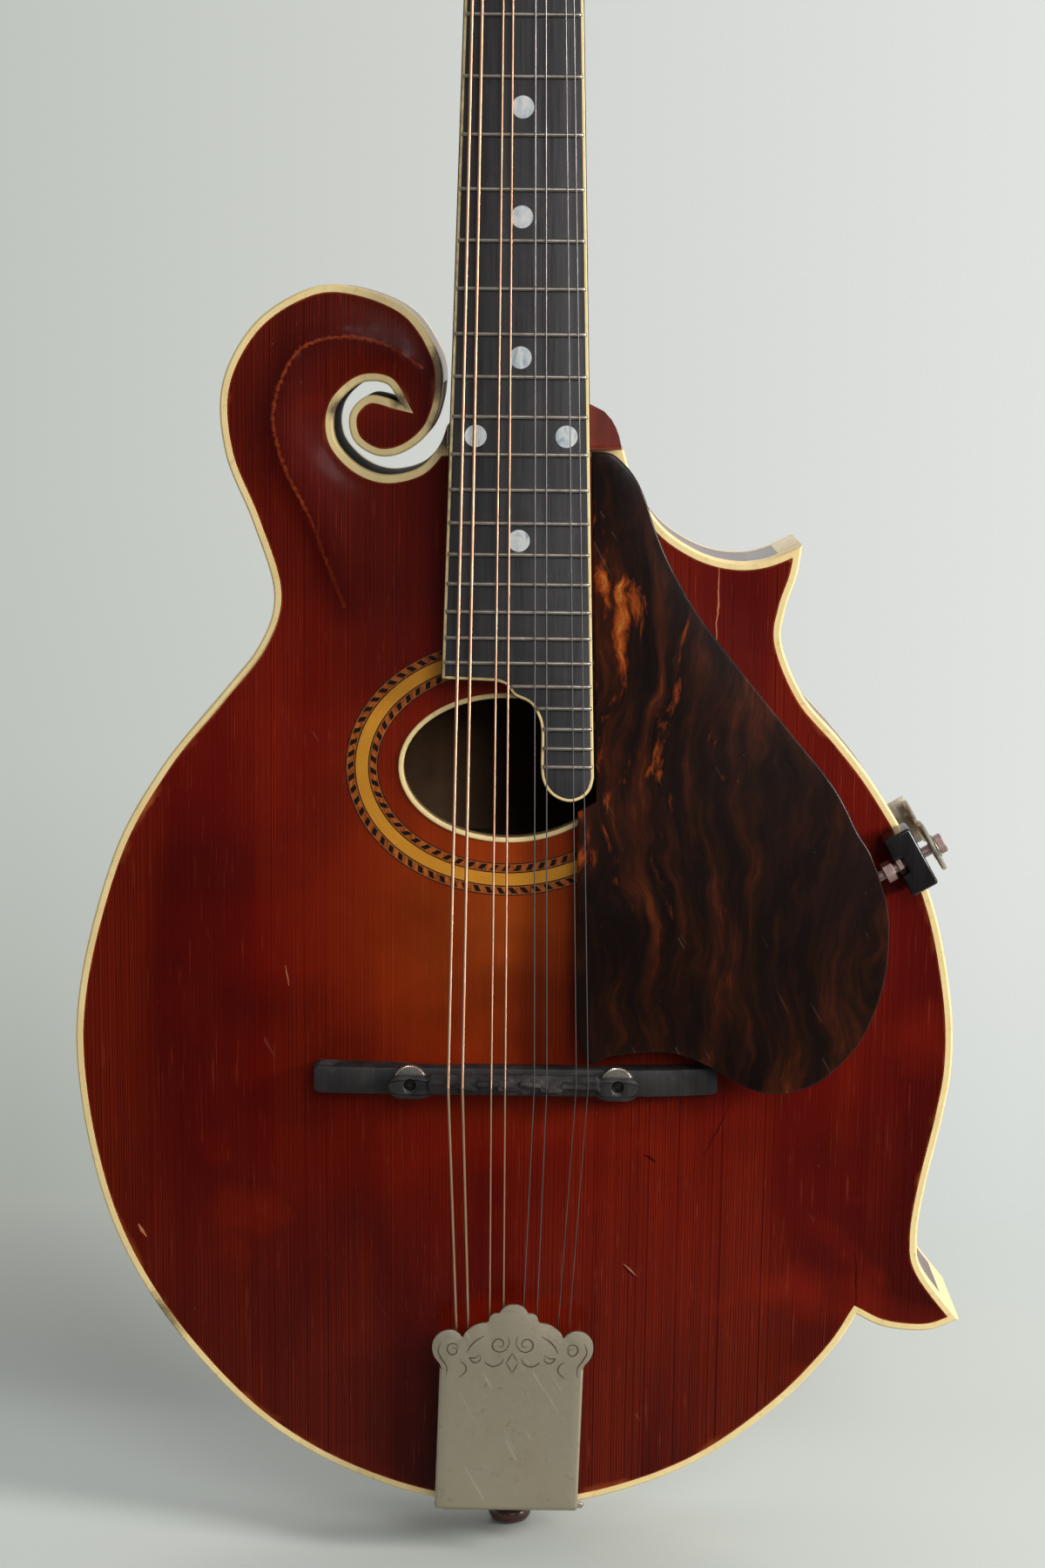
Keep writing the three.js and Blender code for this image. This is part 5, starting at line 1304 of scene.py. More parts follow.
def carved_plate(name, face, material, hole=None):
    points, triangles = plate_cover(inset(body_outline, BINDING_WIDTH - 0.1), hole)
    heights = HALF_DEPTH + arch(points)
    count = len(points)
    corners = [(x, face * h, z) for (x, z), h in zip(points, heights)]
    corners += [(x, face * (h - PLATE_THICKNESS), z) for (x, z), h in zip(points, heights)]
    faces = [tuple(t) for t in triangles.tolist()]
    faces += [(c + count, b + count, a + count) for a, b, c in triangles.tolist()]
    faces += [(b, a, a + count, b + count) for a, b in edge_pairs(triangles)]
    plate = make_piece(name, corners, faces, material)
    both = np.concatenate([points, points])
    rim = segment_distance(both, body_outline)[0] - BINDING_WIDTH
    crest = segment_distance(both, crest_line, closed=False)[0]
    bare = np.zeros(len(both))
    for (x, z), (half_x, half_z) in BARE_PATCHES:
        bare = np.maximum(bare, 1 - np.hypot((both[:, 0] - x) / half_x, (both[:, 1] - z) / half_z))
    inner = np.arange(len(both)) >= count
    for attribute, values in (("rim", rim), ("crest", crest), ("bare", bare), ("inner", inner * 1.0)):
        store_values(plate, attribute, values)
    return finish_piece(plate, name)


def matched(outline, distance):
    """For each point of an outline the place inwards of it, or the closest of the neighbours' ones."""
    outline = np.array(outline)
    moved, keeps = moved_inwards(outline, distance)
    kept = np.flatnonzero(keeps)
    count = len(outline)
    for i in np.flatnonzero(~keeps):
        steps = (kept - i) % count
        before, after = kept[steps.argmax()], kept[steps.argmin()]
        reach = [np.linalg.norm(moved[k] - outline[i]) for k in (before, after)]
        moved[i] = moved[after] if reach[1] < reach[0] else moved[before]
    return moved


def edge_strip(name, side, profile):
    """A binding along the body's edge: the profile gives the share of its width and its depth."""
    outer = np.array(body_outline)
    profile = [(share, side * (HALF_DEPTH - depth)) for share, depth in profile]
    rings = rings_between(outer, matched(outer, BINDING_WIDTH), profile)
    strip = make_piece(name, *rings_mesh(rings, loop=True), BINDING)
    corners = np.array([(x, z) for ring in rings for x, y, z in ring])
    # Painted shade and dirt: the binding darkens near the listed places
    grime = np.zeros(len(corners))
    for (x, z), reach in GRIMY_SHADED_PLACES:
        grime = np.maximum(grime, 1 - np.hypot(corners[:, 0] - x, corners[:, 1] - z) / reach)
    store_values(strip, "grime", grime)
    return finish_piece(strip, name)


def rim_strip(name, line):
    """A bent rib: the body's outline on its outside, and its own thickness."""
    outer = np.array(line)
    near = segment_distance(outer, inset(body_outline, RIB_THICKNESS))[1]
    profile = [(0, -RIB_EDGE), (0, 0), (0, RIB_EDGE), (1, RIB_EDGE), (1, -RIB_EDGE)]
    return skin(name, rings_between(outer, near, profile), MAPLE, name)


def run_where(points, keeps):
    """The longest run of points that meet a condition, cut exactly at both its ends."""
    points = [np.array(point) for point in points]
    marks = [keeps(point) for point in points]
    runs, current = [], []
    for i, mark in enumerate(marks):
        if mark:
            current.append(i)
        elif current:
            runs.append(current)
            current = []
    runs.append(current)
    best = max(runs, key=len)
    result = [points[i] for i in best]
    for end, beyond in ((best[0], best[0] - 1), (best[-1], best[-1] + 1)):
        if not 0 <= beyond < len(points):
            continue
        good, bad = points[end], points[beyond]
        for _ in range(24):
            middle = (good + bad) / 2
            good, bad = (middle, bad) if keeps(middle) else (good, middle)
        result = [good, *result] if end == best[0] else [*result, good]
    return result


def near_tip(point, tip, growth=0.0):
    reach = POINT_TRIM + growth
    return point[0] > tip[0] - reach and abs(point[1] - tip[1]) < reach


def in_head_block(point, growth=0.0):
    return point[0] < HEAD_BLOCK_RIGHT + growth and point[1] > HEAD_BLOCK_BOTTOM - growth


def build_body():
    hole = ellipse(HOLE_CENTRE, shrunk(HOLE_HALVES, 0.3), 128)
    carved_plate("top_plate", -1, TOP, hole)
    carved_plate("back_plate", 1, BACK)

    for name, side in (("top_binding", -1), ("back_binding", 1)):
        edge_strip(name, side, BINDING_PROFILE)

    def plain(point):
        return not (in_head_block(point, SEAM) or any(near_tip(point, tip, SEAM) for tip in TIPS))

    shoulder = body_stretch(SHOULDER_SHARES)
    treble = body_stretch(TREBLE_SHARES) + body_stretch(HOOK_SHARES)[:1]
    bass = body_stretch(HOOK_SHARES) + body_stretch(BASS_SHARES)
    rim_strip("rib_upper_treble", run_where(shoulder, plain))
    rim_strip("rib_treble", run_where(treble, plain))
    rim_strip("rib_bass", run_where(bass, plain))

    start = len(shoulder) + len(body_stretch(TREBLE_SHARES)) + len(body_stretch(HOOK_SHARES))
    turned_round = body_outline[start:] + body_outline[:start]
    block_outline = run_where(turned_round, in_head_block)
    block_outline.append(np.array((HEAD_BLOCK_RIGHT, HEAD_BLOCK_BOTTOM)))
    block_piece = make_piece("scroll_block", *slab_mesh(block_outline, -RIB_EDGE, RIB_EDGE), SLOT_WALL)
    shaper = opened(block_piece.data)
    flat_ends_cut(shaper)
    close(shaper, block_piece.data)
    block_piece.data.materials.append(MAPLE)
    for face in block_piece.data.polygons:
        away = math.dist((face.center.x / MM, face.center.z / MM), SCROLL_EYE)
        face.material_index = int(away > SLOT_REACH)
    finish_piece(block_piece, "head_block")

    for name, tip in zip(("upper_point_trim", "lower_point_trim"), TIPS):
        around = body_outline[-20:] + body_outline[:start]
        outline = run_where(around, lambda p: near_tip(p, tip))
        trim = round_slab(name, outline, -RIB_EDGE, RIB_EDGE, 0.25, BINDING, segments=2)
        finish_piece(trim, "top_binding")

    profile = [
        (0, -0.15), (0.15, -0.42), (0.6, -0.45), (0.9, -0.25), (1, 0.2), (1, PLATE_THICKNESS),
        (0, PLATE_THICKNESS),
    ]
    rings = []
    inside_line = ellipse(HOLE_CENTRE, shrunk(HOLE_HALVES, HOLE_BINDING), HOLE_POINTS)
    for outer, inner in zip(ellipse(HOLE_CENTRE, HOLE_HALVES, HOLE_POINTS), inside_line):
        top = -HALF_DEPTH - arch_at(*outer)
        rings += rings_between([outer], [inner], [(share, top + depth) for share, depth in profile])
    piece = make_piece("soundhole_binding", *rings_mesh(rings, loop=True), BINDING)
    # Painted shade: the binding darkens down its inner wall, into the soundhole
    store_values(piece, "grime", [0.1, 0, 0, 0.1, 0.5, 4, 0] * len(rings))
    finish_piece(piece, "soundhole_binding")


def inlay_ring(name, start, end, pitch, material):
    """One ring of the rosette, bent over the arch, with its pattern's places stored on it."""
    count, steps = 224, 3
    shares = [i / steps for i in range(steps + 1)]
    loops = [ellipse(HOLE_CENTRE, shrunk(ROSETTE_HALVES, start + (end - start) * s), count) for s in shares]
    heights = [-HALF_DEPTH - arch(np.array(loop)) for loop in loops]
    rings = []
    for k in range(count):
        ring = [(loops[j][k][0], heights[j][k] - 0.06, loops[j][k][1]) for j in range(steps + 1)]
        back = [(loops[j][k][0], heights[j][k] + 0.7, loops[j][k][1]) for j in (steps, 0)]
        rings.append(ring + back)
    piece = make_piece(name, *rings_mesh(rings, loop=True), material)
    middle = np.array(loops[steps // 2 + 1])
    step_lengths = np.linalg.norm(np.roll(middle, -1, axis=0) - middle, axis=1)
    along = np.concatenate([[0], np.cumsum(step_lengths)])
    turns = round(along[-1] / pitch)
    along *= turns / along[-1]
    sides = steps + 3
    across = [*shares, 1, 0]
    layer = piece.data.uv_layers.new(name="UVMap")
    for number, polygon in enumerate(piece.data.polygons):
        last = number // sides == count - 1
        for loop in polygon.loop_indices:
            ring, side = divmod(piece.data.loops[loop].vertex_index, sides)
            ring = count if last and ring == 0 else ring
            layer.data[loop].uv = (along[ring], across[side])
    return finish_piece(piece, "rosette")


def build_rosette():
    finishes = {
        "outer_line": DARK_LINE, "outer_rope": OUTER_ROPE, "outer_band_line": DARK_LINE, "band": BAND,
        "inner_band_line": DARK_LINE, "inner_rope": INNER_ROPE, "inner_line": DARK_LINE,
    }
    for name, start, end in ROSETTE_BANDS:
        inlay_ring(f"rosette_{name}", start, end, 3.4, finishes[name])


def finish_inside():
    for node, finish in {
        "top_lining": BARE, "back_lining": BARE, "tail_block": BARE, "cross_brace": BARE, "label": PAPER,
    }.items():
        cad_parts[node].material_slots[0].material = finish


build_body()
build_rosette()
finish_inside()


# Neck, fretboard and headstock
def board_side(down):
    return (NUT_WIDTH + (BOARD_END_WIDTH - NUT_WIDTH) * down / BOARD_END) / 2


def fret_place(fret):
    return SCALE * (1 - 2 ** (-fret / 12))


EXTENSION_LINE = smooth(
    [(across * BOARD_END_WIDTH, -BOARD_END - down * EXTENSION) for across, down in EXTENSION_SHARES], 5
)
BOARD_OUTLINE = [
    *straight((NUT_WIDTH / 2, 0), (-NUT_WIDTH / 2, 0), 4),
    *straight((-NUT_WIDTH / 2, 0), (-BOARD_END_WIDTH / 2, -BOARD_END), 40),
    *straight((-BOARD_END_WIDTH / 2, -BOARD_END), EXTENSION_LINE[0], 6),
    *EXTENSION_LINE,
    *straight(EXTENSION_LINE[-1], (NUT_WIDTH / 2, 0), 40)[1:],
]
HEAD_OUTLINE = smooth([(across * HEAD_SIZE[0], up * HEAD_SIZE[1]) for across, up in HEAD_SHARES], 5)
HEEL_STEPS = 12
# Painted shade on the fretboard's binding: it is darkened by this share left of the X that follows, on the
# side away from the light
BINDING_SIDE_SHADE = 0.42
BINDING_SHADE_RIGHT = 5


def build_fretboard():
    field = inset(BOARD_OUTLINE, BOARD_BINDING - 0.02)
    board = round_slab("fretboard", field, 0, BOARD_THICKNESS, 0.12, BOARD_EBONY, BOARD, 2)
    finish_piece(board, "fretboard")
    outline = [p for p in BOARD_OUTLINE if p[1] < 0 or abs(p[0]) > NUT_WIDTH / 2 - 0.1]
    near = segment_distance(outline, inset(BOARD_OUTLINE, BOARD_BINDING))[1]
    near[:, 1] = np.where(np.array(outline)[:, 1] > -0.01, -0.3, near[:, 1])
    start = next(i for i, p in enumerate(outline) if p[0] < 0)
    run = outline[start:] + outline[:start]
    near = np.roll(near, -start, axis=0)
    profile = [
        (0, BOARD_THICKNESS), (0, 0.45), (0.1, 0.12), (0.32, -0.02), (1, -0.02), (1, BOARD_THICKNESS),
    ]
    rings = rings_between(run, near, profile)
    edge = make_piece("fretboard_binding", *rings_mesh(rings), BINDING, BOARD)
    # Painted shade: the binding's bass side is darker
    grime = [BINDING_SIDE_SHADE if x < BINDING_SHADE_RIGHT else 0 for ring in rings for x, y, z in ring]
    store_values(edge, "grime", grime)
    finish_piece(edge, "fretboard_binding")
    rings = rings_between(run, near, [(-0.16, 1.2), (-0.16, 0.1), (0.0, 0.06), (0.06, 1.2)])
    skin("fretboard_edge_line", rings, DARK_EDGE, "fretboard_binding", place=BOARD)


def fret_left(fret):
    down = fret_place(fret)
    if fret <= LAST_FULL_FRET:
        return -board_side(down) + FRET_INSET
    for a, b in zip(EXTENSION_LINE, EXTENSION_LINE[1:]):
        if -a[1] <= down <= -b[1]:
            return a[0] + (b[0] - a[0]) * (down + a[1]) / (a[1] - b[1]) + FRET_INSET
    return EXTENSION_LINE[-1][0]


def build_frets():
    """Crowned wire with its ends filed to a slope."""
    half = FRET_WIDTH / 2
    angles = [i * math.pi / 8 for i in range(9)]
    end_shares = [(0, 0.12), (0.25, 0.6), (0.7, 0.93), (1.3, 1)]
    for fret in range(1, FRET_COUNT + 1):
        down = fret_place(fret)
        left, right = fret_left(fret), board_side(down) - FRET_INSET
        places = [(left + x, rise) for x, rise in end_shares]
        places += [(right - x, rise) for x, rise in reversed(end_shares)]
        rings = []
        for x, rise in places:
            width = half * (0.55 + 0.45 * rise)
            ring = [
                (x, -0.05 - FRET_HEIGHT * rise * math.sin(a) ** 0.8, -down + width * math.cos(a))
                for a in angles
            ]
            rings.append([(x, 0.4, -down + width), *ring, (x, 0.4, -down - width)])
        skin(f"fret_{fret}", rings, FRET_METAL, "frets", place=BOARD, smooth_angle=50)


def build_dots():
    profile = [
        (0.02, -0.06), (DOT_RADIUS * 0.6, -0.055), (DOT_RADIUS, -0.03), (DOT_RADIUS, 0.8), (0.02, 0.8),
    ]
    for number, (x, down) in enumerate(DOT_PLACES, 1):
        rings = along_y(profile, 32, x, -down)
        skin(f"pearl_dot_{number}", rings, PEARL, place=BOARD)


def build_nut():
    """A rounded nut with a notch for each string."""
    left = -NUT_WIDTH / 2
    spots = sorted(
        [left + i * NUT_WIDTH / 30 for i in range(31)]
        + [slot + side * radius * share for slot, radius in zip(NUT_SLOTS, STRING_RADII)
           for side in (-1, 1) for share in (0, 0.5, 1, 1.3)]
    )
    rings = []
    for x in spots:
        notch = 0
        for slot, radius in zip(NUT_SLOTS, STRING_RADII):
            if abs(x - slot) < radius * 1.05:
                notch = 0.45 + radius * 0.3
        crown = 0.35 * (2 * x / NUT_WIDTH) ** 2
        top = -NUT_PROUD - 0.35 + crown + notch
        end = 0.35 if abs(abs(x) - NUT_WIDTH / 2) < 0.3 else 0
        rings.append([
            (x, BOARD_THICKNESS, 0.15), (x, top + 0.9 + end, 0.15), (x, top + 0.25 + end, 0.5),
            (x, top + end, 1.2), (x, top + 0.1 + end, 2.6), (x, top + 0.9 + end, 4.1),
            (x, top + 1.8 + end, 4.7), (x, BOARD_THICKNESS, 4.7),
        ])
    skin("nut", rings, BONE, "nut", place=BOARD)


def neck_section(down, sides=28):
    joint = fret_place(JOINT_FRET)
    to_joint = joint - down
    near_heel = min(1, max(0, 1 - to_joint / HEEL_LENGTH))
    slim = NECK_DEPTHS[1] - (NECK_DEPTHS[1] - NECK_DEPTHS[0]) * to_joint / joint
    depth = slim + (HEEL_DEPTH - NECK_DEPTHS[1]) * (1 - math.sqrt(max(0, 1 - near_heel**2)))
    near_flare = min(1, max(0, 1 - to_joint / FLARE_LENGTH))
    flare = FLARE_WIDTH * math.sqrt(max(0, 1 - (1 - near_flare) ** 2))
    half = board_side(max(0, down)) - 0.3
    ring = []
    for i in range(sides + 1):
        angle = i * math.pi / sides
        reach = math.copysign(abs(math.cos(angle)) ** 0.8, math.cos(angle))
        wide = half + flare if reach > 0 else half
        ring.append((reach * wide, BOARD_THICKNESS + 0.05 + depth * math.sin(angle), -down))
    return ring


def cut_flat(piece, place, normal):
    """Cuts away what lies beyond a plane and closes the cut."""
    shaper = opened(piece.data)
    everything = [*shaper.verts, *shaper.edges, *shaper.faces]
    cut = bmesh.ops.bisect_plane(
        shaper, geom=everything, plane_co=Vector(place) * MM, plane_no=normal, clear_outer=True
    )
    edges = [item for item in cut["geom_cut"] if isinstance(item, bmesh.types.BMEdge)]
    bmesh.ops.holes_fill(shaper, edges=edges)
    close(shaper, piece.data)


def build_neck():
    joint = fret_place(JOINT_FRET)
    stations = [-10, -5, 0] + [joint / 2 * i / 6 for i in range(1, 7)]
    stations += [joint / 2 + (joint / 2 - HEEL_LENGTH) * i / 4 for i in range(1, 4)]
    shares = [i / HEEL_STEPS for i in range(HEEL_STEPS + 1)]
    stations += [joint - HEEL_LENGTH * (1 - share) + 1.5 * share for share in shares]
    rings = [neck_section(down) for down in stations]
    shaft = make_piece("neck_shaft", *rings_mesh(rings), NECK_WOOD, BOARD, smooth_angle=50)
    joint_height = JOINT_LEFT[1] + 0.05
    cut_flat(shaft, (0, 0, joint_height), (0, 0, -1))
    finish_piece(shaft, "neck")

    width, end, depth = TONGUE
    rings = []
    start = joint - 13
    for i in range(13):
        down = start + (end - start) * i / 12
        under_board = [BOARD @ Vector((x, BOARD_THICKNESS + 0.05, -down)) for x in (-width / 2, width / 2)]
        ring = [tuple(top) for top in under_board]
        top = under_board[0]
        for x in (width / 2, 0, -width / 2):
            floor = -HALF_DEPTH - arch_at(x, top.z) - 0.05 if top.z < joint_height else top.y + depth
            ring.append((x, max(floor, top.y + 0.3), top.z))
        rings.append(ring)
    skin("neck_tongue", rings, NECK_WOOD, "neck")

    head = round_slab("headstock", HEAD_OUTLINE, HEAD_FACE + 0.02, HEAD_BACK, 1.2, NECK_WOOD, HEAD, 3)
    finish_piece(head, "neck")
    veneer = round_slab("headstock_face", HEAD_OUTLINE, 0, HEAD_FACE, 0.3, HEAD_BLACK, HEAD, 2)
    finish_piece(veneer, "headstock_veneer")
    edge_profile = [(-0.02, 0.4), (-0.02, 0.05), (0.1, -0.02), (0.9, -0.02), (1, 0.05), (1, 0.4)]
    near = segment_distance(HEAD_OUTLINE, inset(HEAD_OUTLINE, 1.4))[1]
    rings = rings_between(HEAD_OUTLINE, near, edge_profile)
    skin("headstock_binding", rings, BINDING, place=HEAD)


# Tuners
def toothed_outline(teeth, radius, depth, steps=4):
    outline = []
    for i in range(teeth * steps):
        reach = radius - depth * (0 if i % steps in (0, 1) else 1)
        angle = 2 * math.pi * i / (teeth * steps)
        outline.append((reach * math.cos(angle), reach * math.sin(angle)))
    return outline


def build_tuners():
    number = 1
    for side in (-1, 1):
        label = "bass" if side < 0 else "treble"
        for z in TUNER_ROWS:
            build_post(number, side * TUNER_X, z)
            build_knob(number, side, z + WORM_SPACING)
            number += 1
        build_tuner_plate(f"tuner_plate_{label}", side)


def build_post(number, x, z):
    profile = [
        (0.02, -POST_FRONT), (POST_RADIUS - 0.8, -POST_FRONT), (POST_RADIUS - 0.15, -POST_FRONT + 0.5),
        (POST_RADIUS, -POST_FRONT + 1.1), (POST_RADIUS, -7.6), (POST_RADIUS - 0.35, -6.9),
        (POST_RADIUS - 0.35, -3.6), (POST_RADIUS, -2.8), (POST_RADIUS, GEAR_MIDDLE - 1.6),
        (0.02, GEAR_MIDDLE - 1.6),
    ]
    node = f"tuner_post_{number}"
    skin(node, along_y(profile, 32, x, z), NICKEL, node, node, HEAD)
    bore = POST_RADIUS + 0.15
    ferrule = [(bore, -0.9), (4.4, -0.9), (4.7, -0.6), (4.7, -0.2), (5.1, 0.02), (5.1, 0.3), (bore, 0.3)]
    points, faces = rings_mesh(along_y(ferrule, 32, x, z), capped=False)
    faces += [(k, (k + 1) % 32, 6 * 32 + (k + 1) % 32, 6 * 32 + k) for k in range(32)]
    finish_piece(make_piece(f"tuner_ferrule_{number}", points, faces, NICKEL, HEAD))
    outline = [(x + px, z + pz) for px, pz in toothed_outline(GEAR_TEETH, GEAR_RADIUS, 0.9)]
    low, high = GEAR_MIDDLE - 1.5, GEAR_MIDDLE + 1.5
    gear = round_slab(f"tuner_gear_{number}", outline, low, high, 0.18, NICKEL, HEAD, 1)
    finish_piece(gear, node, node)
    screw = [(1.9, 1.45), (1.9, 1.9), (1.5, 2.25), (0.02, 2.3)]
    screw = [(radius, GEAR_MIDDLE + out) for radius, out in screw]
    skin(f"gear_screw_{number}", along_y(screw, 24, x, z), NICKEL, node, node, HEAD)


def build_knob(number, side, z):
    """A worm on its shaft, and a swelling ivoroid button."""
    body = f"tuner_knob_{number}"

    def across_x(stations, count=28):
        rings = []
        for x, wide, thick, phase in stations:
            ring = []
            for k in range(count):
                angle = 2 * math.pi * k / count
                thread = 0 if phase is None else 0.55 * math.cos(angle - phase)
                y = GEAR_MIDDLE + (thick + thread) * math.cos(angle)
                ring.append((side * x, y, z + (wide + thread) * math.sin(angle)))
            rings.append(ring)
        return rings

    shaft = [(12.9, 1.4, 1.4, None), (14.5, 1.4, 1.4, None)]
    steps = 48
    shaft += [
        (14.7 + 7.6 * i / steps, 2.5, 2.5, 2 * math.pi * 4 * i / steps) for i in range(steps + 1)
    ]
    shaft += [
        (x, radius, radius, None)
        for x, radius in ((22.5, 1.4), (31.6, 1.4), (32, 2.3), (33.2, 2.6), (34.6, 2.2))
    ]
    skin(f"tuner_shaft_{number}", across_x(shaft), NICKEL, body, body, HEAD, 50)
    swell = [
        (0, 0.25), (0.02, 0.36), (0.12, 0.44), (0.26, 0.60), (0.42, 0.82), (0.60, 0.98), (0.76, 1),
        (0.9, 0.93), (0.97, 0.75), (1, 0.5),
    ]
    button = [(34 + 15 * along, 8.4 * out, 4.4 * out, None) for along, out in smooth(swell, 4)]
    rings = across_x(button, 36)
    skin(f"tuner_button_{number}", rings, BUTTON, body, body, HEAD, 60)


def build_tuner_plate(name, side):
    """A stamped strip with rounded ends, folded lugs and screws."""
    low, high, left, right = 24, 120.5, 9, 27.5
    outline = []
    for z_end, turn in ((low, -1), (high, 1)):
        for i in range(9):
            angle = turn * (math.pi / 2) * (1 - i / 8) if turn < 0 else (math.pi / 2) * i / 8
            outline.append((right - 4 + 4 * math.cos(angle), z_end - turn * 4 + 4 * math.sin(angle)))
    quarter = [i * math.pi / 16 for i in range(9)]
    outline += [(left + 4 - 4 * math.sin(a), high - 4 + 4 * math.cos(a)) for a in quarter]
    outline += [(left + 4 - 4 * math.cos(a), low + 4 - 4 * math.sin(a)) for a in quarter]
    outline = [(side * x, z) for x, z in outline]
    strip = round_slab(name, outline, 16.0, 17.3, 0.25, NICKEL, HEAD, 2)
    finish_piece(strip, name)
    for row, z in enumerate(TUNER_ROWS, 1):
        centre = z + WORM_SPACING
        angles = [i * math.pi / 12 for i in range(1, 12)]
        lug = [(17.2, centre - 3), (21.1, centre - 3)]
        lug += [(21.1 + 3 * math.sin(a), centre - 3 * math.cos(a)) for a in angles]
        lug += [(21.1, centre + 3), (17.2, centre + 3)]
        for word, x, thick in (("outer", 25.9, 1.5), ("inner", 12.6, 1.1)):
            rings = [[(side * (x + d), py, pz) for py, pz in lug] for d in (0, thick)]
            piece = make_piece(f"{name}_lug_{row}_{word}", *rings_mesh(rings), NICKEL, HEAD)
            finish_piece(bevel(piece, 0.2, 2), name)
    profile = [(1.9, 17.25), (1.9, 17.6), (1.4, 18.0), (0.02, 18.15)]
    for number, (x, z) in enumerate([(12, 27.5), (24, 27.5), (18.2, 68.2), (12, 117), (24, 117)], 1):
        skin(f"{name}_screw_{number}", along_y(profile, 20, side * x, z), NICKEL, place=HEAD)


build_fretboard()
build_frets()
build_dots()
build_nut()
build_neck()
build_tuners()


# Strings
SADDLE_NOTCH = 0.35
WINDING_TURNS = 2.5
WINDING_STEPS = 28
STRING_SIDES = 12


def string_places(number):
    """Tail hook, saddle, nut and the turns round the post, in millimetres of the frame."""
    radius = STRING_RADII[number]
    side = -1 if number < 4 else 1
    tail = Vector((TAIL_X + TAIL_SLOTS[number], TAIL_HOOKS[0], TAIL_HOOKS[1]))
    saddle = Vector((SADDLE_SLOTS[number], SADDLE_TOP - radius + SADDLE_NOTCH * 0.5, BRIDGE_HEIGHT))
    nut = BOARD @ Vector((NUT_SLOTS[number], -NUT_PROUD - radius, NUT_THICKNESS * 0.4))
    reach = POST_RADIUS + 0.05 + radius
    row = TUNER_ROWS[STRING_ROWS[number]]
    turns = []
    for i in range(int(WINDING_TURNS * WINDING_STEPS) + 1):
        turn = i / WINDING_STEPS
        angle = 2 * math.pi * turn
        turns.append(HEAD @ Vector((
            side * (TUNER_X - reach * math.cos(angle)),
            -4 - radius - turn * (2 * radius + 0.15),
            row + reach * math.sin(angle),
        )))
    return tail, saddle, nut, turns, radius


def build_strings():
    for i in range(len(STRING_RADII)):
        tail, saddle, nut, turns, radius = string_places(i)
        node = f"string_{i + 1}"
        finish = WOUND if i < WOUND_STRINGS else PLAIN
        route = [saddle + (nut - saddle) * t / 24 for t in range(25)]
        speaking = tube(f"{node}_speaking", route, radius, STRING_SIDES, finish)
        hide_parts(node)
        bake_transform(speaking)
        past_saddle = saddle + (nut - saddle).normalized() * 0.6
        route = [tail + (past_saddle - tail) * t / 12 for t in range(13)]
        behind = tube(f"{node}_behind_bridge", route, radius, STRING_SIDES, finish)
        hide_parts(node)
        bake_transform(behind)
        lead = nut + (turns[0] - nut).normalized() * -0.5
        route = [lead, nut, (nut + turns[0]) / 2, *turns]
        wraps = tube(f"{node}_wraps", route, radius, STRING_SIDES, finish)
        finish_piece(wraps, node)
        loop = []
        for k in range(25):
            angle = 2 * math.pi * k / 24
            out = math.cos(angle)
            loop.append(tail + Vector((1.15 * math.sin(angle), 0.2 * out, -1.9 + 1.9 * out)))
        finish_piece(tube(f"{node}_loop", loop, max(radius * 0.6, 0.14), 8, PLAIN), node)
        twist = [
            tail + (saddle - tail).normalized() * t * 0.45
            + Vector((math.cos(t * 1.9), math.sin(t * 1.9), 0)) * radius * 1.25
            for t in range(17)
        ]
        finish_piece(tube(f"{node}_twist", twist, 0.13, 6, PLAIN), node)


# Bridge
SADDLE_STEPS = [
    (-24.4, 1.3), (-16.8, 1.3), (-16.6, 0.3), (-10.6, -0.9), (-10.4, 0.9), (-4.4, 0.9), (-4.2, -0.5),
    (1.8, -0.5), (2.0, 1.2), (7.8, 0.6), (8.0, -0.8), (13.9, -0.8), (14.1, 0.5), (25.2, 0.2),
]
BASE_PLATFORM = 36
BASE_END_HEIGHTS = (6.8, 4.4)
BASE_DROP = 0.5


def bridge_base_section(x):
    left, right = BRIDGE_BASE
    seat = -HALF_DEPTH - arch_at(x, BRIDGE_HEIGHT)
    end = right if x > 0 else -left
    fall = max(0, (abs(x) - BASE_PLATFORM) / (end - BASE_PLATFORM))
    lowest = seat - BASE_END_HEIGHTS[x > 0]
    top = BRIDGE_BASE_TOP + (lowest - BRIDGE_BASE_TOP) * fall**1.15
    near_end = max(0, 1 - (end - abs(x)) / 1.6)
    half = BRIDGE_BASE_WIDTH / 2 * (1 - 0.16 * near_end**2)
    section = [(seat - 0.02, -half), (top + 1.1, -half), (top + 0.35, -half + 0.35), (top, -half + 1.2)]
    section += [(top, half - 1.2), (top + 0.35, half - 0.35), (top + 1.1, half), (seat - 0.02, half)]
    feet = abs(abs(x) - 22) > 9.5
    rise = 0 if feet else -1.5 * math.sin(math.pi * (1 - abs(abs(x) - 22) / 9.5) / 2)
    section[0] = (section[0][0] + rise, -half)
    section[-1] = (section[-1][0] + rise, half)
    section = [(y, z - BASE_DROP) for y, z in section]
    return [(x, y, BRIDGE_HEIGHT + z) for y, z in section]


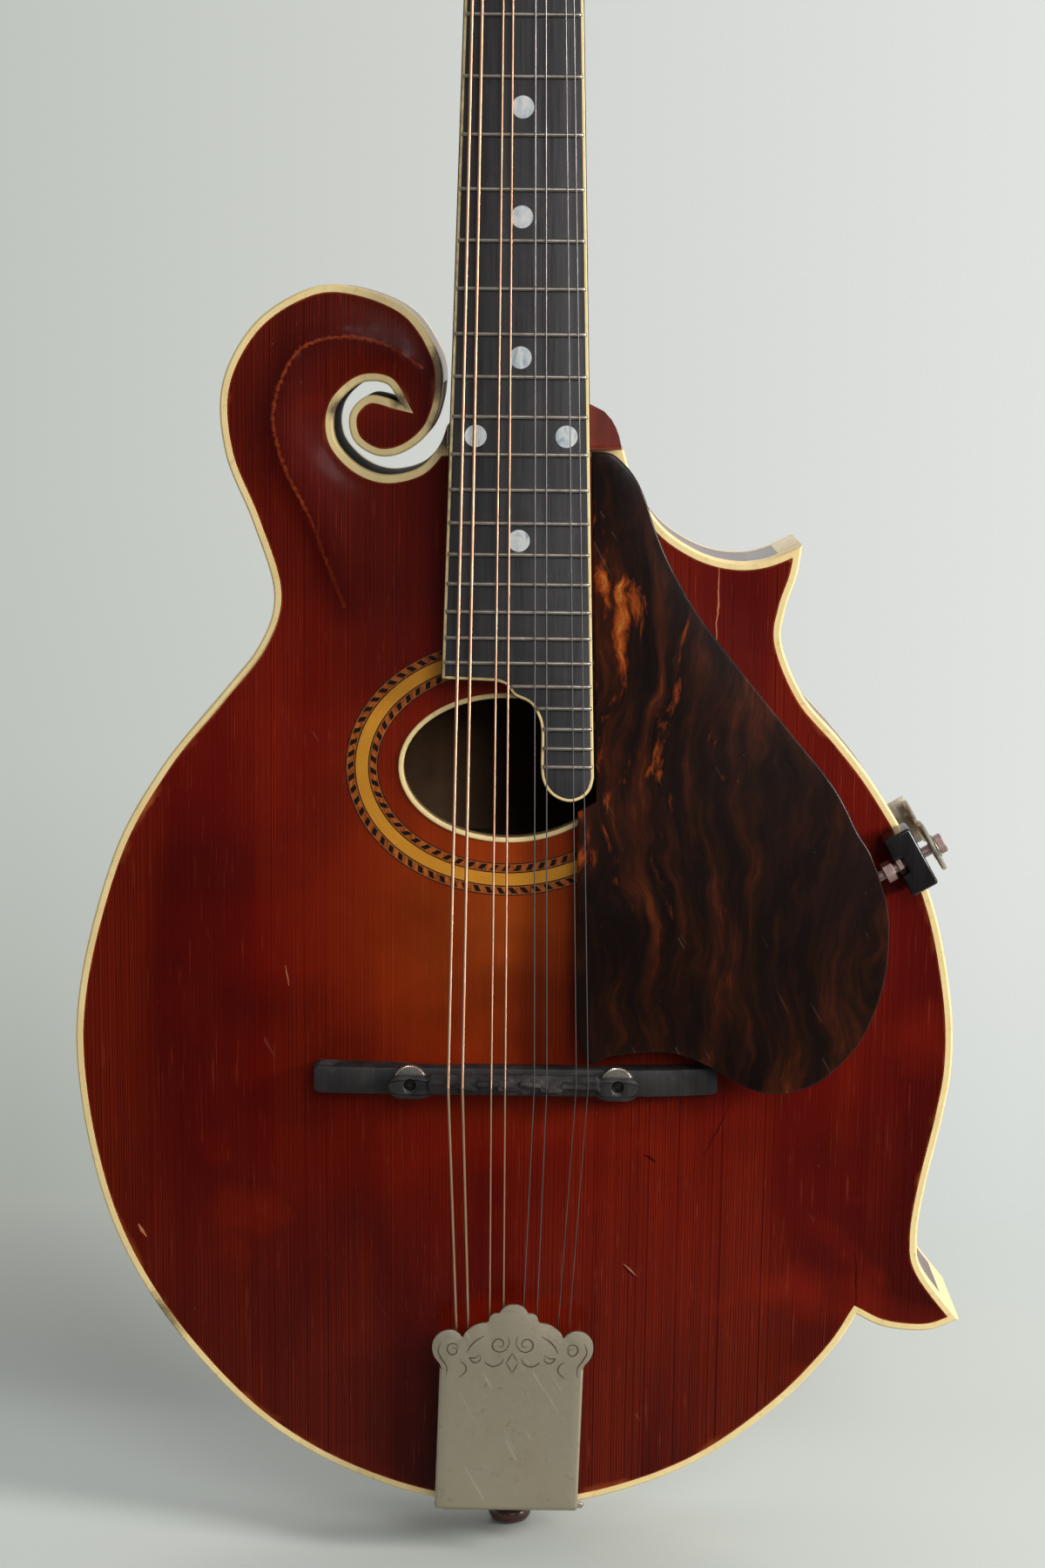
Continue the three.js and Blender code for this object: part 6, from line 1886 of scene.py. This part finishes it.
def build_bridge():
    left, right = BRIDGE_BASE
    stations = {*np.linspace(left + 0.02, right - 0.02, 91).round(2).tolist(), -BASE_PLATFORM, BASE_PLATFORM}
    stations |= {place for gap in (0.3, 0.8, 1.6) for place in (left + gap, right - gap)}
    rings = [bridge_base_section(x) for x in sorted(stations)]
    skin("bridge_base", rings, BRIDGE_EBONY, "bridge_base", smooth_angle=28)

    for side, label in ((-1, "bass"), (1, "treble")):
        x = side * BRIDGE_POST_X
        foot = -HALF_DEPTH - arch_at(x, BRIDGE_HEIGHT) - 0.4
        profile = [(0.02, -38.9), (0.75, -38.9), (0.8, -38.3), (0.95, -38.9), (1.25, -38.9), (1.5, -38.6)]
        y = -38.3
        while y < foot:
            profile += [(1.5, y), (1.3, y + 0.3)]
            y += 0.6
        profile += [(1.5, foot), (0.02, foot)]
        node = f"bridge_post_{label}"
        skin(node, along_y(profile, 24, x, BRIDGE_HEIGHT), SOCKET_SHADED_STEEL, node)

        outline = [(x + px, BRIDGE_HEIGHT + pz) for px, pz in toothed_outline(60, WHEEL_RADIUS, 0.3)]
        node = f"bridge_wheel_{label}"
        low, high = SADDLE_BOTTOM + 0.3, BRIDGE_BASE_TOP - 0.3
        wheel = round_slab(node, outline, low, high, 0.3, WHEEL_METAL, segments=1)
        finish_piece(wheel, node, node)

    build_saddle()


def saddle_section(x):
    """The saddle across its width: broad rounded feet, a slim bar and a notched crest."""
    out = abs(x) - BRIDGE_POST_X
    reach, high = SADDLE_END
    foot = high * max(0, 1 - (out / reach) ** 4) ** 0.5
    bar = 3.0 if abs(x) < BRIDGE_POST_X else 0
    half = max(foot, bar, 0.3)
    low = SADDLE_BOTTOM - 0.9 * math.exp(-(((abs(x) - 12) / 7) ** 2)) if abs(x) < 24 else SADDLE_BOTTOM
    shoulder = SADDLE_SHOULDER - 0.12 * math.sin(abs(x))
    crest = np.interp(x, [p for p, _ in SADDLE_STEPS], [o for _, o in SADDLE_STEPS])
    on_ridge = SADDLE_STEPS[0][0] < x < SADDLE_STEPS[-1][0]
    top = SADDLE_TOP if on_ridge else shoulder
    for slot, radius in zip(SADDLE_SLOTS, STRING_RADII):
        if abs(x - slot) < radius * 1.1:
            top += SADDLE_NOTCH
    thin, wide = (0.42, 1.5) if on_ridge else (half * 0.55, half * 0.7)
    crest = crest if on_ridge else 0
    edge = min(0.7, half * 0.3)
    section = [
        (low + 0.35, half - 0.35 if half > 1 else half), (low, half - edge), (low, -half + edge),
        (low + 0.35, -half + 0.35 if half > 1 else -half), (shoulder + 0.8, -half),
        (shoulder + 0.1, -half + edge),
        (shoulder - 0.05, -wide), (top + 0.35, crest - thin - 0.25), (top, crest - thin),
        (top, crest + thin), (top + 0.35, crest + thin + 0.25), (shoulder - 0.05, wide),
        (shoulder + 0.1, half - edge), (shoulder + 0.8, half),
    ]
    drop = SADDLE_END_DROP * min(1, foot / high * 1.4)
    return [(x, y, BRIDGE_HEIGHT + z - drop) for y, z in section]


def build_saddle():
    reach = BRIDGE_POST_X + SADDLE_END[0]
    stations = set(np.linspace(-reach + 0.02, reach - 0.02, 143).round(2).tolist())
    stations |= {side * (reach - gap) for side in (-1, 1) for gap in (0.05, 0.15, 0.35)}
    stations |= {x for x, _ in SADDLE_STEPS}
    stations |= {slot + side * radius * 1.1 + side * d for slot, radius in zip(SADDLE_SLOTS, STRING_RADII)
                 for side in (-1, 1) for d in (-0.02, 0.02)}
    stations |= {SADDLE_STEPS[0][0] + 0.02, SADDLE_STEPS[-1][0] - 0.02}
    rings = [saddle_section(x) for x in sorted(stations)]
    saddle = make_piece("saddle", *rings_mesh(rings), BRIDGE_EBONY, smooth_angle=28)
    for side in (-1, 1):
        rings = along_y([(1.75, -42), (1.75, -35)], 32, side * BRIDGE_POST_X, BRIDGE_HEIGHT)
        bore = make_piece("bore", *rings_mesh(rings), BRIDGE_EBONY)
        cut_out(saddle, bore)
    finish_piece(saddle, "saddle", "saddle")


def apply_modifiers(piece):
    depsgraph = bpy.context.evaluated_depsgraph_get()
    mesh = bpy.data.meshes.new_from_object(piece.evaluated_get(depsgraph))
    piece.modifiers.clear()
    piece.data = mesh


def cut_out(piece, cutter):
    """Takes the cutter's form out of the piece for good."""
    maker = piece.modifiers.new("cut", "BOOLEAN")
    maker.operation = "DIFFERENCE"
    maker.solver = "EXACT"
    maker.object = cutter
    apply_modifiers(piece)
    bpy.data.objects.remove(cutter)


# Tailpiece
COVER_LEAN = 0.029
COVER_LEAN_FROM = 45
FACE_LEAN = 0.02
FACE_LEAN_FROM = 63
COVER_CENTRE = 0.3
COVER_EDGE = [
    (1.0, 81.3), (2.5, 80.7), (3.7, 79.5), (4.2, 78.7), (5.7, 78.5), (7.0, 77.5), (7.5, 75.9),
    (10.3, 75.3), (12.8, 73.8), (14.3, 72.2), (14.9, 71.1), (16.2, 72.4), (18.5, 73.3),
    (21.2, 72.7), (23.2, 70.6), (23.8, 67.9), (23.1, 65.1), (21.4, 62.8), (20.95, 61.4),
]
ENGRAVED_LINES = [
    [(1.5, 71.7), (1.0, 69.5), (2.0, 67.5), (3.9, 66.7), (5.7, 67.7), (5.9, 69.5), (4.7, 70.7),
     (3.2, 70.4), (2.7, 69.2), (3.4, 68.2), (4.2, 68.7)],
    [(2.6, 64.8), (3.4, 63.1), (5.7, 62.2), (7.6, 63.1), (8.1, 63.8)],
    [(9.4, 66.0), (11.1, 64.8), (12.6, 64.8), (11.3, 63.3), (9.6, 64.0), (9.5, 65.3)],
    [(8.4, 71.7), (10.8, 70.2), (12.6, 68.2), (13.5, 66.3)],
    [(16.0, 67.4), (16.9, 69.0), (18.7, 68.9), (19.3, 67.1), (18.0, 65.7), (16.6, 66.3), (16.6, 67.6),
     (17.9, 67.8)],
    [(21.2, 69.4), (22.0, 66.8), (20.9, 64.4), (19.3, 61.8), (19.5, 58.9)],
    [(15.5, 63.8), (13.9, 62.5), (13.7, 60.6), (15.6, 58.6)],
]
DIAMOND = [(0, 66.4), (1.75, 63.3), (0, 60.2), (-1.75, 63.3), (0, 66.4)]


def leaned(x, z):
    return x + COVER_LEAN * (z - COVER_LEAN_FROM)


def on_face(x, z):
    """The place across the cover's face: its ornament leans a little less than its sides."""
    return COVER_CENTRE + x + FACE_LEAN * (z - FACE_LEAN_FROM)


def cover_sheet():
    """The cover as one bent sheet: a lobed face, two side leaves and a rounded fold below."""
    half = COVER_WIDTH / 2
    corner = 0.9
    back = COVER_FRONT + COVER_DEPTH
    side_top = COVER_EDGE[-1][1]
    levels = [side_top - (side_top - COVER_BOTTOM - COVER_ROUND) * i / 10 for i in range(11)]
    bend = [math.pi / 2 * i / 8 for i in range(1, 9)]
    fold = [(COVER_BOTTOM + COVER_ROUND * (1 - math.sin(a)), COVER_ROUND * (1 - math.cos(a))) for a in bend]
    rows = [(z, 0) for z in levels] + fold
    shaper = bmesh.new()
    grid = []
    for z, sunk in rows:
        front = COVER_FRONT + sunk
        path = [(-half, back), (-half, (front + corner + back) / 2), (-half, front + corner)]
        path += [
            (-half + corner * (1 - math.cos(a)), front + corner * (1 - math.sin(a)))
            for a in (math.pi / 6, math.pi / 3, math.pi / 2)
        ]
        path += [(-half + corner + (2 * half - 2 * corner) * i / 16, front) for i in range(1, 16)]
        path += [(-x, y) for x, y in reversed(path[:6])]
        grid.append([
            shaper.verts.new(Vector((TAIL_X + leaned(x, z), y, z)) * MM) for x, y in path
        ])
    for upper, lower in zip(grid, grid[1:]):
        for k in range(len(upper) - 1):
            shaper.faces.new((upper[k], upper[k + 1], lower[k + 1], lower[k]))
    shaper.faces.new(grid[-1])
    edge = smooth(COVER_EDGE, 3)[:-1]
    right, left = [
        [shaper.verts.new(Vector((on_face(side * x, z), COVER_FRONT, z)) * MM) for x, z in edge]
        for side in (1, -1)
    ]
    face_row = grid[0][5:-5]
    lobes = shaper.faces.new([*face_row, *reversed(right), *left])
    bmesh.ops.recalc_face_normals(shaper, faces=shaper.faces)
    bmesh.ops.triangulate(shaper, faces=[lobes])
    mesh = bpy.data.meshes.new("tailpiece_cover")
    shaper.to_mesh(mesh)
    shaper.free()
    return mesh


def build_cover():
    mesh = cover_sheet()
    cover = placed("tailpiece_cover", mesh, COVER_METAL)
    facing = sum(polygon.normal.y * polygon.area for polygon in mesh.polygons)
    sheet = cover.modifiers.new("sheet", "SOLIDIFY")
    sheet.thickness = COVER_SHEET * MM
    sheet.offset = -1 if facing < 0 else 1
    rounding = cover.modifiers.new("rounding", "BEVEL")
    rounding.width = 0.22 * MM
    rounding.segments = 2
    rounding.limit_method = "ANGLE"
    rounding.angle_limit = math.radians(50)
    apply_modifiers(cover)
    cover.data.shade_smooth()
    cover.data.set_sharp_from_angle(angle=math.radians(35))
    finish_piece(cover, "tailpiece_cover", "tailpiece_cover")

    for number, line in enumerate(ENGRAVED_LINES, 1):
        for side in (-1, 1):
            points = [(on_face(side * x, z), z) for x, z in smooth(line, 6)]
            engraved_line(f"engraved_line_{number}_{'left' if side < 0 else 'right'}", points, 0.2)
    for number, (a, b) in enumerate(zip(DIAMOND, DIAMOND[1:]), 1):
        points = [(COVER_CENTRE + x, z) for x, z in straight(a, b, 6)] + [(COVER_CENTRE + b[0], b[1])]
        engraved_line(f"engraved_diamond_{number}", points, 0.17)


def engraved_line(name, points, half):
    """A cut line with tarnish in it, thin at both its ends."""
    line = np.array(points)
    run = np.gradient(line, axis=0)
    run /= np.maximum(np.linalg.norm(run, axis=1), 1e-9)[:, None]
    across = np.stack([-run[:, 1], run[:, 0]], 1)
    rings = []
    for i, (x, z) in enumerate(line):
        wide = half * (0.25 + 0.75 * math.sin(math.pi * i / (len(line) - 1)))
        dx, dz = across[i] * wide
        rings.append([
            (x - dx, COVER_FRONT - 0.04, z - dz), (x + dx, COVER_FRONT - 0.04, z + dz),
            (x + dx, COVER_FRONT + 0.3, z + dz), (x - dx, COVER_FRONT + 0.3, z - dz),
        ])
    skin(name, rings, ENGRAVING, "tailpiece_cover", "tailpiece_cover")


TAIL_BEND = 7


def build_tailpiece():
    left = TAIL_X - TAIL_BASE_WIDTH / 2
    right = TAIL_X + TAIL_BASE_WIDTH / 2
    sheet = 1.2
    seat = -HALF_DEPTH - arch_at(TAIL_X, TAIL_BASE_TOP)
    front, end = TAIL_BASE_FRONT, BODY_BOTTOM - 0.55
    outside = [(seat, TAIL_BASE_TOP)]
    outside += [
        (front + 1.4 * (1 - math.sin(a)), TAIL_BASE_TOP - 1.4 * (1 - math.cos(a)))
        for a in [math.pi / 2 * i / 5 for i in range(6)]
    ]
    outside += [
        (front + TAIL_BEND * (1 - math.cos(a)), end - sheet + TAIL_BEND * (1 - math.sin(a)))
        for a in [math.pi / 2 * i / 8 for i in range(9)]
    ]
    outside.append((10, end - sheet))
    line = np.array(outside)
    run = np.gradient(line, axis=0)
    run /= np.linalg.norm(run, axis=1)[:, None]
    within = line + np.stack([-run[:, 1], run[:, 0]], 1) * sheet
    if within[8][0] < line[8][0]:
        within = line - np.stack([-run[:, 1], run[:, 0]], 1) * sheet
    section = [tuple(p) for p in line] + [tuple(p) for p in within[::-1]]
    stations = [left, left + 0.15, *np.linspace(left + 1, right - 1, 13).tolist(), right - 0.15, right]
    rings = [[(x, y, z) for y, z in section] for x in stations]
    skin("tailpiece_base", rings, NICKEL, "tailpiece_base")

    bar = [(-25.6, 50.6), (-25.75, 51.3), (-25.6, 52.0), (front + 0.1, 52.0), (front + 0.1, 50.6)]
    rings = [[(x, y, z) for y, z in bar] for x in np.linspace(left + 0.3, right - 0.3, 9)]
    skin("tailpiece_hook_bar", rings, NICKEL, "tailpiece_base")
    for number, slot in enumerate(TAIL_SLOTS, 1):
        x = TAIL_X + slot
        route = [(x, front, 51.3), (x, -25.4, 51.3), (x, -26.6, 51.1), (x, -27.2, 50.4), (x, -27.3, 49.4)]
        hook = tube(f"tailpiece_hook_{number}", smooth([Vector(p) for p in route], 4), 0.62, 14, NICKEL)
        finish_piece(hook, "tailpiece_base")
    for side, x, word in ((-1, left, "bass"), (1, right, "treble")):
        outline = [(-2, 12.4), (1.9, 12.6), (2.6, 13.6), (1.6, 14.4), (-2, 15)]
        outline = [(x + side * out, z) for out, z in outline]
        low, high = front + 3.4, front + 4.6
        tab = round_slab(f"tailpiece_tab_{word}", outline, low, high, 0.25, NICKEL, segments=2)
        finish_piece(tab, "tailpiece_base")
    for side, word in ((-1, "bass"), (1, "treble")):
        head = turned([(2.4, 0), (2.3, 0.45), (1.5, 0.95), (0.02, 1.15)], 24)
        rings = [[(TAIL_X + side * 13 + px, py, end - sheet - out) for px, py, out in ring] for ring in head]
        skin(f"tailpiece_screw_{word}", rings, NICKEL)

    profile = [
        (0.02, 0.02), (3.2, 0.0), (4.6, 0.25), (5.7, 0.9), (6.4, 2.0), (6.6, 3.1), (6.35, 4.1), (5.9, 4.7),
        (5.55, 5.0), (5.6, 5.35), (6.1, 5.7), (6.3, 6.3), (6.1, 7.0), (5.4, 7.5), (4.6, 8.2), (4.3, 9.4),
        (4.6, 10.2), (4.8, 10.7), (3.4, 10.8), (3.4, 12.5), (2.9, 28.5), (0.02, 28.6),
    ]
    rings = [[(TAIL_X + px, py, z) for px, py, z in ring] for ring in turned(smooth(profile, 2), 48)]
    skin("end_pin", rings, PIN_WOOD, "end_pin")


# Guard and its clamp
NUT_TURN = 0.2


def build_guard():
    def beside_board(down):
        return np.array((board_side(down) + 0.3, -down))

    edge = [(GUARD_LEFT + a * GUARD_WIDTH, -GUARD_TOP - d * GUARD_LENGTH) for a, d in GUARD_SHARES]
    curve = smooth(edge, 5)
    low = BOARD_END + EXTENSION
    outline = [
        beside_board(GUARD_TOP), *curve, *straight(curve[-1], (GUARD_LEFT, -low - 3), 8)[1:],
        np.array((GUARD_LEFT, -low - 3)), beside_board(low),
        *straight(beside_board(low), beside_board(GUARD_TOP), 16)[1:],
    ]
    back = GUARD_RECESS + GUARD_THICKNESS
    guard = round_slab("pickguard", outline, GUARD_RECESS, back, 0.55, TORTOISE, BOARD, 3)
    finish_piece(guard, "pickguard")
    for number, down in enumerate((187.5, 235), 1):
        start = board_side(down) + 0.35
        route = [(x, back + 0.9, -down) for x in (start - 2, start + 8)]
        pin = tube(f"guard_pin_{number}", route, 0.85, 12, NICKEL, BOARD)
        finish_piece(pin, "pickguard")


def hex_nut(name, low, high, radius, y):
    angles = [math.pi * k / 3 + NUT_TURN for k in range(6)]
    corners = [(radius * math.cos(angle), radius * math.sin(angle)) for angle in angles]
    rings = [
        [(x, y + py * share, pz * share) for py, pz in corners]
        for x, share in ((low, 0.88), (low + 0.3, 1), (high - 0.3, 1), (high, 0.88))
    ]
    skin(name, rings, ROD_METAL, "guard_clamp_rod", place=CLAMP, smooth_angle=20)


def build_clamp():
    half, length, front, back, rod_y = 4.25, 9.25, -31, -20, -27.4
    outline = [
        (-half, -length), (half, -length), (half, length), (-half, length), (-half, 2.6), (-half + 2.6, 2.6),
        (-half + 2.6, -2.6), (-half, -2.6),
    ]
    block_piece = make_piece("guard_clamp_block", *slab_mesh(outline, front, back), CLAMP_BLACK, CLAMP)
    bevel(block_piece, 1.0, 3)
    finish_piece(block_piece, "guard_clamp_block")
    route = [(x, rod_y, 0) for x in (-17.5, -17.2, -8, 0, 8, 8.5)]
    rod = tube("guard_clamp_rod", route, 1.55, 20, ROD_METAL, CLAMP)
    finish_piece(rod, "guard_clamp_rod")
    hex_nut("guard_clamp_nut_inner", -3.9, -1.9, 2.9, rod_y)
    hex_nut("guard_clamp_nut_left", -8.2, -5.0, 3.1, rod_y)
    profile = [(1.6, 8.42), (3.4, 8.42), (3.5, 8.7), (3.4, 8.95), (1.6, 8.95)]
    rings = [[(z, rod_y + px, py) for px, py, z in ring] for ring in turned(profile, 32)]
    skin("guard_clamp_washer", rings, NICKEL, "guard_clamp_rod", place=CLAMP)
    hex_nut("guard_clamp_nut_right", 8.95, 11.2, 2.9, rod_y)
    build_bracket()


def build_bracket():
    """A thin bracket cut with scrolls: it climbs the rim and hooks over the back plate's edge."""
    inner, outer = 7.2, 8.3
    middle = (inner + outer) / 2
    plate_width, arm = 7.5, 2.2
    corners = [(-31, -arm), (-31, arm), (20.2, arm), (20.2, -arm)]
    rings = [[(x, y, z) for y, z in corners] for x in (inner, outer)]
    spine = make_piece("guard_bracket_spine", *rings_mesh(rings), NICKEL, CLAMP)
    pieces = [bevel(spine, 0.25, 2)]
    scrolls = [(-30.4, -22, 1, 1), (-22, -12.5, 0.8, 1), (10, 19.6, 0.9, -1)]
    for side in (-1, 1):
        word = "left" if side < 0 else "right"
        for number, (start, end, bulge, turned_up) in enumerate(scrolls, 1):
            route = []
            for i in range(17):
                out = arm - 0.5 + (plate_width - arm) * bulge * math.sin(math.pi * i / 16)
                route.append((middle, start + (end - start) * i / 16, side * out))
            pieces.append(tube(f"guard_bracket_scroll_{number}_{word}", route, 0.75, 12, NICKEL, CLAMP))
            curl = []
            for i in range(22):
                turn = i / 21 * 1.6 * math.pi
                reach = 1.9 * (1 - 0.55 * i / 21)
                y = (start + end) / 2 + reach * math.cos(turn) * turned_up
                curl.append((middle, y, side * (arm + 1.6 + reach * math.sin(turn) * 0.8)))
            pieces.append(tube(f"guard_bracket_curl_{number}_{word}", curl, 0.5, 10, NICKEL, CLAMP))
    corners = [(0.6, 19.2), (outer, 19.2), (outer, 20.4), (0.6, 20.4)]
    rings = [[(x, y, z) for x, y in corners] for z in (-plate_width, plate_width)]
    hook = make_piece("guard_bracket_hook", *rings_mesh(rings), NICKEL, CLAMP)
    pieces.append(bevel(hook, 0.3, 2))
    for piece in pieces:
        finish_piece(piece, "guard_clamp_bracket")


build_strings()
build_bridge()
build_cover()
build_tailpiece()
build_guard()
build_clamp()
